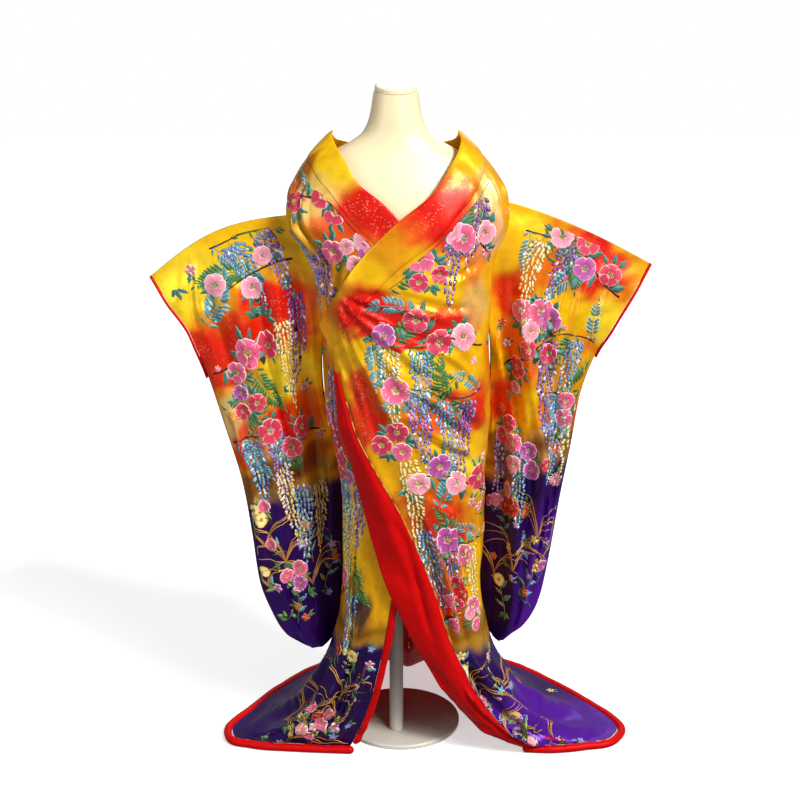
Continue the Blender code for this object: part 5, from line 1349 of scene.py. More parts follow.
def sleeve_piece(side, name, rows, folds, bulge):
    """A sleeve bag of two layers, joined at the top fold, the bottom and the outer edge below the cuff; open at the body."""
    downs = np.unique(np.concatenate([np.linspace(0, 0.02, 5), np.linspace(0.02, 0.965, SLEEVE_ROWS - 12), np.linspace(0.965, 1, 9), [CUFF_SHARE]]))
    acr = np.unique(np.concatenate([np.linspace(0, 0.94, SLEEVE_COLUMNS - 10), np.linspace(0.94, 1, 8)]))
    cuff = int(np.argmin(abs(downs - CUFF_SHARE)))
    nd, na = len(downs), len(acr)

    def skin(inside):
        d = downs * (1 - 0.0052) + 0.0026 if inside else downs
        A, D = np.meshgrid(acr, d)
        if inside:
            A = A.copy()
            A[cuff + 1:, -1] -= 0.010 / 1.6
        m = sleeve_middle(rows, folds, bulge, A, D)
        g = sleeve_space(rows, A, D)
        fade = ease(D / 0.045) * ease((1 - D) / 0.05) * (1 - 0.93 * ease((A - 0.88) / 0.10) * ease((D - CUFF_SHARE + 0.05) / 0.05))
        fade = fade * (1 - 0.55 * ease((A - 0.93) / 0.07)) * (1 - 0.70 * ease((0.05 - A) / 0.05))
        u, v = A * ACROSS, D * DOWN
        out = []
        for key, sign, seed in ((side + "_front", -1, 51), (side + "_back", 1, 57)):
            c = creased(A, D, SLEEVE_CREASES[key], ACROSS, DOWN)
            c = c * 1.70 + 0.0030 * noise(u + 0.4 * v, v * 0.6, 0.080, seed) + 0.0019 * noise(u + 0.5 * v, v * 0.8, 0.036, seed + 1) + 0.0005 * noise(u, v, 0.017, seed + 2)
            c = np.maximum(c * fade, -(g - 0.0045) * 0.85)
            gg = g + c - (CLOTH if inside else 0)
            q = m.copy()
            q[..., 1] += sign * gg
            out.append(q)
        return out

    outer_f, outer_b = skin(False)
    inner_f, inner_b = skin(True)
    size = nd * na
    # vertex blocks: outer front, outer back, inner front, inner back, then rounding rows
    pts = np.concatenate([a.reshape(-1, 3) for a in (outer_f, outer_b, inner_f, inner_b)])
    of, ob, nf, nb = (np.arange(size).reshape(nd, na) + k * size for k in range(4))
    extra, quads = [], []

    def more(a):
        start = len(pts) + sum(len(e) for e in extra)
        extra.append(a)
        return np.arange(start, start + len(a))

    # soft outer turns of the cloth at the top, the bottom and the sewn edge
    top = more((outer_f[0] + outer_b[0]) / 2 + np.array([0, 0, 0.0016]))
    low = more((outer_f[-1] + outer_b[-1]) / 2 - np.array([0, 0, 0.0016]))
    out = unit(outer_f[cuff:, -1] - outer_f[cuff:, -4])
    edge = more((outer_f[cuff:, -1] + outer_b[cuff:, -1]) / 2 + out * 0.0016)
    c = slice(0, na - 1)
    c1 = slice(1, na)

    def strip(a, b):
        """Quads between two lines of vertices of one length."""
        return np.stack([a[:-1], a[1:], b[1:], b[:-1]], -1)

    def field(block, flip):
        q = np.stack([block[:-1, c], block[:-1, c1], block[1:, c1], block[1:, c]], -1).reshape(-1, 4)
        return q[:, ::-1] if flip else q

    silk = [field(of, False), field(ob, True), strip(ob[0], top), strip(top, of[0]), strip(of[-1], low), strip(low, ob[-1]),
            strip(edge, of[cuff:, -1]), strip(ob[cuff:, -1], edge)]
    red = [field(nf, True), field(nb, False), strip(nf[0], nb[0]), strip(nb[-1], nf[-1]),
           strip(nf[:, 0], of[:, 0]), strip(ob[:, 0], nb[:, 0]),
           strip(of[:cuff + 1, -1], nf[:cuff + 1, -1]), strip(nb[:cuff + 1, -1], ob[:cuff + 1, -1]),
           strip(nf[cuff:, -1], nb[cuff:, -1])]
    tris = [(of[0, 0], nf[0, 0], top[0]), (nf[0, 0], nb[0, 0], top[0]), (nb[0, 0], ob[0, 0], top[0]),
            (nf[0, -1], of[0, -1], top[-1]), (nb[0, -1], nf[0, -1], top[-1]), (ob[0, -1], nb[0, -1], top[-1]),
            (nf[-1, 0], of[-1, 0], low[0]), (nb[-1, 0], nf[-1, 0], low[0]), (ob[-1, 0], nb[-1, 0], low[0]),
            (of[cuff, -1], nf[cuff, -1], edge[0]), (nf[cuff, -1], nb[cuff, -1], edge[0]), (nb[cuff, -1], ob[cuff, -1], edge[0]),
            (of[-1, -1], edge[-1], low[-1]), (edge[-1], ob[-1, -1], low[-1])]
    pts = np.concatenate([pts] + extra)
    A, D = np.meshgrid(acr, downs)
    dyes, specks = {}, {}
    for k in ("front", "back"):
        dyes[k], specks[k] = sleeve_dye(A, D, side + "_" + k)
    dye = [dyes["front"].reshape(-1, 3), dyes["back"].reshape(-1, 3)] * 2
    speckle = [specks["front"].reshape(-1), specks["back"].reshape(-1)] * 2
    dye += [(dyes["front"][0] + dyes["back"][0]) / 2, (dyes["front"][-1] + dyes["back"][-1]) / 2, (dyes["front"][cuff:, -1] + dyes["back"][cuff:, -1]) / 2]
    speckle += [specks["front"][0], specks["front"][-1], specks["front"][cuff:, -1]]
    flat = np.stack([A * ACROSS, D * DOWN], -1).reshape(-1, 2)
    uv = [flat, flat + (1, 0)] * 2 + [np.stack([acr * ACROSS, acr * 0], -1), np.stack([acr * ACROSS, acr * 0 + DOWN], -1),
                                     np.stack([downs[cuff:] * 0 + ACROSS, downs[cuff:] * DOWN], -1)]
    silk, red = np.concatenate(silk), np.concatenate(red)
    # quads first, triangles after them; all the triangles are rim
    o = make_mesh(name, pts, [np.concatenate([silk, red]), np.array(tris)], [SILK, LINING],
                  np.concatenate([np.zeros(len(silk)), np.ones(len(red) + len(tris))]), np.concatenate(dye), np.concatenate(speckle), np.concatenate(uv))
    n_f = grid_normals(outer_f, np.array([0, -1.0, 0]))
    n_b = grid_normals(outer_b, np.array([0, 1.0, 0]))
    sign = -1
    cloths = (Cloth(outer_f, n_f, A, D, ACROSS, DOWN, sign, (3, 2, 3, 5)), Cloth(outer_b, n_b, A, D, ACROSS, DOWN, sign, (3, 2, 3, 5)))
    return o, cloths


robe["sleeve_right"], (SLEEVE_RF, SLEEVE_RB) = sleeve_piece("right", "silk_sleeve_right", SLEEVE_R, FOLDS_R, TOP_BULGE_R)
robe["sleeve_left"], (SLEEVE_LF, SLEEVE_LB) = sleeve_piece("left", "silk_sleeve_left", SLEEVE_L, FOLDS_L, TOP_BULGE_L)
on_frame(robe["sleeve_right"], "printed_silk", "sleeve_right")
on_frame(robe["sleeve_left"], "printed_silk", "sleeve_left")


def cuff_piece(side, rows, folds, bulge):
    """The red roll round a cuff opening: down the front layer, round its foot, and up the back layer."""
    downs = np.concatenate([np.linspace(0, 0.03, 6)[:-1], np.linspace(0.03, CUFF_SHARE, 40)])
    k = len(downs)
    m = sleeve_middle(rows, folds, bulge, np.ones(k), downs)
    g = (sleeve_space(rows, np.ones(k), downs) - CLOTH / 2)[:, None] * np.array([0, 1.0, 0])
    ring = np.concatenate([m - g, (m + g)[::-1]])
    out = unit(m - sleeve_middle(rows, folds, bulge, np.full(k, 0.9), downs))
    out = np.concatenate([out, out[::-1]])
    centre = ring + out * (CUFF_ROLL + GAP + 0.0005)
    around = unit(np.roll(centre, -1, 0) - np.roll(centre, 1, 0))
    out = unit(out - around * np.sum(out * around, -1, keepdims=True))
    across = np.cross(around, out)
    size = CUFF_ROLL * (1 + 0.10 * noise(np.arange(2 * k) * 0.01, 0.0, 0.06, 61))[:, None]
    return roll("red_cuff_roll_" + side, centre, out * size, across * size, LINING, 12, closed=True)


for side, rows, folds, bulge in (("right", SLEEVE_R, FOLDS_R, TOP_BULGE_R), ("left", SLEEVE_L, FOLDS_L, TOP_BULGE_L)):
    robe["cuff_" + side] = on_frame(cuff_piece(side, rows, folds, bulge), "red_lining_silk", "cuff_roll_" + side)


# ---------------------------------------------------------------- hem roll, edge roll, turned-back edge
def hem_piece():
    s = np.concatenate([np.linspace(0, 0.22, 90)[:-1], np.linspace(0.22, 0.30, 60)[:-1], np.linspace(0.30, 0.73, 170)[:-1],
                        np.linspace(0.73, 0.80, 60)[:-1], np.linspace(0.80, 1.0, 90)])
    out = hem_out(s)
    up = np.zeros_like(out)
    up[:, 2] = 1
    swell = 1 + 0.050 * noise(s * 1.8, 0 * s, 0.045, 71) + 0.030 * noise(s * 1.8, 0 * s, 0.017, 72)
    r = 0.00935 * swell
    centre = hem(s) + out * (HEM_ROLL + GAP + 0.0012 + 0.0008 * noise(s * 1.8, 0 * s, 0.11, 73))[:, None]
    centre[:, 2] = r * 0.985
    return roll("red_hem_roll", centre, out * r[:, None], up * (r * 0.985)[:, None], LINING, 24, taper=5)


robe["hem"] = on_frame(hem_piece(), "red_lining_silk", "hem_roll")


def edge_piece():
    zr, dr = np.linspace(0.640, 0.446, 34), np.linspace(0.0, 0.955, 90)
    p, n = edge_points(0.0, zr, dr)
    q, _ = edge_points(0.010, zr, dr)
    out = unit(p - q)
    lv = np.concatenate([zr, KNEE_Z - DROP * dr])
    half = np.interp(-lv, [-0.640, -0.560, -0.440, -0.25, 0.31], [0.0034, 0.0056, 0.0074, 0.0085, 0.0085])[:, None]
    half = half * (1 + 0.07 * noise(lv, 0 * lv, 0.05, 75))[:, None]
    p = p + n * body_relief(np.zeros(len(lv)), lv)[:, None]
    centre = p + out * (half + GAP * 1.6) - n * CLOTH / 2
    return roll("red_edge_roll", centre, out * half, n * 0.0031, LINING, 18, taper=4)


robe["edge"] = on_frame(edge_piece(), "red_lining_silk", "edge_roll_right")


def lapel():
    """The over front's edge turned back on itself: a strip of the red lining with a soft fold at its left, and its silk edge."""
    zr, dr = np.linspace(0.930, KNEE_Z, 84), np.linspace(0.0, 0.965, 84)[1:]
    across = np.concatenate([np.linspace(0, 0.10, 4)[:-1], np.linspace(0.10, 0.94, 18)[:-1], np.linspace(0.94, 1, 4)])
    top, under, wrap, normals, levels, widths = [], [], [], [], [], []
    for kind, v in [("z", z) for z in zr] + [("d", d) for d in dr]:
        if kind == "z":
            a, b = body(turn_of(1.0, v), v), body(turn_of(0.95, v), v)
        else:
            a, b = skirt(np.array(1.0), np.array(v))[0], skirt(np.array(0.95), np.array(v))[0]
        per = np.linalg.norm(a - b) / 0.05
        width = float(through(TURN_BACK, max(a[2], 0.0145), 1))
        s = 1.0 - across * width / per - 0.0002 / per
        lv = v if kind == "z" else KNEE_Z - DROP * v
        if kind == "z":
            t = turn_of(s, v)
            p, n = body(t, np.full(len(s), v)), body_normal(t, np.full(len(s), v))
        else:
            p, n = skirt(s, np.full(len(s), v))
        p = p + n * (body_relief(s, np.full(len(s), lv)) * 0.85)[:, None]
        lift = 0.0028 + 0.0045 * np.sin(math.pi * np.minimum(across, 0.5)) * min(1.0, width / 0.05)
        lift = lift * (1 - 0.55 * ease((across - 0.80) / 0.2))
        lift = lift + 0.0010 * noise(across * width, lv * 0.35, 0.035, 81) * np.sin(math.pi * across) * min(1.0, width / 0.05)
        lift = np.maximum(lift, 0.0010)
        away = unit(p[0] - p[1])
        r = (lift[0] + 2 * CLOTH + 0.0006) / 2
        mid = p[0] + n[0] * (lift[0] + CLOTH - r)
        # the fold goes round the panel's edge and a little way behind it
        angles = np.linspace(0, math.pi, 9)[1:]
        round_top = [mid + n[0] * r * math.cos(a) + away * r * math.sin(a) for a in angles]
        behind = p[1] - n[1] * (CLOTH + 0.0006 + CLOTH * 0.5)
        sheet_top = p + n * (lift + CLOTH)[:, None]
        line = np.concatenate([sheet_top[::-1], round_top, [behind]])     # free edge, fold, behind
        r2 = r - CLOTH * 0.62
        inner_round = [mid + n[0] * r2 * math.cos(a) + away * r2 * math.sin(a) for a in angles]
        line_in = np.concatenate([(p + n * (lift + CLOTH * 0.30)[:, None])[::-1], inner_round, [p[1] - n[1] * (CLOTH + 0.0006)]])
        top.append(line), under.append(line_in), levels.append(lv), widths.append(width)
    top, under = np.array(top), np.array(under)
    rows, columns = top.shape[:2]
    size = rows * columns
    pts = np.concatenate([top.reshape(-1, 3), under.reshape(-1, 3)])
    q = quads_of(rows, columns)
    a, b = np.arange(rows) * columns, np.arange(rows) * columns + columns - 1
    c, d = np.arange(columns), np.arange(columns) + (rows - 1) * columns
    side = lambda x, y: np.stack([x[:-1], x[1:], y[1:], y[:-1]], -1)
    quads = np.concatenate([q, q[:, ::-1] + size, side(a, a + size)[:, ::1], side(b + size, b), side(c + size, c), side(d, d + size)])
    lengths = np.concatenate([np.zeros((rows, 1)), np.cumsum(np.linalg.norm(np.diff(top, axis=1), axis=-1), 1)], 1)
    uv = np.stack([lengths, np.broadcast_to(np.array(levels)[:, None], lengths.shape)], -1).reshape(-1, 2)
    o = make_mesh("red_turned_back_edge", pts, [quads], [LINING], uv=np.concatenate([uv, uv]))
    # the silk's own edge shows as a thin cord of gold and night blue along the free side
    line = top[:, 0] * 0.5 + under[:, 0] * 0.5
    keep = slice(10, rows)
    line, inward = line[keep], unit(top[keep, 0] - top[keep, 2])
    along = unit(np.gradient(line, axis=0))
    up = unit(np.cross(along, inward))
    size = 0.00125 * (1 + 0.10 * noise(np.arange(len(line)) * 0.006, np.zeros(len(line)), 0.03, 83))[:, None]
    centre = line + inward * 0.0014

    def piping_dye(p):
        v = 0.5 + 0.5 * noise(p[:, 2], p[:, 0], 0.009, 84)
        w = ease((v - 0.35) / 0.3)
        low = ease((0.34 - p[:, 2]) / 0.10)
        bright = mixed(np.broadcast_to(srgb(214, 168, 70), p.shape), srgb(120, 140, 190), low)
        dark = mixed(np.broadcast_to(srgb(120, 60, 20), p.shape), DYES["night"], low)
        return mixed(dark, bright, w)

    cord = roll("silk_edge_piping", centre, inward * size, up * size, FLOSS, 10, taper=2, dye=piping_dye)
    return o, cord


robe["lapel"], robe["piping"] = lapel()
on_frame(robe["lapel"], "red_lining_silk", "lining_turned_back")
on_frame(robe["piping"], "printed_silk")


# ---------------------------------------------------------------- dress form
def form_pieces():
    heights = np.unique(np.concatenate([np.linspace(FORM[0][0], FORM[2][0], 16), np.linspace(FORM[2][0], FORM[-1][0], 120)]))
    a, f, b = (through(FORM, heights, k)[:, None] for k in (1, 2, 3))
    t = np.linspace(0, 2 * math.pi, 96, endpoint=False)[None]
    deep = b + (f - b) * ease((np.cos(t) + 0.35) / 0.70)
    x, y = np.sin(t) * a, -np.cos(t) * deep
    z = heights[:, None] + y * math.tan(CAP_TILT) * np.clip((heights[:, None] - 1.43) / (1.4985 - 1.43), 0, None)
    pts = np.stack([x, y, np.broadcast_to(z, x.shape)], -1)
    rows, sides = x.shape
    i, k = np.meshgrid(np.arange(rows - 1), np.arange(sides), indexing="ij")
    k2 = (k + 1) % sides
    quads = np.stack([i * sides + k, i * sides + k2, (i + 1) * sides + k2, (i + 1) * sides + k], -1).reshape(-1, 4)
    flat = pts.reshape(-1, 3)
    n = len(flat)
    flat = np.concatenate([flat, [pts[0].mean(0)], [pts[-1].mean(0)]])
    k = np.arange(sides)
    tris = np.concatenate([np.stack([np.full(sides, n), (k + 1) % sides, k], 1), np.stack([np.full(sides, n + 1), (rows - 1) * sides + k, (rows - 1) * sides + (k + 1) % sides], 1)])
    torso = make_mesh("form_body", flat, [quads, tris], [FORM_SHELL], sharp=50)

    def turned(name, profile, mat, sides, place, tilt=0.0):
        r, h = np.array(profile).T
        t = np.linspace(0, 2 * math.pi, sides, endpoint=False)
        p = np.stack([r[:, None] * np.cos(t), r[:, None] * np.sin(t), np.broadcast_to(h[:, None], (len(r), sides))], -1)
        y, z = p[..., 1] * math.cos(tilt) - p[..., 2] * math.sin(tilt), p[..., 1] * math.sin(tilt) + p[..., 2] * math.cos(tilt)
        p = np.stack([p[..., 0], y, z], -1) + np.array(place)
        i, k = np.meshgrid(np.arange(len(r) - 1), np.arange(sides), indexing="ij")
        k2 = (k + 1) % sides
        quads = np.stack([i * sides + k, i * sides + k2, (i + 1) * sides + k2, (i + 1) * sides + k], -1).reshape(-1, 4)
        flat = p.reshape(-1, 3)
        n = len(flat)
        flat = np.concatenate([flat, [p[0].mean(0)], [p[-1].mean(0)]])
        k = np.arange(sides)
        tris = np.concatenate([np.stack([np.full(sides, n), (k + 1) % sides, k], 1), np.stack([np.full(sides, n + 1), (len(r) - 1) * sides + k, (len(r) - 1) * sides + (k + 1) % sides], 1)])
        return make_mesh(name, flat, [quads, tris], [mat], sharp=35)

    turn = [(math.cos(a), math.sin(a)) for a in np.linspace(0, math.pi / 2, 7)]
    R, H = CAP_RADIUS, CAP_HIGH / 2
    cap = turned("form_cap", [(R - 0.0020, -H)] + [(R - 0.0010 + 0.0010 * s, -H + 0.0010 - 0.0010 * c) for c, s in turn]
                 + [(R - 0.0040 + 0.0040 * c, H - 0.0040 + 0.0040 * s) for c, s in turn] + [(R - 0.014, H + 0.0004)],
                 FORM_CAP, 72, (0.0, -0.0008, CAP_Z - 0.0074), CAP_TILT)
    pole = turned("stand_pole", [(POLE_R, BASE_HIGH + GAP), (POLE_R, 0.30), (POLE_R, 0.742 - GAP)], STAND, 48, (*POLE_XY, 0))
    foot = turned("stand_foot", [(BASE_R - 0.0010, 0.0), (BASE_R, 0.0010)] + [(BASE_R - 0.0050 + 0.0050 * c, BASE_HIGH - 0.0050 + 0.0040 * s) for c, s in turn]
                  + [(BASE_R - 0.030, BASE_HIGH - 0.0004), (0.045, BASE_HIGH)], STAND, 96, (*BASE_XY, 0))
    return torso, cap, pole, foot


for piece, slot, cad in zip(form_pieces(), ("cream_form_shell", "cream_form_shell", "painted_stand", "painted_stand"),
                            ("form_torso", "form_neck_cap", "form_pole", "form_base")):
    on_frame(piece, slot, cad)


# ================================================================ needlework: raised flowers, leaves and stems
SUNK = -0.00022         # each stitch area's border goes this far into the cloth

THREADS = {
    # heart, tip, rim
    "pink": (srgb(188, 26, 78), srgb(230, 112, 150), srgb(252, 226, 220)),
    "rose": (srgb(164, 14, 48), srgb(216, 60, 88), srgb(250, 208, 198)),
    "blush": (srgb(206, 78, 118), srgb(240, 172, 186), srgb(255, 240, 228)),
    "plum": (srgb(134, 26, 104), srgb(192, 92, 166), srgb(244, 214, 232)),
    "scarlet": (srgb(120, 6, 14), srgb(200, 28, 24), srgb(240, 150, 96)),
    "apricot": (srgb(206, 72, 20), srgb(240, 150, 44), srgb(252, 224, 150)),
    "streak": (srgb(120, 10, 50), srgb(190, 50, 96), srgb(170, 30, 76)),
    "lilac": (srgb(232, 214, 240), srgb(140, 84, 182), srgb(98, 46, 142)),
    "violet": (srgb(190, 150, 216), srgb(92, 34, 140), srgb(58, 16, 104)),
    "turquoise": (srgb(206, 240, 240), srgb(26, 152, 192), srgb(8, 104, 146)),
    "blue": (srgb(196, 218, 244), srgb(52, 90, 184), srgb(34, 56, 140)),
    "butter": (srgb(252, 244, 196), srgb(236, 200, 80), srgb(182, 134, 24)),
    "cream": (srgb(255, 250, 222), srgb(250, 232, 150), srgb(206, 168, 60)),
    "white": (srgb(250, 246, 238), srgb(244, 238, 230), srgb(206, 196, 196)),
    "teal": (srgb(6, 62, 62), srgb(16, 104, 96), srgb(112, 178, 150)),
    "green": (srgb(10, 60, 26), srgb(34, 100, 42), srgb(128, 170, 92)),
    "moss": (srgb(58, 78, 26), srgb(104, 126, 50), srgb(190, 196, 120)),
    "bluegreen": (srgb(10, 66, 84), srgb(56, 140, 156), srgb(170, 212, 206)),
    "bark": (srgb(66, 30, 16), srgb(84, 44, 22), srgb(40, 18, 10)),
    "gold": (srgb(206, 146, 58), srgb(232, 178, 92), srgb(168, 108, 36)),
    "heart": (srgb(250, 226, 90), srgb(236, 190, 60), srgb(196, 130, 30)),
}


def blade_form(stations, widest=0.5, point=1.0):
    """A leaf-shaped area one long and one wide either side: its points, heights, faces and shares across and along."""
    t = np.linspace(0, 1, stations + 2)[1:-1]
    w = (t / widest) ** 0.8 * (t < widest) + ((1 - t) / (1 - widest)) ** point * (t >= widest)
    w = np.clip(w, 0, 1) ** 0.8
    xs, ys = [0.0], [0.0]
    for a, b in zip(t, w):
        xs += [-b, 0.0, b]
        ys += [a, a, a]
    xs.append(0.0), ys.append(1.0)
    n = len(xs)
    h = np.zeros(n)
    h[2:-1:3] = 0.6 + 0.4 * w
    across = (h > 0).astype(float)
    tri = [(0, 2, 1), (0, 3, 2), (0, 1, 3)]
    quad = []
    for k in range(stations - 1):
        a = 1 + 3 * k
        quad += [(a, a + 1, a + 4, a + 3), (a + 1, a + 2, a + 5, a + 4), (a + 2, a, a + 3, a + 5)]
    a = 1 + 3 * (stations - 1)
    tri += [(a, a + 1, n - 1), (a + 1, a + 2, n - 1), (a + 2, a, n - 1)]
    return np.array([xs, ys]).T, h, np.array(quad, int).reshape(-1, 4), np.array(tri, int), across, np.array(ys)


def petal_form(wide=0.50, notch=0.10):
    """A rounded petal with a notched tip and a pale outline, from the flower's centre outwards."""
    t = np.array([0.06, 0.30, 0.60, 0.86, 0.93, 1.0])
    s = np.array([-1.0, -0.90, -0.74, 0.0, 0.74, 0.90, 1.0])
    T, S = np.meshgrid(t, s, indexing="ij")
    W = wide * np.sin(np.clip(T, 0, 1) ** 0.95 * math.pi * 0.70 + 0.10) ** 0.85
    x = S * W
    y = T * (1 - 0.24 * T * S**2) - notch * np.exp(-((S / 0.22) ** 2)) * T**6
    rows, cols = T.shape
    inside = np.zeros(T.shape, bool)
    inside[1:-1, 1:-1] = True
    h = np.where(inside, 0.75 + 0.25 * np.sin(math.pi * T) - 0.10 * (S == 0), 0.0)
    across = np.where(inside, 1.0, 0.0)
    across[-2, :] = across[:, 1] = across[:, -2] = 0.12
    across = np.where(inside, across, 0.0)
    across[1, 1:-1] = np.maximum(across[1, 1:-1], 0.9)
    index = np.arange(T.size).reshape(T.shape)
    under = index.copy()
    under[inside] = T.size + np.arange(inside.sum())
    q = quads_of(rows, cols)
    quad = np.concatenate([q[:, ::-1], under.reshape(-1)[q]])
    ab = np.stack([x, y], -1).reshape(-1, 2)
    ab = np.concatenate([ab, ab[inside.reshape(-1)]])
    h = np.concatenate([h.reshape(-1), np.full(inside.sum(), -1.0)])
    along = np.concatenate([T.reshape(-1), T[inside]])
    across = np.concatenate([across.reshape(-1), across[inside]])
    return ab, h, quad, np.zeros((0, 3), int), across, along


def button_form(sides=8):
    a = np.linspace(0, 2 * math.pi, sides, endpoint=False)
    ab = np.concatenate([np.stack([np.cos(a), np.sin(a)], -1), [[0, 0]]])
    tri = [(k, (k + 1) % sides, sides) for k in range(sides)] + [(0, k + 1, k) for k in range(1, sides - 1)]
    h = np.zeros(sides + 1)
    h[-1] = 1
    return ab, h, np.zeros((0, 4), int), np.array(tri, int), h.copy(), h.copy()


MATES = {"violet": "lilac", "lilac": "violet", "turquoise": "blue", "butter": "cream"}
LINE, FLORET, LEAFLET, LEAF, RAY = blade_form(1, 0.62), blade_form(2, 0.62), blade_form(2, 0.45), blade_form(4, 0.42), blade_form(2, 0.70)
PETAL, SMALL_PETAL, BUTTON = petal_form(), blade_form(3, 0.62), button_form()


class Needlework:
    def __init__(self, cloth, seed):
        self.cloth, self.rng, self.count = cloth, np.random.default_rng(seed), 0
        self.rc, self.h, self.colour, self.quads, self.tris, self.size = [], [], [], [], [], 0
        self.taken = []

    def raw(self, rc, h, colour, quads, tris):
        self.rc.append(np.clip(rc, self.cloth.low, self.cloth.high)), self.h.append(h), self.colour.append(colour)
        self.quads.append(quads + self.size), self.tris.append(tris + self.size)
        self.size += len(rc)

    def put(self, rc, form, wide, long, angle=0.0, shift=(0.0, 0.0), height=0.0007, thread="pink", shade=1.0):
        """One stitched area at a place: angle 0 points up, and grows to the viewer's left."""
        ab, h, quads, tris, across, along = form
        x, y = ab[:, 0] * wide, ab[:, 1] * long
        ca, sa = math.cos(angle), math.sin(angle)
        flat = np.stack([x * ca - y * sa + shift[0], x * sa + y * ca + shift[1]], -1)
        there = self.cloth.laid(rc, flat, 3 if long > 0.02 else 2)
        past = np.abs(there - np.clip(there, self.cloth.low, self.cloth.high)).sum(axis=1) > 1e-9
        if past.mean() > 0.30:
            return
        heart, tip, rim = THREADS[thread]
        c = heart + (tip - heart) * np.clip(along, 0, 1)[:, None] ** 0.8
        c = rim + (c - rim) * across[:, None]
        self.count += 1
        lift = (self.count % 9) * 0.00004
        self.raw(there, np.where(h > 0, h * height + lift, np.where(h < 0, SUNK * 2.0, SUNK)), c * shade, quads, tris)

    def ribbon(self, path, widths, height, thread, shade=1.0):
        """A raised line of stitches along grid places."""
        path = np.asarray(path)
        n = len(path)
        if n < 3:
            return
        heart, tip, rim = THREADS[thread]
        d = np.gradient(path, axis=0)
        rc, h, c = [], [], []
        for k in range(n):
            m = self.cloth.turn(path[k])
            flat = np.linalg.solve(m, d[k])
            flat = flat / max(np.linalg.norm(flat), 1e-9)
            side = m @ np.array([-flat[1], flat[0]]) * widths[k]
            rc += [path[k] + side, path[k], path[k] - side]
            h += [SUNK, height, SUNK]
            t = k / (n - 1)
            c += [rim * shade, (heart + (tip - heart) * t) * shade, rim * shade]
        quad = []
        for k in range(n - 1):
            a = 3 * k
            quad += [(a, a + 1, a + 4, a + 3), (a + 1, a + 2, a + 5, a + 4), (a + 2, a, a + 3, a + 5)]
        a = 3 * (n - 1)
        self.raw(np.array(rc), np.array(h), np.array(c), np.array(quad), np.array([(0, 2, 1), (a, a + 1, a + 2)]))

    def line(self, rc, length, angle, bend=0.0, wander=0.0, step=0.008):
        """Grid places along a line that bends evenly, and the direction at each."""
        n = max(3, int(length / step))
        angles = angle + bend * np.linspace(0, 1, n) + wander * np.cumsum(self.rng.normal(0, 1, n)) / math.sqrt(n)
        steps = np.stack([-np.sin(angles), np.cos(angles)], -1) * (length / n)
        return np.vstack([[rc], self.cloth.walk(rc, steps)]), np.concatenate([angles[:1], angles])

    # ------------------------------------------------ motifs
    def blossom(self, rc, size, thread="pink", angle=None, petals=5):
        rng = self.rng
        angle = rng.uniform(0, 2 * math.pi) if angle is None else angle
        small = size < 0.0165
        for k in range(petals):
            a = angle + 2 * math.pi * k / petals + rng.normal(0, 0.04)
            wide = size * rng.uniform(0.96, 1.05)
            self.put(rc, SMALL_PETAL if small else PETAL, wide * (0.52 if small else 1.0), size * rng.uniform(0.94, 1.04), a, height=0.0011 if small else 0.0015,
                     thread=thread, shade=rng.uniform(0.92, 1.06))
            if not small:
                for turn in (-0.16, 0.17):
                    self.put(rc, LINE, size * 0.035, size * rng.uniform(0.50, 0.72), a + turn, height=0.0018, thread="streak")
        for k in range(5 if small else 8):
            a = angle + 2 * math.pi * (k + 0.5) / (5 if small else 8) + rng.normal(0, 0.08)
            self.put(rc, LINE, size * 0.038, size * rng.uniform(0.30, 0.42), a, height=0.0020, thread="heart")
        self.put(rc, BUTTON, size * 0.14, size * 0.14, 0.0, height=0.0022, thread="moss" if not small else "heart")
        self.taken.append((rc, size))

    def bud(self, rc, size, angle, thread="pink"):
        for k in (-0.35, 0.0, 0.35):
            self.put(rc, LEAF, size * 0.26, size * (1.0 - 0.2 * abs(k)), angle + k, height=0.0009, thread=thread)
        self.put(rc, LEAFLET, size * 0.16, size * 0.45, angle + 0.15, height=0.0010, thread="teal")

    def kiku(self, rc, size, thread="apricot", rays=16):
        for ring, (scale, turn) in enumerate(((1.0, 0.0), (0.66, 0.5))):
            for k in range(rays - 4 * ring):
                a = 2 * math.pi * (k + turn) / (rays - 4 * ring)
                self.put(rc, RAY, size * 0.125 * (1 - 0.2 * ring), size * scale, a, height=0.0009 + 0.0004 * ring, thread=thread, shade=self.rng.uniform(0.92, 1.06))
        self.put(rc, BUTTON, size * 0.17, size * 0.17, height=0.0018, thread="heart")
        self.taken.append((rc, size))

    def bell(self, rc, size, thread="blue"):
        angle = self.rng.uniform(0, 1.2)
        for k in range(5):
            self.put(rc, LEAF, size * 0.36, size, angle + 2 * math.pi * k / 5, height=0.0008, thread=thread)
        self.put(rc, BUTTON, size * 0.14, size * 0.14, height=0.0014, thread="butter")
        self.taken.append((rc, size))

    def leaf(self, rc, size, angle, thread="teal", slim=0.30, out=0.0):
        """A leaf with its rib, which starts a little way out from the place when it belongs to a flower there."""
        shift = (-math.sin(angle) * out, math.cos(angle) * out)
        self.put(rc, LEAF, size * slim, size, angle, shift, height=0.0007, thread=thread, shade=self.rng.uniform(0.85, 1.12))
        self.put(rc, LINE, size * 0.030, size * 0.90, angle, shift, height=0.0010, thread="butter", shade=0.60)

    def leaves(self, rc, size, angle, thread="teal", n=3, out=0.0):
        for k in range(n):
            a = angle + (k - (n - 1) / 2) * (0.85 if out == 0 else 0.62) + self.rng.normal(0, 0.10)
            self.leaf(rc, size * self.rng.uniform(1.05, 1.45), a, thread, 0.32, out)

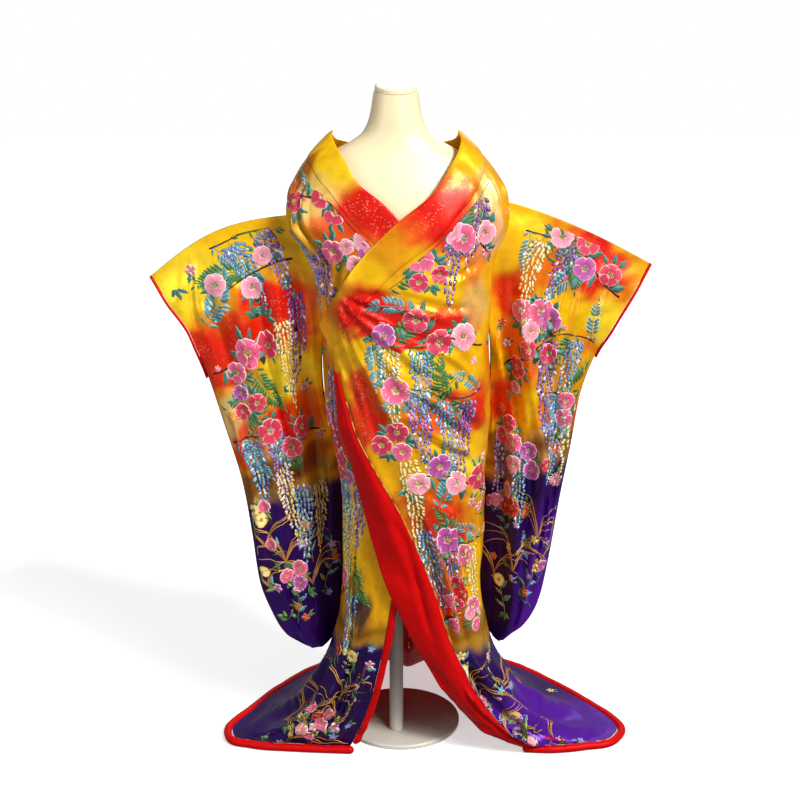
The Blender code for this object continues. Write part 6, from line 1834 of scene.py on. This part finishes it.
    def pinnate(self, rc, length, angle, thread="green", bend=0.5):
        path, angles = self.line(rc, length, angle, bend, 0.0, 0.0075)
        n = len(path)
        self.ribbon(path, np.linspace(0.0012, 0.0006, n), 0.0010, thread)
        pairs = max(6, int(length / 0.0088))
        for k in range(pairs):
            t = (k + 0.8) / pairs
            i = min(n - 1, int(t * (n - 1)))
            size = 0.29 * length * (0.35 + 0.65 * math.sin(math.pi * min(1.0, 0.18 + 0.80 * t)))
            for sign in (-1, 1):
                self.put(path[i], LEAFLET, size * 0.22, size, angles[i] + sign * (1.08 - 0.45 * t), height=0.0010, thread=thread, shade=self.rng.uniform(0.88, 1.1))
        self.put(path[-1], LEAFLET, length * 0.035, length * 0.16, angles[-1], height=0.0008, thread=thread)
        self.taken.append((path[n // 2], length * 0.4))

    def raceme(self, rc, length, width, thread="violet", lean=0.0):
        """A hanging flower spike: florets in rows, full above and thin at the tip."""
        rng = self.rng
        path, angles = self.line(rc, length, math.pi + lean, rng.normal(0, 0.12), 0.03, 0.0074)
        n = len(path)
        self.ribbon(path, np.linspace(0.0009, 0.0005, n), 0.0006, "moss")
        for i in range(1, n):
            t = i / (n - 1)
            w = width * (0.45 + 0.55 * min(1.0, t / 0.12)) * (1 - t) ** 0.62 + 0.004
            count = max(1, int(round(w / 0.0072)))
            for k in range(count):
                x = (k - (count - 1) / 2) * 0.0076 * rng.uniform(0.85, 1.15)
                a = math.pi + lean - np.sign(-x) * min(1.0, abs(x) / 0.012) * rng.uniform(0.35, 0.85) + rng.normal(0, 0.12)
                pale, other = rng.random() < (0.05 + 0.14 * t), rng.random() < 0.28 + 0.30 * min(1.0, abs(x) / 0.016)
                size = rng.uniform(0.0135, 0.0175) * (1 - 0.30 * t)
                self.put(path[i], FLORET, size * 0.37, size, a, (x, rng.uniform(-0.0028, 0.0028)), 0.0014, "white" if pale else MATES.get(thread, thread) if other else thread, rng.uniform(0.82, 1.12))
        self.taken.append((path[n // 3], length * 0.35))

    def wisteria(self, rc, length, angle, threads, leaf="green"):
        """A twig with feathery leaves above and flower spikes hanging from it."""
        rng = self.rng
        reach = 0.052 * len(threads) + 0.03
        path, angles = self.line(rc, reach, angle, rng.uniform(-0.5, 0.5), 0.10)
        n = len(path)
        self.ribbon(path, np.linspace(0.0022, 0.0012, n), 0.0014, "bark")
        for k, thread in enumerate(threads):
            i = int((k + 0.7) / len(threads) * (n - 1))
            self.raceme(path[i], length * rng.uniform(0.90, 1.25), 0.036 * rng.uniform(0.9, 1.15), thread, rng.normal(0, 0.06))
        for k in range(len(threads) + 1):
            i = int((k + 0.2) / (len(threads) + 1) * (n - 1))
            side = 1 if k % 2 else -1
            self.pinnate(path[i], rng.uniform(0.080, 0.115), angles[i] + side * rng.uniform(0.7, 1.2), leaf if k % 3 else "bluegreen", rng.uniform(-0.6, 0.6))

    def bough(self, rc, length, angle, thread="pink", flowers=4, size=0.027, leaf="teal"):
        rng = self.rng
        path, angles = self.line(rc, length, angle, rng.uniform(-0.7, 0.7), 0.22)
        n = len(path)
        self.ribbon(path, np.linspace(0.0029, 0.0014, n), 0.0016, "bark")
        for k in range(flowers):
            i = int((k + 0.6) / flowers * (n - 1))
            side = 1 if k % 2 else -1
            a = angles[i] + side * rng.uniform(0.5, 1.1)
            twig, ta = self.line(path[i], rng.uniform(0.020, 0.038), a, rng.uniform(-0.4, 0.4), 0.0, 0.006)
            self.ribbon(twig, np.linspace(0.0016, 0.0010, len(twig)), 0.0013, "bark")
            self.leaves(path[i], size * 1.05, a + side * 0.9, leaf, 2)
            self.leaves(twig[-1], size * 0.80, a + side * 0.3, leaf, 3, size * 0.80)
            self.blossom(twig[-1], size * rng.uniform(0.98, 1.32), thread if rng.random() < 0.62 else ("blush", "plum", "rose")[int(rng.integers(3))])
            if rng.random() < 0.6:
                self.bud(path[max(0, i - 2)], size * 0.62, angles[i] - side * rng.uniform(0.6, 1.2), thread)
        self.bud(path[-1], size * 0.7, angles[-1], thread)

    def cluster(self, rc, size, thread="pink", n=3, leaf="teal"):
        rng, m = self.rng, self.cloth.turn(rc)
        start = rng.uniform(0, 2 * math.pi)
        for k in range(n):
            a = start + 2 * math.pi * k / n
            self.leaves(rc + m @ (np.array([-math.sin(a + 1.0), math.cos(a + 1.0)]) * size * 1.02), size * 0.95, a + 1.0, leaf, 3)
        for k in range(n):
            a = start + 2 * math.pi * k / n
            at = rc + m @ (np.array([-math.sin(a), math.cos(a)]) * size * (1.12 if n > 1 else 0.0))
            self.blossom(at, size * rng.uniform(0.92, 1.22), thread if k % 3 != 2 else ("blush", "plum", "pink")[int(rng.integers(3))])

    def sprig(self, rc, length, angle, thread="pink", leaf="moss"):
        rng = self.rng
        path, angles = self.line(rc, length, angle, rng.uniform(-0.6, 0.6), 0.05, 0.007)
        n = len(path)
        self.ribbon(path, np.linspace(0.0011, 0.0007, n), 0.0010, leaf)
        for k in range(2, n - 1, 2):
            side = 1 if (k // 2) % 2 else -1
            self.leaf(path[k], rng.uniform(0.022, 0.034), angles[k] + side * rng.uniform(0.7, 1.1), leaf if k % 4 else "bluegreen", 0.22)
        self.blossom(path[-1], 0.0150 * rng.uniform(0.9, 1.3), thread)

    def hoops(self, gold, rc, size, n=6, lean=0.0):
        """Arching grasses in gold thread, from one root, with a few flowers at their foot."""
        rng = self.rng
        for k in range(n):
            side = 1 if k % 2 else -1
            length = size * rng.uniform(0.75, 1.25)
            path, _ = gold.line(rc, length, lean + side * rng.uniform(0.05, 0.35), side * rng.uniform(1.3, 2.5), 0.0, 0.007)
            gold.ribbon(path, 0.0013 * np.sin(np.linspace(0.5, math.pi, len(path))) + 0.0006, 0.0012, "gold", rng.uniform(0.85, 1.1))

    def free(self, rc, size):
        """Whether a place is far enough from what is already stitched."""
        m = np.linalg.inv(self.cloth.turn(rc))
        for at, r in self.taken:
            d = m @ (np.asarray(at) - rc)
            if d @ d < (r + size) ** 2:
                return False
        return True

    def scatter(self, count, u_range, v_range, threads, sizes=(0.009, 0.016), leaf="teal"):
        """Small flowers and leaves between the large ones."""
        rng = self.rng
        for _ in range(count):
            rc = self.cloth.spot(rng.uniform(*u_range), rng.uniform(*v_range))
            size = rng.uniform(*sizes)
            if not self.free(rc, size * 1.05):
                continue
            kind = rng.random()
            thread = threads[int(rng.integers(len(threads)))]
            if kind < 0.50:
                self.leaves(rc, size * 0.95, rng.uniform(0, 6.28), leaf, 2, size * 0.70)
                self.blossom(rc, size, thread)
            elif kind < 0.62:
                self.kiku(rc, size, thread, 12)
            elif kind < 0.80:
                self.leaves(rc, size * 1.7, rng.uniform(0, 6.28), leaf, 3)
                self.taken.append((rc, size))
            else:
                self.sprig(rc, rng.uniform(0.030, 0.050), rng.uniform(-0.9, 0.9), thread, "moss" if leaf == "moss" else "green")

    def piece(self, name, material):
        if not self.size:
            return None
        rc = np.concatenate(self.rc)
        p, n = self.cloth.at(rc)
        pts = p + n * np.concatenate(self.h)[:, None]
        quads = np.concatenate([q for q in self.quads if len(q)]) if any(len(q) for q in self.quads) else np.zeros((0, 4), int)
        tris = np.concatenate([q for q in self.tris if len(q)]) if any(len(q) for q in self.tris) else np.zeros((0, 3), int)

        def solid(f):
            c = pts[f]
            a = np.linalg.norm(np.cross(c[:, 1] - c[:, 0], c[:, 2] - c[:, 0]), axis=-1)
            if f.shape[1] == 4:
                a = a + np.linalg.norm(np.cross(c[:, 2] - c[:, 0], c[:, 3] - c[:, 0]), axis=-1)
            return f[a > 1e-12]

        return make_mesh(name, pts, [solid(quads), solid(tris)], [material], dye=np.concatenate(self.colour), sharp=0)


# ---------------------------------------------------------------- the layout: kind, place, size, angle in degrees, threads
def stitched(name, cloth, rows, seed, scatters=(), owner=None):
    silk, gold = Needlework(cloth, seed), Needlework(cloth, seed + 1)
    for kind, u, v, size, angle, *more in rows:
        rc, a = cloth.spot(u, v), math.radians(angle)
        if kind == "wisteria":
            silk.wisteria(rc, size, a, more[0].split())
        elif kind == "raceme":
            silk.raceme(rc, size * 1.15, 0.037, more[0], a)
        elif kind == "bough":
            silk.bough(rc, size, a, more[0], more[1], more[2])
        elif kind == "cluster":
            silk.cluster(rc, size, more[0], more[1], more[2] if len(more) > 2 else "teal")
        elif kind == "blossom":
            silk.leaves(rc, size * 0.85, a, "teal", 3, size * 0.85)
            silk.leaves(rc, size * 0.80, a + 2.6, "green", 2, size * 0.85)
            silk.blossom(rc, size * 1.15, more[0])
        elif kind == "kiku":
            silk.leaves(rc, size * 0.80, a, "green", 3, size * 0.80)
            silk.kiku(rc, size, more[0])
        elif kind == "bell":
            silk.leaves(rc, size * 0.95, a, "moss", 2, size * 0.75)
            silk.bell(rc, size, more[0])
        elif kind == "pinnate":
            silk.pinnate(rc, size * 1.35, a, more[0])
        elif kind == "leaves":
            silk.leaves(rc, size, a, more[0], 3)
        elif kind == "sprig":
            silk.sprig(rc, size, a, more[0], more[1] if len(more) > 1 else "moss")
        elif kind == "hoops":
            silk.hoops(gold, rc, size, more[0] if more else 6, a)
    for count, u_range, v_range, threads, sizes, leaf in scatters:
        silk.scatter(count, u_range, v_range, threads.split(), sizes, leaf)
    made = [silk.piece("floss_" + name, FLOSS), gold.piece("gold_" + name, GOLD_THREAD)]
    for o in made:
        if o:
            on_frame(o, "printed_silk")
    return [o for o in made if o]


WARM = "pink rose blush apricot"
DUSK = "pink plum scarlet blue lilac butter"
needlework = {}
needlework["body_left"] = stitched("over_front", OVER_FRONT, [
    ("wisteria", 0.762, 1.335, 0.150, 105, "violet lilac"),
    ("bough", 0.752, 1.170, 0.190, 62, "pink", 4, 0.026),
    ("cluster", 0.858, 1.150, 0.024, 0, "rose", 3),
    ("pinnate", 0.905, 1.120, 0.085, -60, "green"), ("pinnate", 0.880, 1.075, 0.075, 70, "bluegreen"),
    ("bough", 0.760, 0.985, 0.230, 78, "rose", 4, 0.028),
    ("wisteria", 0.935, 1.020, 0.190, -108, "butter turquoise"),
    ("blossom", 0.905, 0.905, 0.030, 40, "pink"), ("kiku", 0.868, 0.925, 0.021, 0, "apricot"),
    ("pinnate", 0.822, 0.925, 0.090, 120, "green"),
    ("wisteria", 0.770, 0.890, 0.210, 98, "violet turquoise lilac"),
    ("cluster", 0.918, 0.790, 0.024, 0, "rose", 3), ("raceme", 0.905, 0.760, 0.200, 2, "butter"),
    ("bough", 0.752, 0.650, 0.200, 66, "blush", 4, 0.029), ("pinnate", 0.868, 0.640, 0.080, -35, "bluegreen"),
    ("blossom", 0.860, 0.560, 0.031, 0, "plum"), ("blossom", 0.822, 0.515, 0.026, 0, "pink"),
    ("raceme", 0.898, 0.600, 0.190, 0, "turquoise"), ("wisteria", 0.760, 0.545, 0.150, 92, "butter violet"),
    ("cluster", 0.850, 0.430, 0.022, 0, "scarlet", 3), ("bough", 0.905, 0.350, 0.120, -70, "pink", 3, 0.021),
    ("cluster", 0.795, 0.365, 0.020, 0, "blush", 3, "green"), ("pinnate", 0.870, 0.345, 0.070, -20, "moss"),
    ("hoops", 0.870, 0.120, 0.120, 20, 6), ("hoops", 0.800, 0.060, 0.150, -10, 7), ("hoops", 0.885, -0.110, 0.130, 15, 7),
    ("hoops", 0.830, -0.190, 0.120, -20, 6), ("hoops", 0.760, 0.130, 0.110, 0, 5),
    ("cluster", 0.890, 0.070, 0.016, 0, "pink", 3, "moss"), ("sprig", 0.885, -0.020, 0.080, 10, "pink", "green"),
    ("cluster", 0.882, -0.150, 0.017, 0, "blush", 3, "green"), ("sprig", 0.862, -0.130, 0.090, -25, "butter", "moss"),
    ("sprig", 0.845, -0.230, 0.070, 35, "apricot", "green"), ("bell", 0.868, 0.010, 0.017, 30, "blue"),
    ("leaves", 0.900, -0.210, 0.030, 20, "moss"), ("sprig", 0.812, -0.060, 0.060, 15, "plum", "moss"),
    ("bell", 0.815, 0.150, 0.016, 0, "turquoise"),
], 101, [
    (90, (0.725, 0.955), (0.320, 1.330), WARM, (0.010, 0.017), "teal"),
    (26, (0.735, 0.930), (0.000, 0.290), DUSK, (0.008, 0.013), "moss"),
    (10, (0.780, 0.930), (-0.260, 0.000), DUSK, (0.008, 0.012), "moss"),
])
needlework["body_right"] = stitched("under_front", UNDER_FRONT, [
    ("bough", 0.278, 1.290, 0.200, -78, "rose", 4, 0.026), ("blossom", 0.196, 1.185, 0.027, 0, "pink"),
    ("pinnate", 0.228, 1.300, 0.070, 20, "bluegreen"), ("cluster", 0.160, 1.185, 0.020, 0, "blush", 3),
    ("raceme", 0.236, 1.190, 0.150, 0, "lilac"), ("raceme", 0.262, 1.230, 0.170, 0, "turquoise"),
    ("kiku", 0.215, 1.075, 0.019, 0, "butter"), ("bough", 0.282, 1.000, 0.130, -60, "pink", 3, 0.023),
    ("raceme", 0.232, 0.940, 0.190, 0, "violet"), ("blossom", 0.262, 0.820, 0.027, 0, "pink"),
    ("cluster", 0.222, 0.700, 0.021, 0, "rose", 3), ("raceme", 0.205, 0.640, 0.200, 0, "butter"),
    ("wisteria", 0.275, 0.700, 0.170, -95, "turquoise lilac"), ("pinnate", 0.240, 0.560, 0.080, 160, "green"),
    ("pinnate", 0.180, 0.500, 0.080, 200, "green"), ("cluster", 0.262, 0.430, 0.021, 0, "scarlet", 3),
    ("raceme", 0.165, 0.420, 0.130, 0, "turquoise"),
    ("hoops", 0.130, 0.080, 0.140, 0, 7), ("hoops", 0.200, -0.010, 0.160, 10, 8), ("hoops", 0.260, -0.100, 0.140, -12, 7),
    ("hoops", 0.080, -0.120, 0.140, 8, 7), ("hoops", 0.160, -0.200, 0.130, -10, 6),
    ("cluster", 0.115, -0.060, 0.017, 0, "pink", 3, "green"), ("cluster", 0.150, -0.120, 0.016, 0, "blush", 3, "moss"),
    ("sprig", 0.180, -0.160, 0.090, 25, "pink", "green"), ("sprig", 0.070, -0.020, 0.080, -20, "pink", "green"),
    ("sprig", 0.225, -0.060, 0.080, -30, "scarlet", "moss"), ("sprig", 0.100, 0.140, 0.080, 15, "butter", "moss"),
    ("bell", 0.060, -0.200, 0.016, 0, "blue"), ("sprig", 0.050, 0.080, 0.070, 0, "plum", "green"),
], 111, [
    (46, (0.150, 0.292), (0.330, 1.320), WARM, (0.009, 0.016), "teal"),
    (26, (0.030, 0.290), (-0.270, 0.270), DUSK, (0.008, 0.013), "green"),
])
needlework["okumi_left"] = stitched("back", BACK_CLOTH, [
    ("wisteria", 0.570, 1.270, 0.200, -92, "violet butter turquoise"), ("bough", 0.345, 1.240, 0.230, 70, "pink", 5, 0.030),
    ("bough", 0.640, 1.060, 0.240, -74, "rose", 5, 0.029), ("wisteria", 0.370, 1.000, 0.210, 88, "turquoise lilac violet"),
    ("cluster", 0.520, 0.960, 0.026, 0, "rose", 4), ("kiku", 0.600, 0.900, 0.026, 0, "apricot"),
    ("bough", 0.350, 0.720, 0.240, 66, "blush", 5, 0.030), ("wisteria", 0.640, 0.830, 0.220, -95, "butter violet turquoise"),
    ("cluster", 0.480, 0.700, 0.026, 0, "plum", 4), ("pinnate", 0.560, 0.660, 0.100, 40, "green"),
    ("bough", 0.650, 0.560, 0.230, -80, "pink", 5, 0.028), ("wisteria", 0.350, 0.540, 0.180, 92, "lilac turquoise"),
    ("cluster", 0.520, 0.480, 0.024, 0, "scarlet", 3), ("blossom", 0.440, 0.420, 0.030, 0, "pink"),
    ("hoops", 0.380, 0.120, 0.170, 0, 8), ("hoops", 0.450, 0.060, 0.180, 10, 8), ("hoops", 0.540, 0.080, 0.180, -8, 8),
    ("hoops", 0.620, 0.120, 0.170, 0, 8), ("hoops", 0.350, -0.120, 0.150, 0, 7), ("hoops", 0.500, -0.140, 0.160, 0, 7),
    ("hoops", 0.660, -0.120, 0.150, 0, 7), ("cluster", 0.420, 0.020, 0.022, 0, "pink", 3, "green"),
    ("cluster", 0.580, 0.000, 0.022, 0, "scarlet", 3, "moss"), ("cluster", 0.500, -0.060, 0.020, 0, "blush", 3, "green"),
    ("sprig", 0.350, 0.020, 0.100, 20, "pink", "green"), ("sprig", 0.650, 0.040, 0.100, -20, "plum", "green"),
    ("sprig", 0.400, -0.180, 0.090, 10, "butter", "moss"), ("sprig", 0.600, -0.180, 0.090, -10, "pink", "moss"),
], 121, [
    (110, (0.325, 0.675), (0.300, 1.270), WARM + " plum", (0.011, 0.019), "teal"),
    (60, (0.320, 0.680), (-0.270, 0.250), DUSK, (0.009, 0.015), "green"),
])
needlework["sleeve_right"] = stitched("sleeve_right_front", SLEEVE_RF, [
    ("bough", 0.100, 0.070, 0.170, 80, "blush", 3, 0.023), ("wisteria", 0.560, 0.020, 0.150, -95, "turquoise lilac"),
    ("pinnate", 0.400, 0.080, 0.090, 60, "green"), ("pinnate", 0.860, 0.130, 0.100, -60, "bluegreen"),
    ("bough", 0.930, 0.225, 0.150, -88, "pink", 3, 0.027), ("raceme", 0.150, 0.130, 0.200, 0, "violet"),
    ("raceme", 0.270, 0.180, 0.180, 0, "butter"), ("pinnate", 0.560, 0.270, 0.085, 195, "green"),
    ("bough", 0.090, 0.470, 0.150, 70, "rose", 3, 0.026), ("kiku", 0.870, 0.345, 0.022, 0, "apricot"),
    ("wisteria", 0.960, 0.400, 0.160, -85, "turquoise violet"), ("cluster", 0.700, 0.335, 0.022, 0, "rose", 3),
    ("pinnate", 0.480, 0.400, 0.080, 165, "bluegreen"), ("cluster", 0.860, 0.590, 0.017, 0, "butter", 3, "moss"),
    ("raceme", 0.520, 0.500, 0.170, 0, "butter"), ("raceme", 0.340, 0.560, 0.170, 0, "turquoise"), ("raceme", 0.200, 0.580, 0.150, 0, "butter"),
    ("hoops", 0.840, 0.700, 0.130, 10, 7), ("hoops", 0.620, 0.760, 0.150, -8, 8), ("hoops", 0.330, 0.840, 0.150, 8, 7), ("hoops", 0.880, 0.820, 0.110, 20, 5),
    ("sprig", 0.500, 0.900, 0.100, 10, "pink", "green"), ("sprig", 0.640, 0.930, 0.090, -20, "pink", "green"),
    ("cluster", 0.520, 0.800, 0.018, 0, "pink", 3, "green"), ("sprig", 0.300, 0.780, 0.100, 0, "apricot", "moss"),
    ("sprig", 0.760, 0.840, 0.080, 30, "butter", "moss"), ("bell", 0.420, 0.720, 0.018, 0, "lilac"), ("sprig", 0.200, 0.860, 0.080, -15, "scarlet", "moss"),
], 131, [
    (70, (0.060, 0.950), (0.030, 0.560), WARM, (0.010, 0.017), "teal"),
    (34, (0.060, 0.920), (0.580, 0.930), DUSK, (0.009, 0.014), "green"),
])
needlework["sleeve_left"] = stitched("sleeve_left_front", SLEEVE_LF, [
    ("wisteria", 0.100, 0.040, 0.170, -90, "butter violet"), ("bough", 0.920, 0.080, 0.190, 84, "blush", 4, 0.027),
    ("pinnate", 0.300, 0.070, 0.090, -30, "green"), ("pinnate", 0.640, 0.060, 0.090, 130, "bluegreen"),
    ("cluster", 0.320, 0.200, 0.028, 0, "pink", 3), ("wisteria", 0.930, 0.190, 0.190, 92, "turquoise violet"),
    ("bough", 0.100, 0.330, 0.200, -65, "rose", 4, 0.027), ("kiku", 0.560, 0.300, 0.023, 0, "scarlet"),
    ("wisteria", 0.560, 0.370, 0.170, -80, "turquoise butter"), ("cluster", 0.900, 0.400, 0.021, 0, "pink", 3),
    ("cluster", 0.200, 0.500, 0.024, 0, "rose", 3), ("bell", 0.640, 0.460, 0.020, 0, "blue"), ("raceme", 0.160, 0.480, 0.180, 0, "lilac"),
    ("kiku", 0.780, 0.520, 0.022, 0, "scarlet"), ("cluster", 0.420, 0.560, 0.024, 0, "plum", 3, "green"),
    ("raceme", 0.360, 0.520, 0.160, 0, "turquoise"), ("kiku", 0.880, 0.600, 0.020, 0, "pink"),
    ("hoops", 0.720, 0.740, 0.150, -5, 8), ("hoops", 0.900, 0.800, 0.120, 18, 5), ("hoops", 0.450, 0.820, 0.150, 6, 7), ("hoops", 0.200, 0.850, 0.130, -6, 6),
    ("kiku", 0.500, 0.680, 0.022, 0, "scarlet"), ("sprig", 0.620, 0.900, 0.100, -18, "apricot", "green"), ("sprig", 0.300, 0.760, 0.100, 8, "pink", "green"),
    ("cluster", 0.280, 0.660, 0.022, 0, "scarlet", 3, "moss"), ("sprig", 0.400, 0.930, 0.080, 20, "butter", "moss"), ("bell", 0.600, 0.780, 0.018, 0, "blue"),
], 141, [
    (70, (0.060, 0.940), (0.030, 0.570), WARM + " scarlet", (0.010, 0.018), "teal"),
    (34, (0.080, 0.900), (0.600, 0.930), DUSK, (0.009, 0.014), "green"),
])
needlework["sleeve_right"] += stitched("sleeve_right_back", SLEEVE_RB, [
    ("wisteria", 0.800, 0.040, 0.190, 90, "violet turquoise"), ("bough", 0.150, 0.120, 0.200, -75, "pink", 4, 0.027),
    ("cluster", 0.700, 0.280, 0.028, 0, "rose", 4), ("bough", 0.850, 0.400, 0.200, 70, "blush", 4, 0.028),
    ("wisteria", 0.200, 0.360, 0.180, -90, "butter lilac"), ("cluster", 0.400, 0.520, 0.024, 0, "scarlet", 3),
    ("hoops", 0.300, 0.740, 0.150, 0, 8), ("hoops", 0.650, 0.760, 0.150, 0, 8), ("sprig", 0.450, 0.880, 0.100, 0, "pink", "green"),
    ("cluster", 0.550, 0.680, 0.020, 0, "pink", 3, "green"), ("sprig", 0.750, 0.880, 0.090, 15, "butter", "moss"),
], 151, [(70, (0.060, 0.940), (0.040, 0.570), WARM, (0.010, 0.017), "teal"), (34, (0.080, 0.900), (0.600, 0.930), DUSK, (0.009, 0.014), "green")])
needlework["sleeve_left"] += stitched("sleeve_left_back", SLEEVE_LB, [
    ("wisteria", 0.200, 0.040, 0.190, 90, "turquoise violet"), ("bough", 0.850, 0.120, 0.200, -75, "rose", 4, 0.027),
    ("cluster", 0.300, 0.280, 0.028, 0, "pink", 4), ("bough", 0.150, 0.420, 0.200, 70, "pink", 4, 0.028),
    ("wisteria", 0.820, 0.340, 0.180, -90, "lilac butter"), ("cluster", 0.600, 0.530, 0.024, 0, "plum", 3),
    ("hoops", 0.350, 0.760, 0.150, 0, 8), ("hoops", 0.680, 0.740, 0.150, 0, 8), ("sprig", 0.550, 0.880, 0.100, 0, "pink", "green"),
    ("cluster", 0.450, 0.680, 0.020, 0, "scarlet", 3, "green"), ("sprig", 0.250, 0.880, 0.090, -15, "butter", "moss"),
], 161, [(70, (0.060, 0.940), (0.040, 0.570), WARM, (0.010, 0.017), "teal"), (34, (0.080, 0.900), (0.600, 0.930), DUSK, (0.009, 0.014), "green")])


# ---------------------------------------------------------------- floor, light, camera
def studio():
    me = bpy.data.meshes.new("floor")
    me.from_pydata([(-60, -60, 0), (60, -60, 0), (60, 90, 0), (-60, 90, 0)], [], [(0, 1, 2, 3)])
    floor = bpy.data.objects.new("floor", me)
    bpy.context.scene.collection.objects.link(floor)
    floor.location.z = -0.0006
    floor.visible_diffuse = floor.visible_glossy = False
    m, t, b = nodes_of("pale_floor")
    b.inputs["Base Color"].default_value = (0.92, 0.92, 0.92, 1)
    b.inputs["Roughness"].default_value = 0.65
    b.inputs["Emission Color"].default_value = (1.0, 1.0, 1.0, 1)
    b.inputs["Emission Strength"].default_value = 0.50
    me.materials.append(m)

    me = bpy.data.meshes.new("backdrop")
    ring = [(11 * math.cos(2 * math.pi * k / 72), 11 * math.sin(2 * math.pi * k / 72)) for k in range(72)]
    me.from_pydata([(x, y, z) for z in (-0.5, 30.0) for x, y in ring], [], [((k + 1) % 72, k, 72 + k, 72 + (k + 1) % 72) for k in range(72)])
    backdrop = bpy.data.objects.new("backdrop", me)
    bpy.context.scene.collection.objects.link(backdrop)
    m, t, b = nodes_of("lit_backdrop")
    b.inputs["Base Color"].default_value = (0.0, 0.0, 0.0, 1)
    b.inputs["Specular IOR Level"].default_value = 0.0
    b.inputs["Emission Color"].default_value = (1.0, 1.0, 1.0, 1)
    b.inputs["Emission Strength"].default_value = 1.0
    me.materials.append(m)
    backdrop.visible_diffuse = backdrop.visible_glossy = backdrop.visible_shadow = False

    world = bpy.data.worlds.new("studio")
    bpy.context.scene.world = world
    world.use_nodes = True
    back = world.node_tree.nodes["Background"]
    back.inputs["Color"].default_value = (0.98, 0.985, 1.0, 1)
    back.inputs["Strength"].default_value = 0.27

    def lamp(name, kind, place, aim, energy, size=None, angle=None, colour=(1, 1, 1)):
        data = bpy.data.lights.new(name, kind)
        data.energy = energy
        data.color = colour
        if size:
            data.shape = "RECTANGLE"
            data.size, data.size_y = size
        if angle:
            data.angle = math.radians(angle)
        o = bpy.data.objects.new(name, data)
        bpy.context.scene.collection.objects.link(o)
        v = np.array(aim, float) - np.array(place, float)
        o.location = place
        o.rotation_euler = (math.acos(-v[2] / np.linalg.norm(v)), 0, math.atan2(v[1], v[0]) - math.pi / 2)
        return o

    lamp("sky", "SUN", (2.3, -2.2, 3.2), (0, 0, 0.4), 2.7, angle=10)
    lamp("key", "AREA", (1.5, -2.2, 2.7), (0, 0, 0.85), 52, size=(0.9, 1.4), colour=(1.0, 0.985, 0.96))
    lamp("fill", "AREA", (-2.4, -2.0, 1.6), (0, 0, 0.8), 23, size=(1.2, 1.8), colour=(0.97, 0.985, 1.0))
    lamp("rim", "AREA", (0.6, 2.7, 2.6), (0, 0, 0.8), 22, size=(1.8, 1.2))
    lamp("low", "AREA", (0.2, -3.4, 0.5), (0, 0, 0.5), 4.5, size=(2.0, 0.6))

    data = bpy.data.cameras.new("view")
    data.sensor_width = 36.0
    data.lens = 67.46
    camera = bpy.data.objects.new("view", data)
    camera.location = (0.0085, -3.1, 1.82)
    camera.rotation_euler = (math.radians(72.4), 0, 0)
    bpy.context.scene.collection.objects.link(camera)
    bpy.context.scene.camera = camera
    bpy.context.scene.view_settings.view_transform = "Standard"
    bpy.context.scene.view_settings.look = "None"


studio()
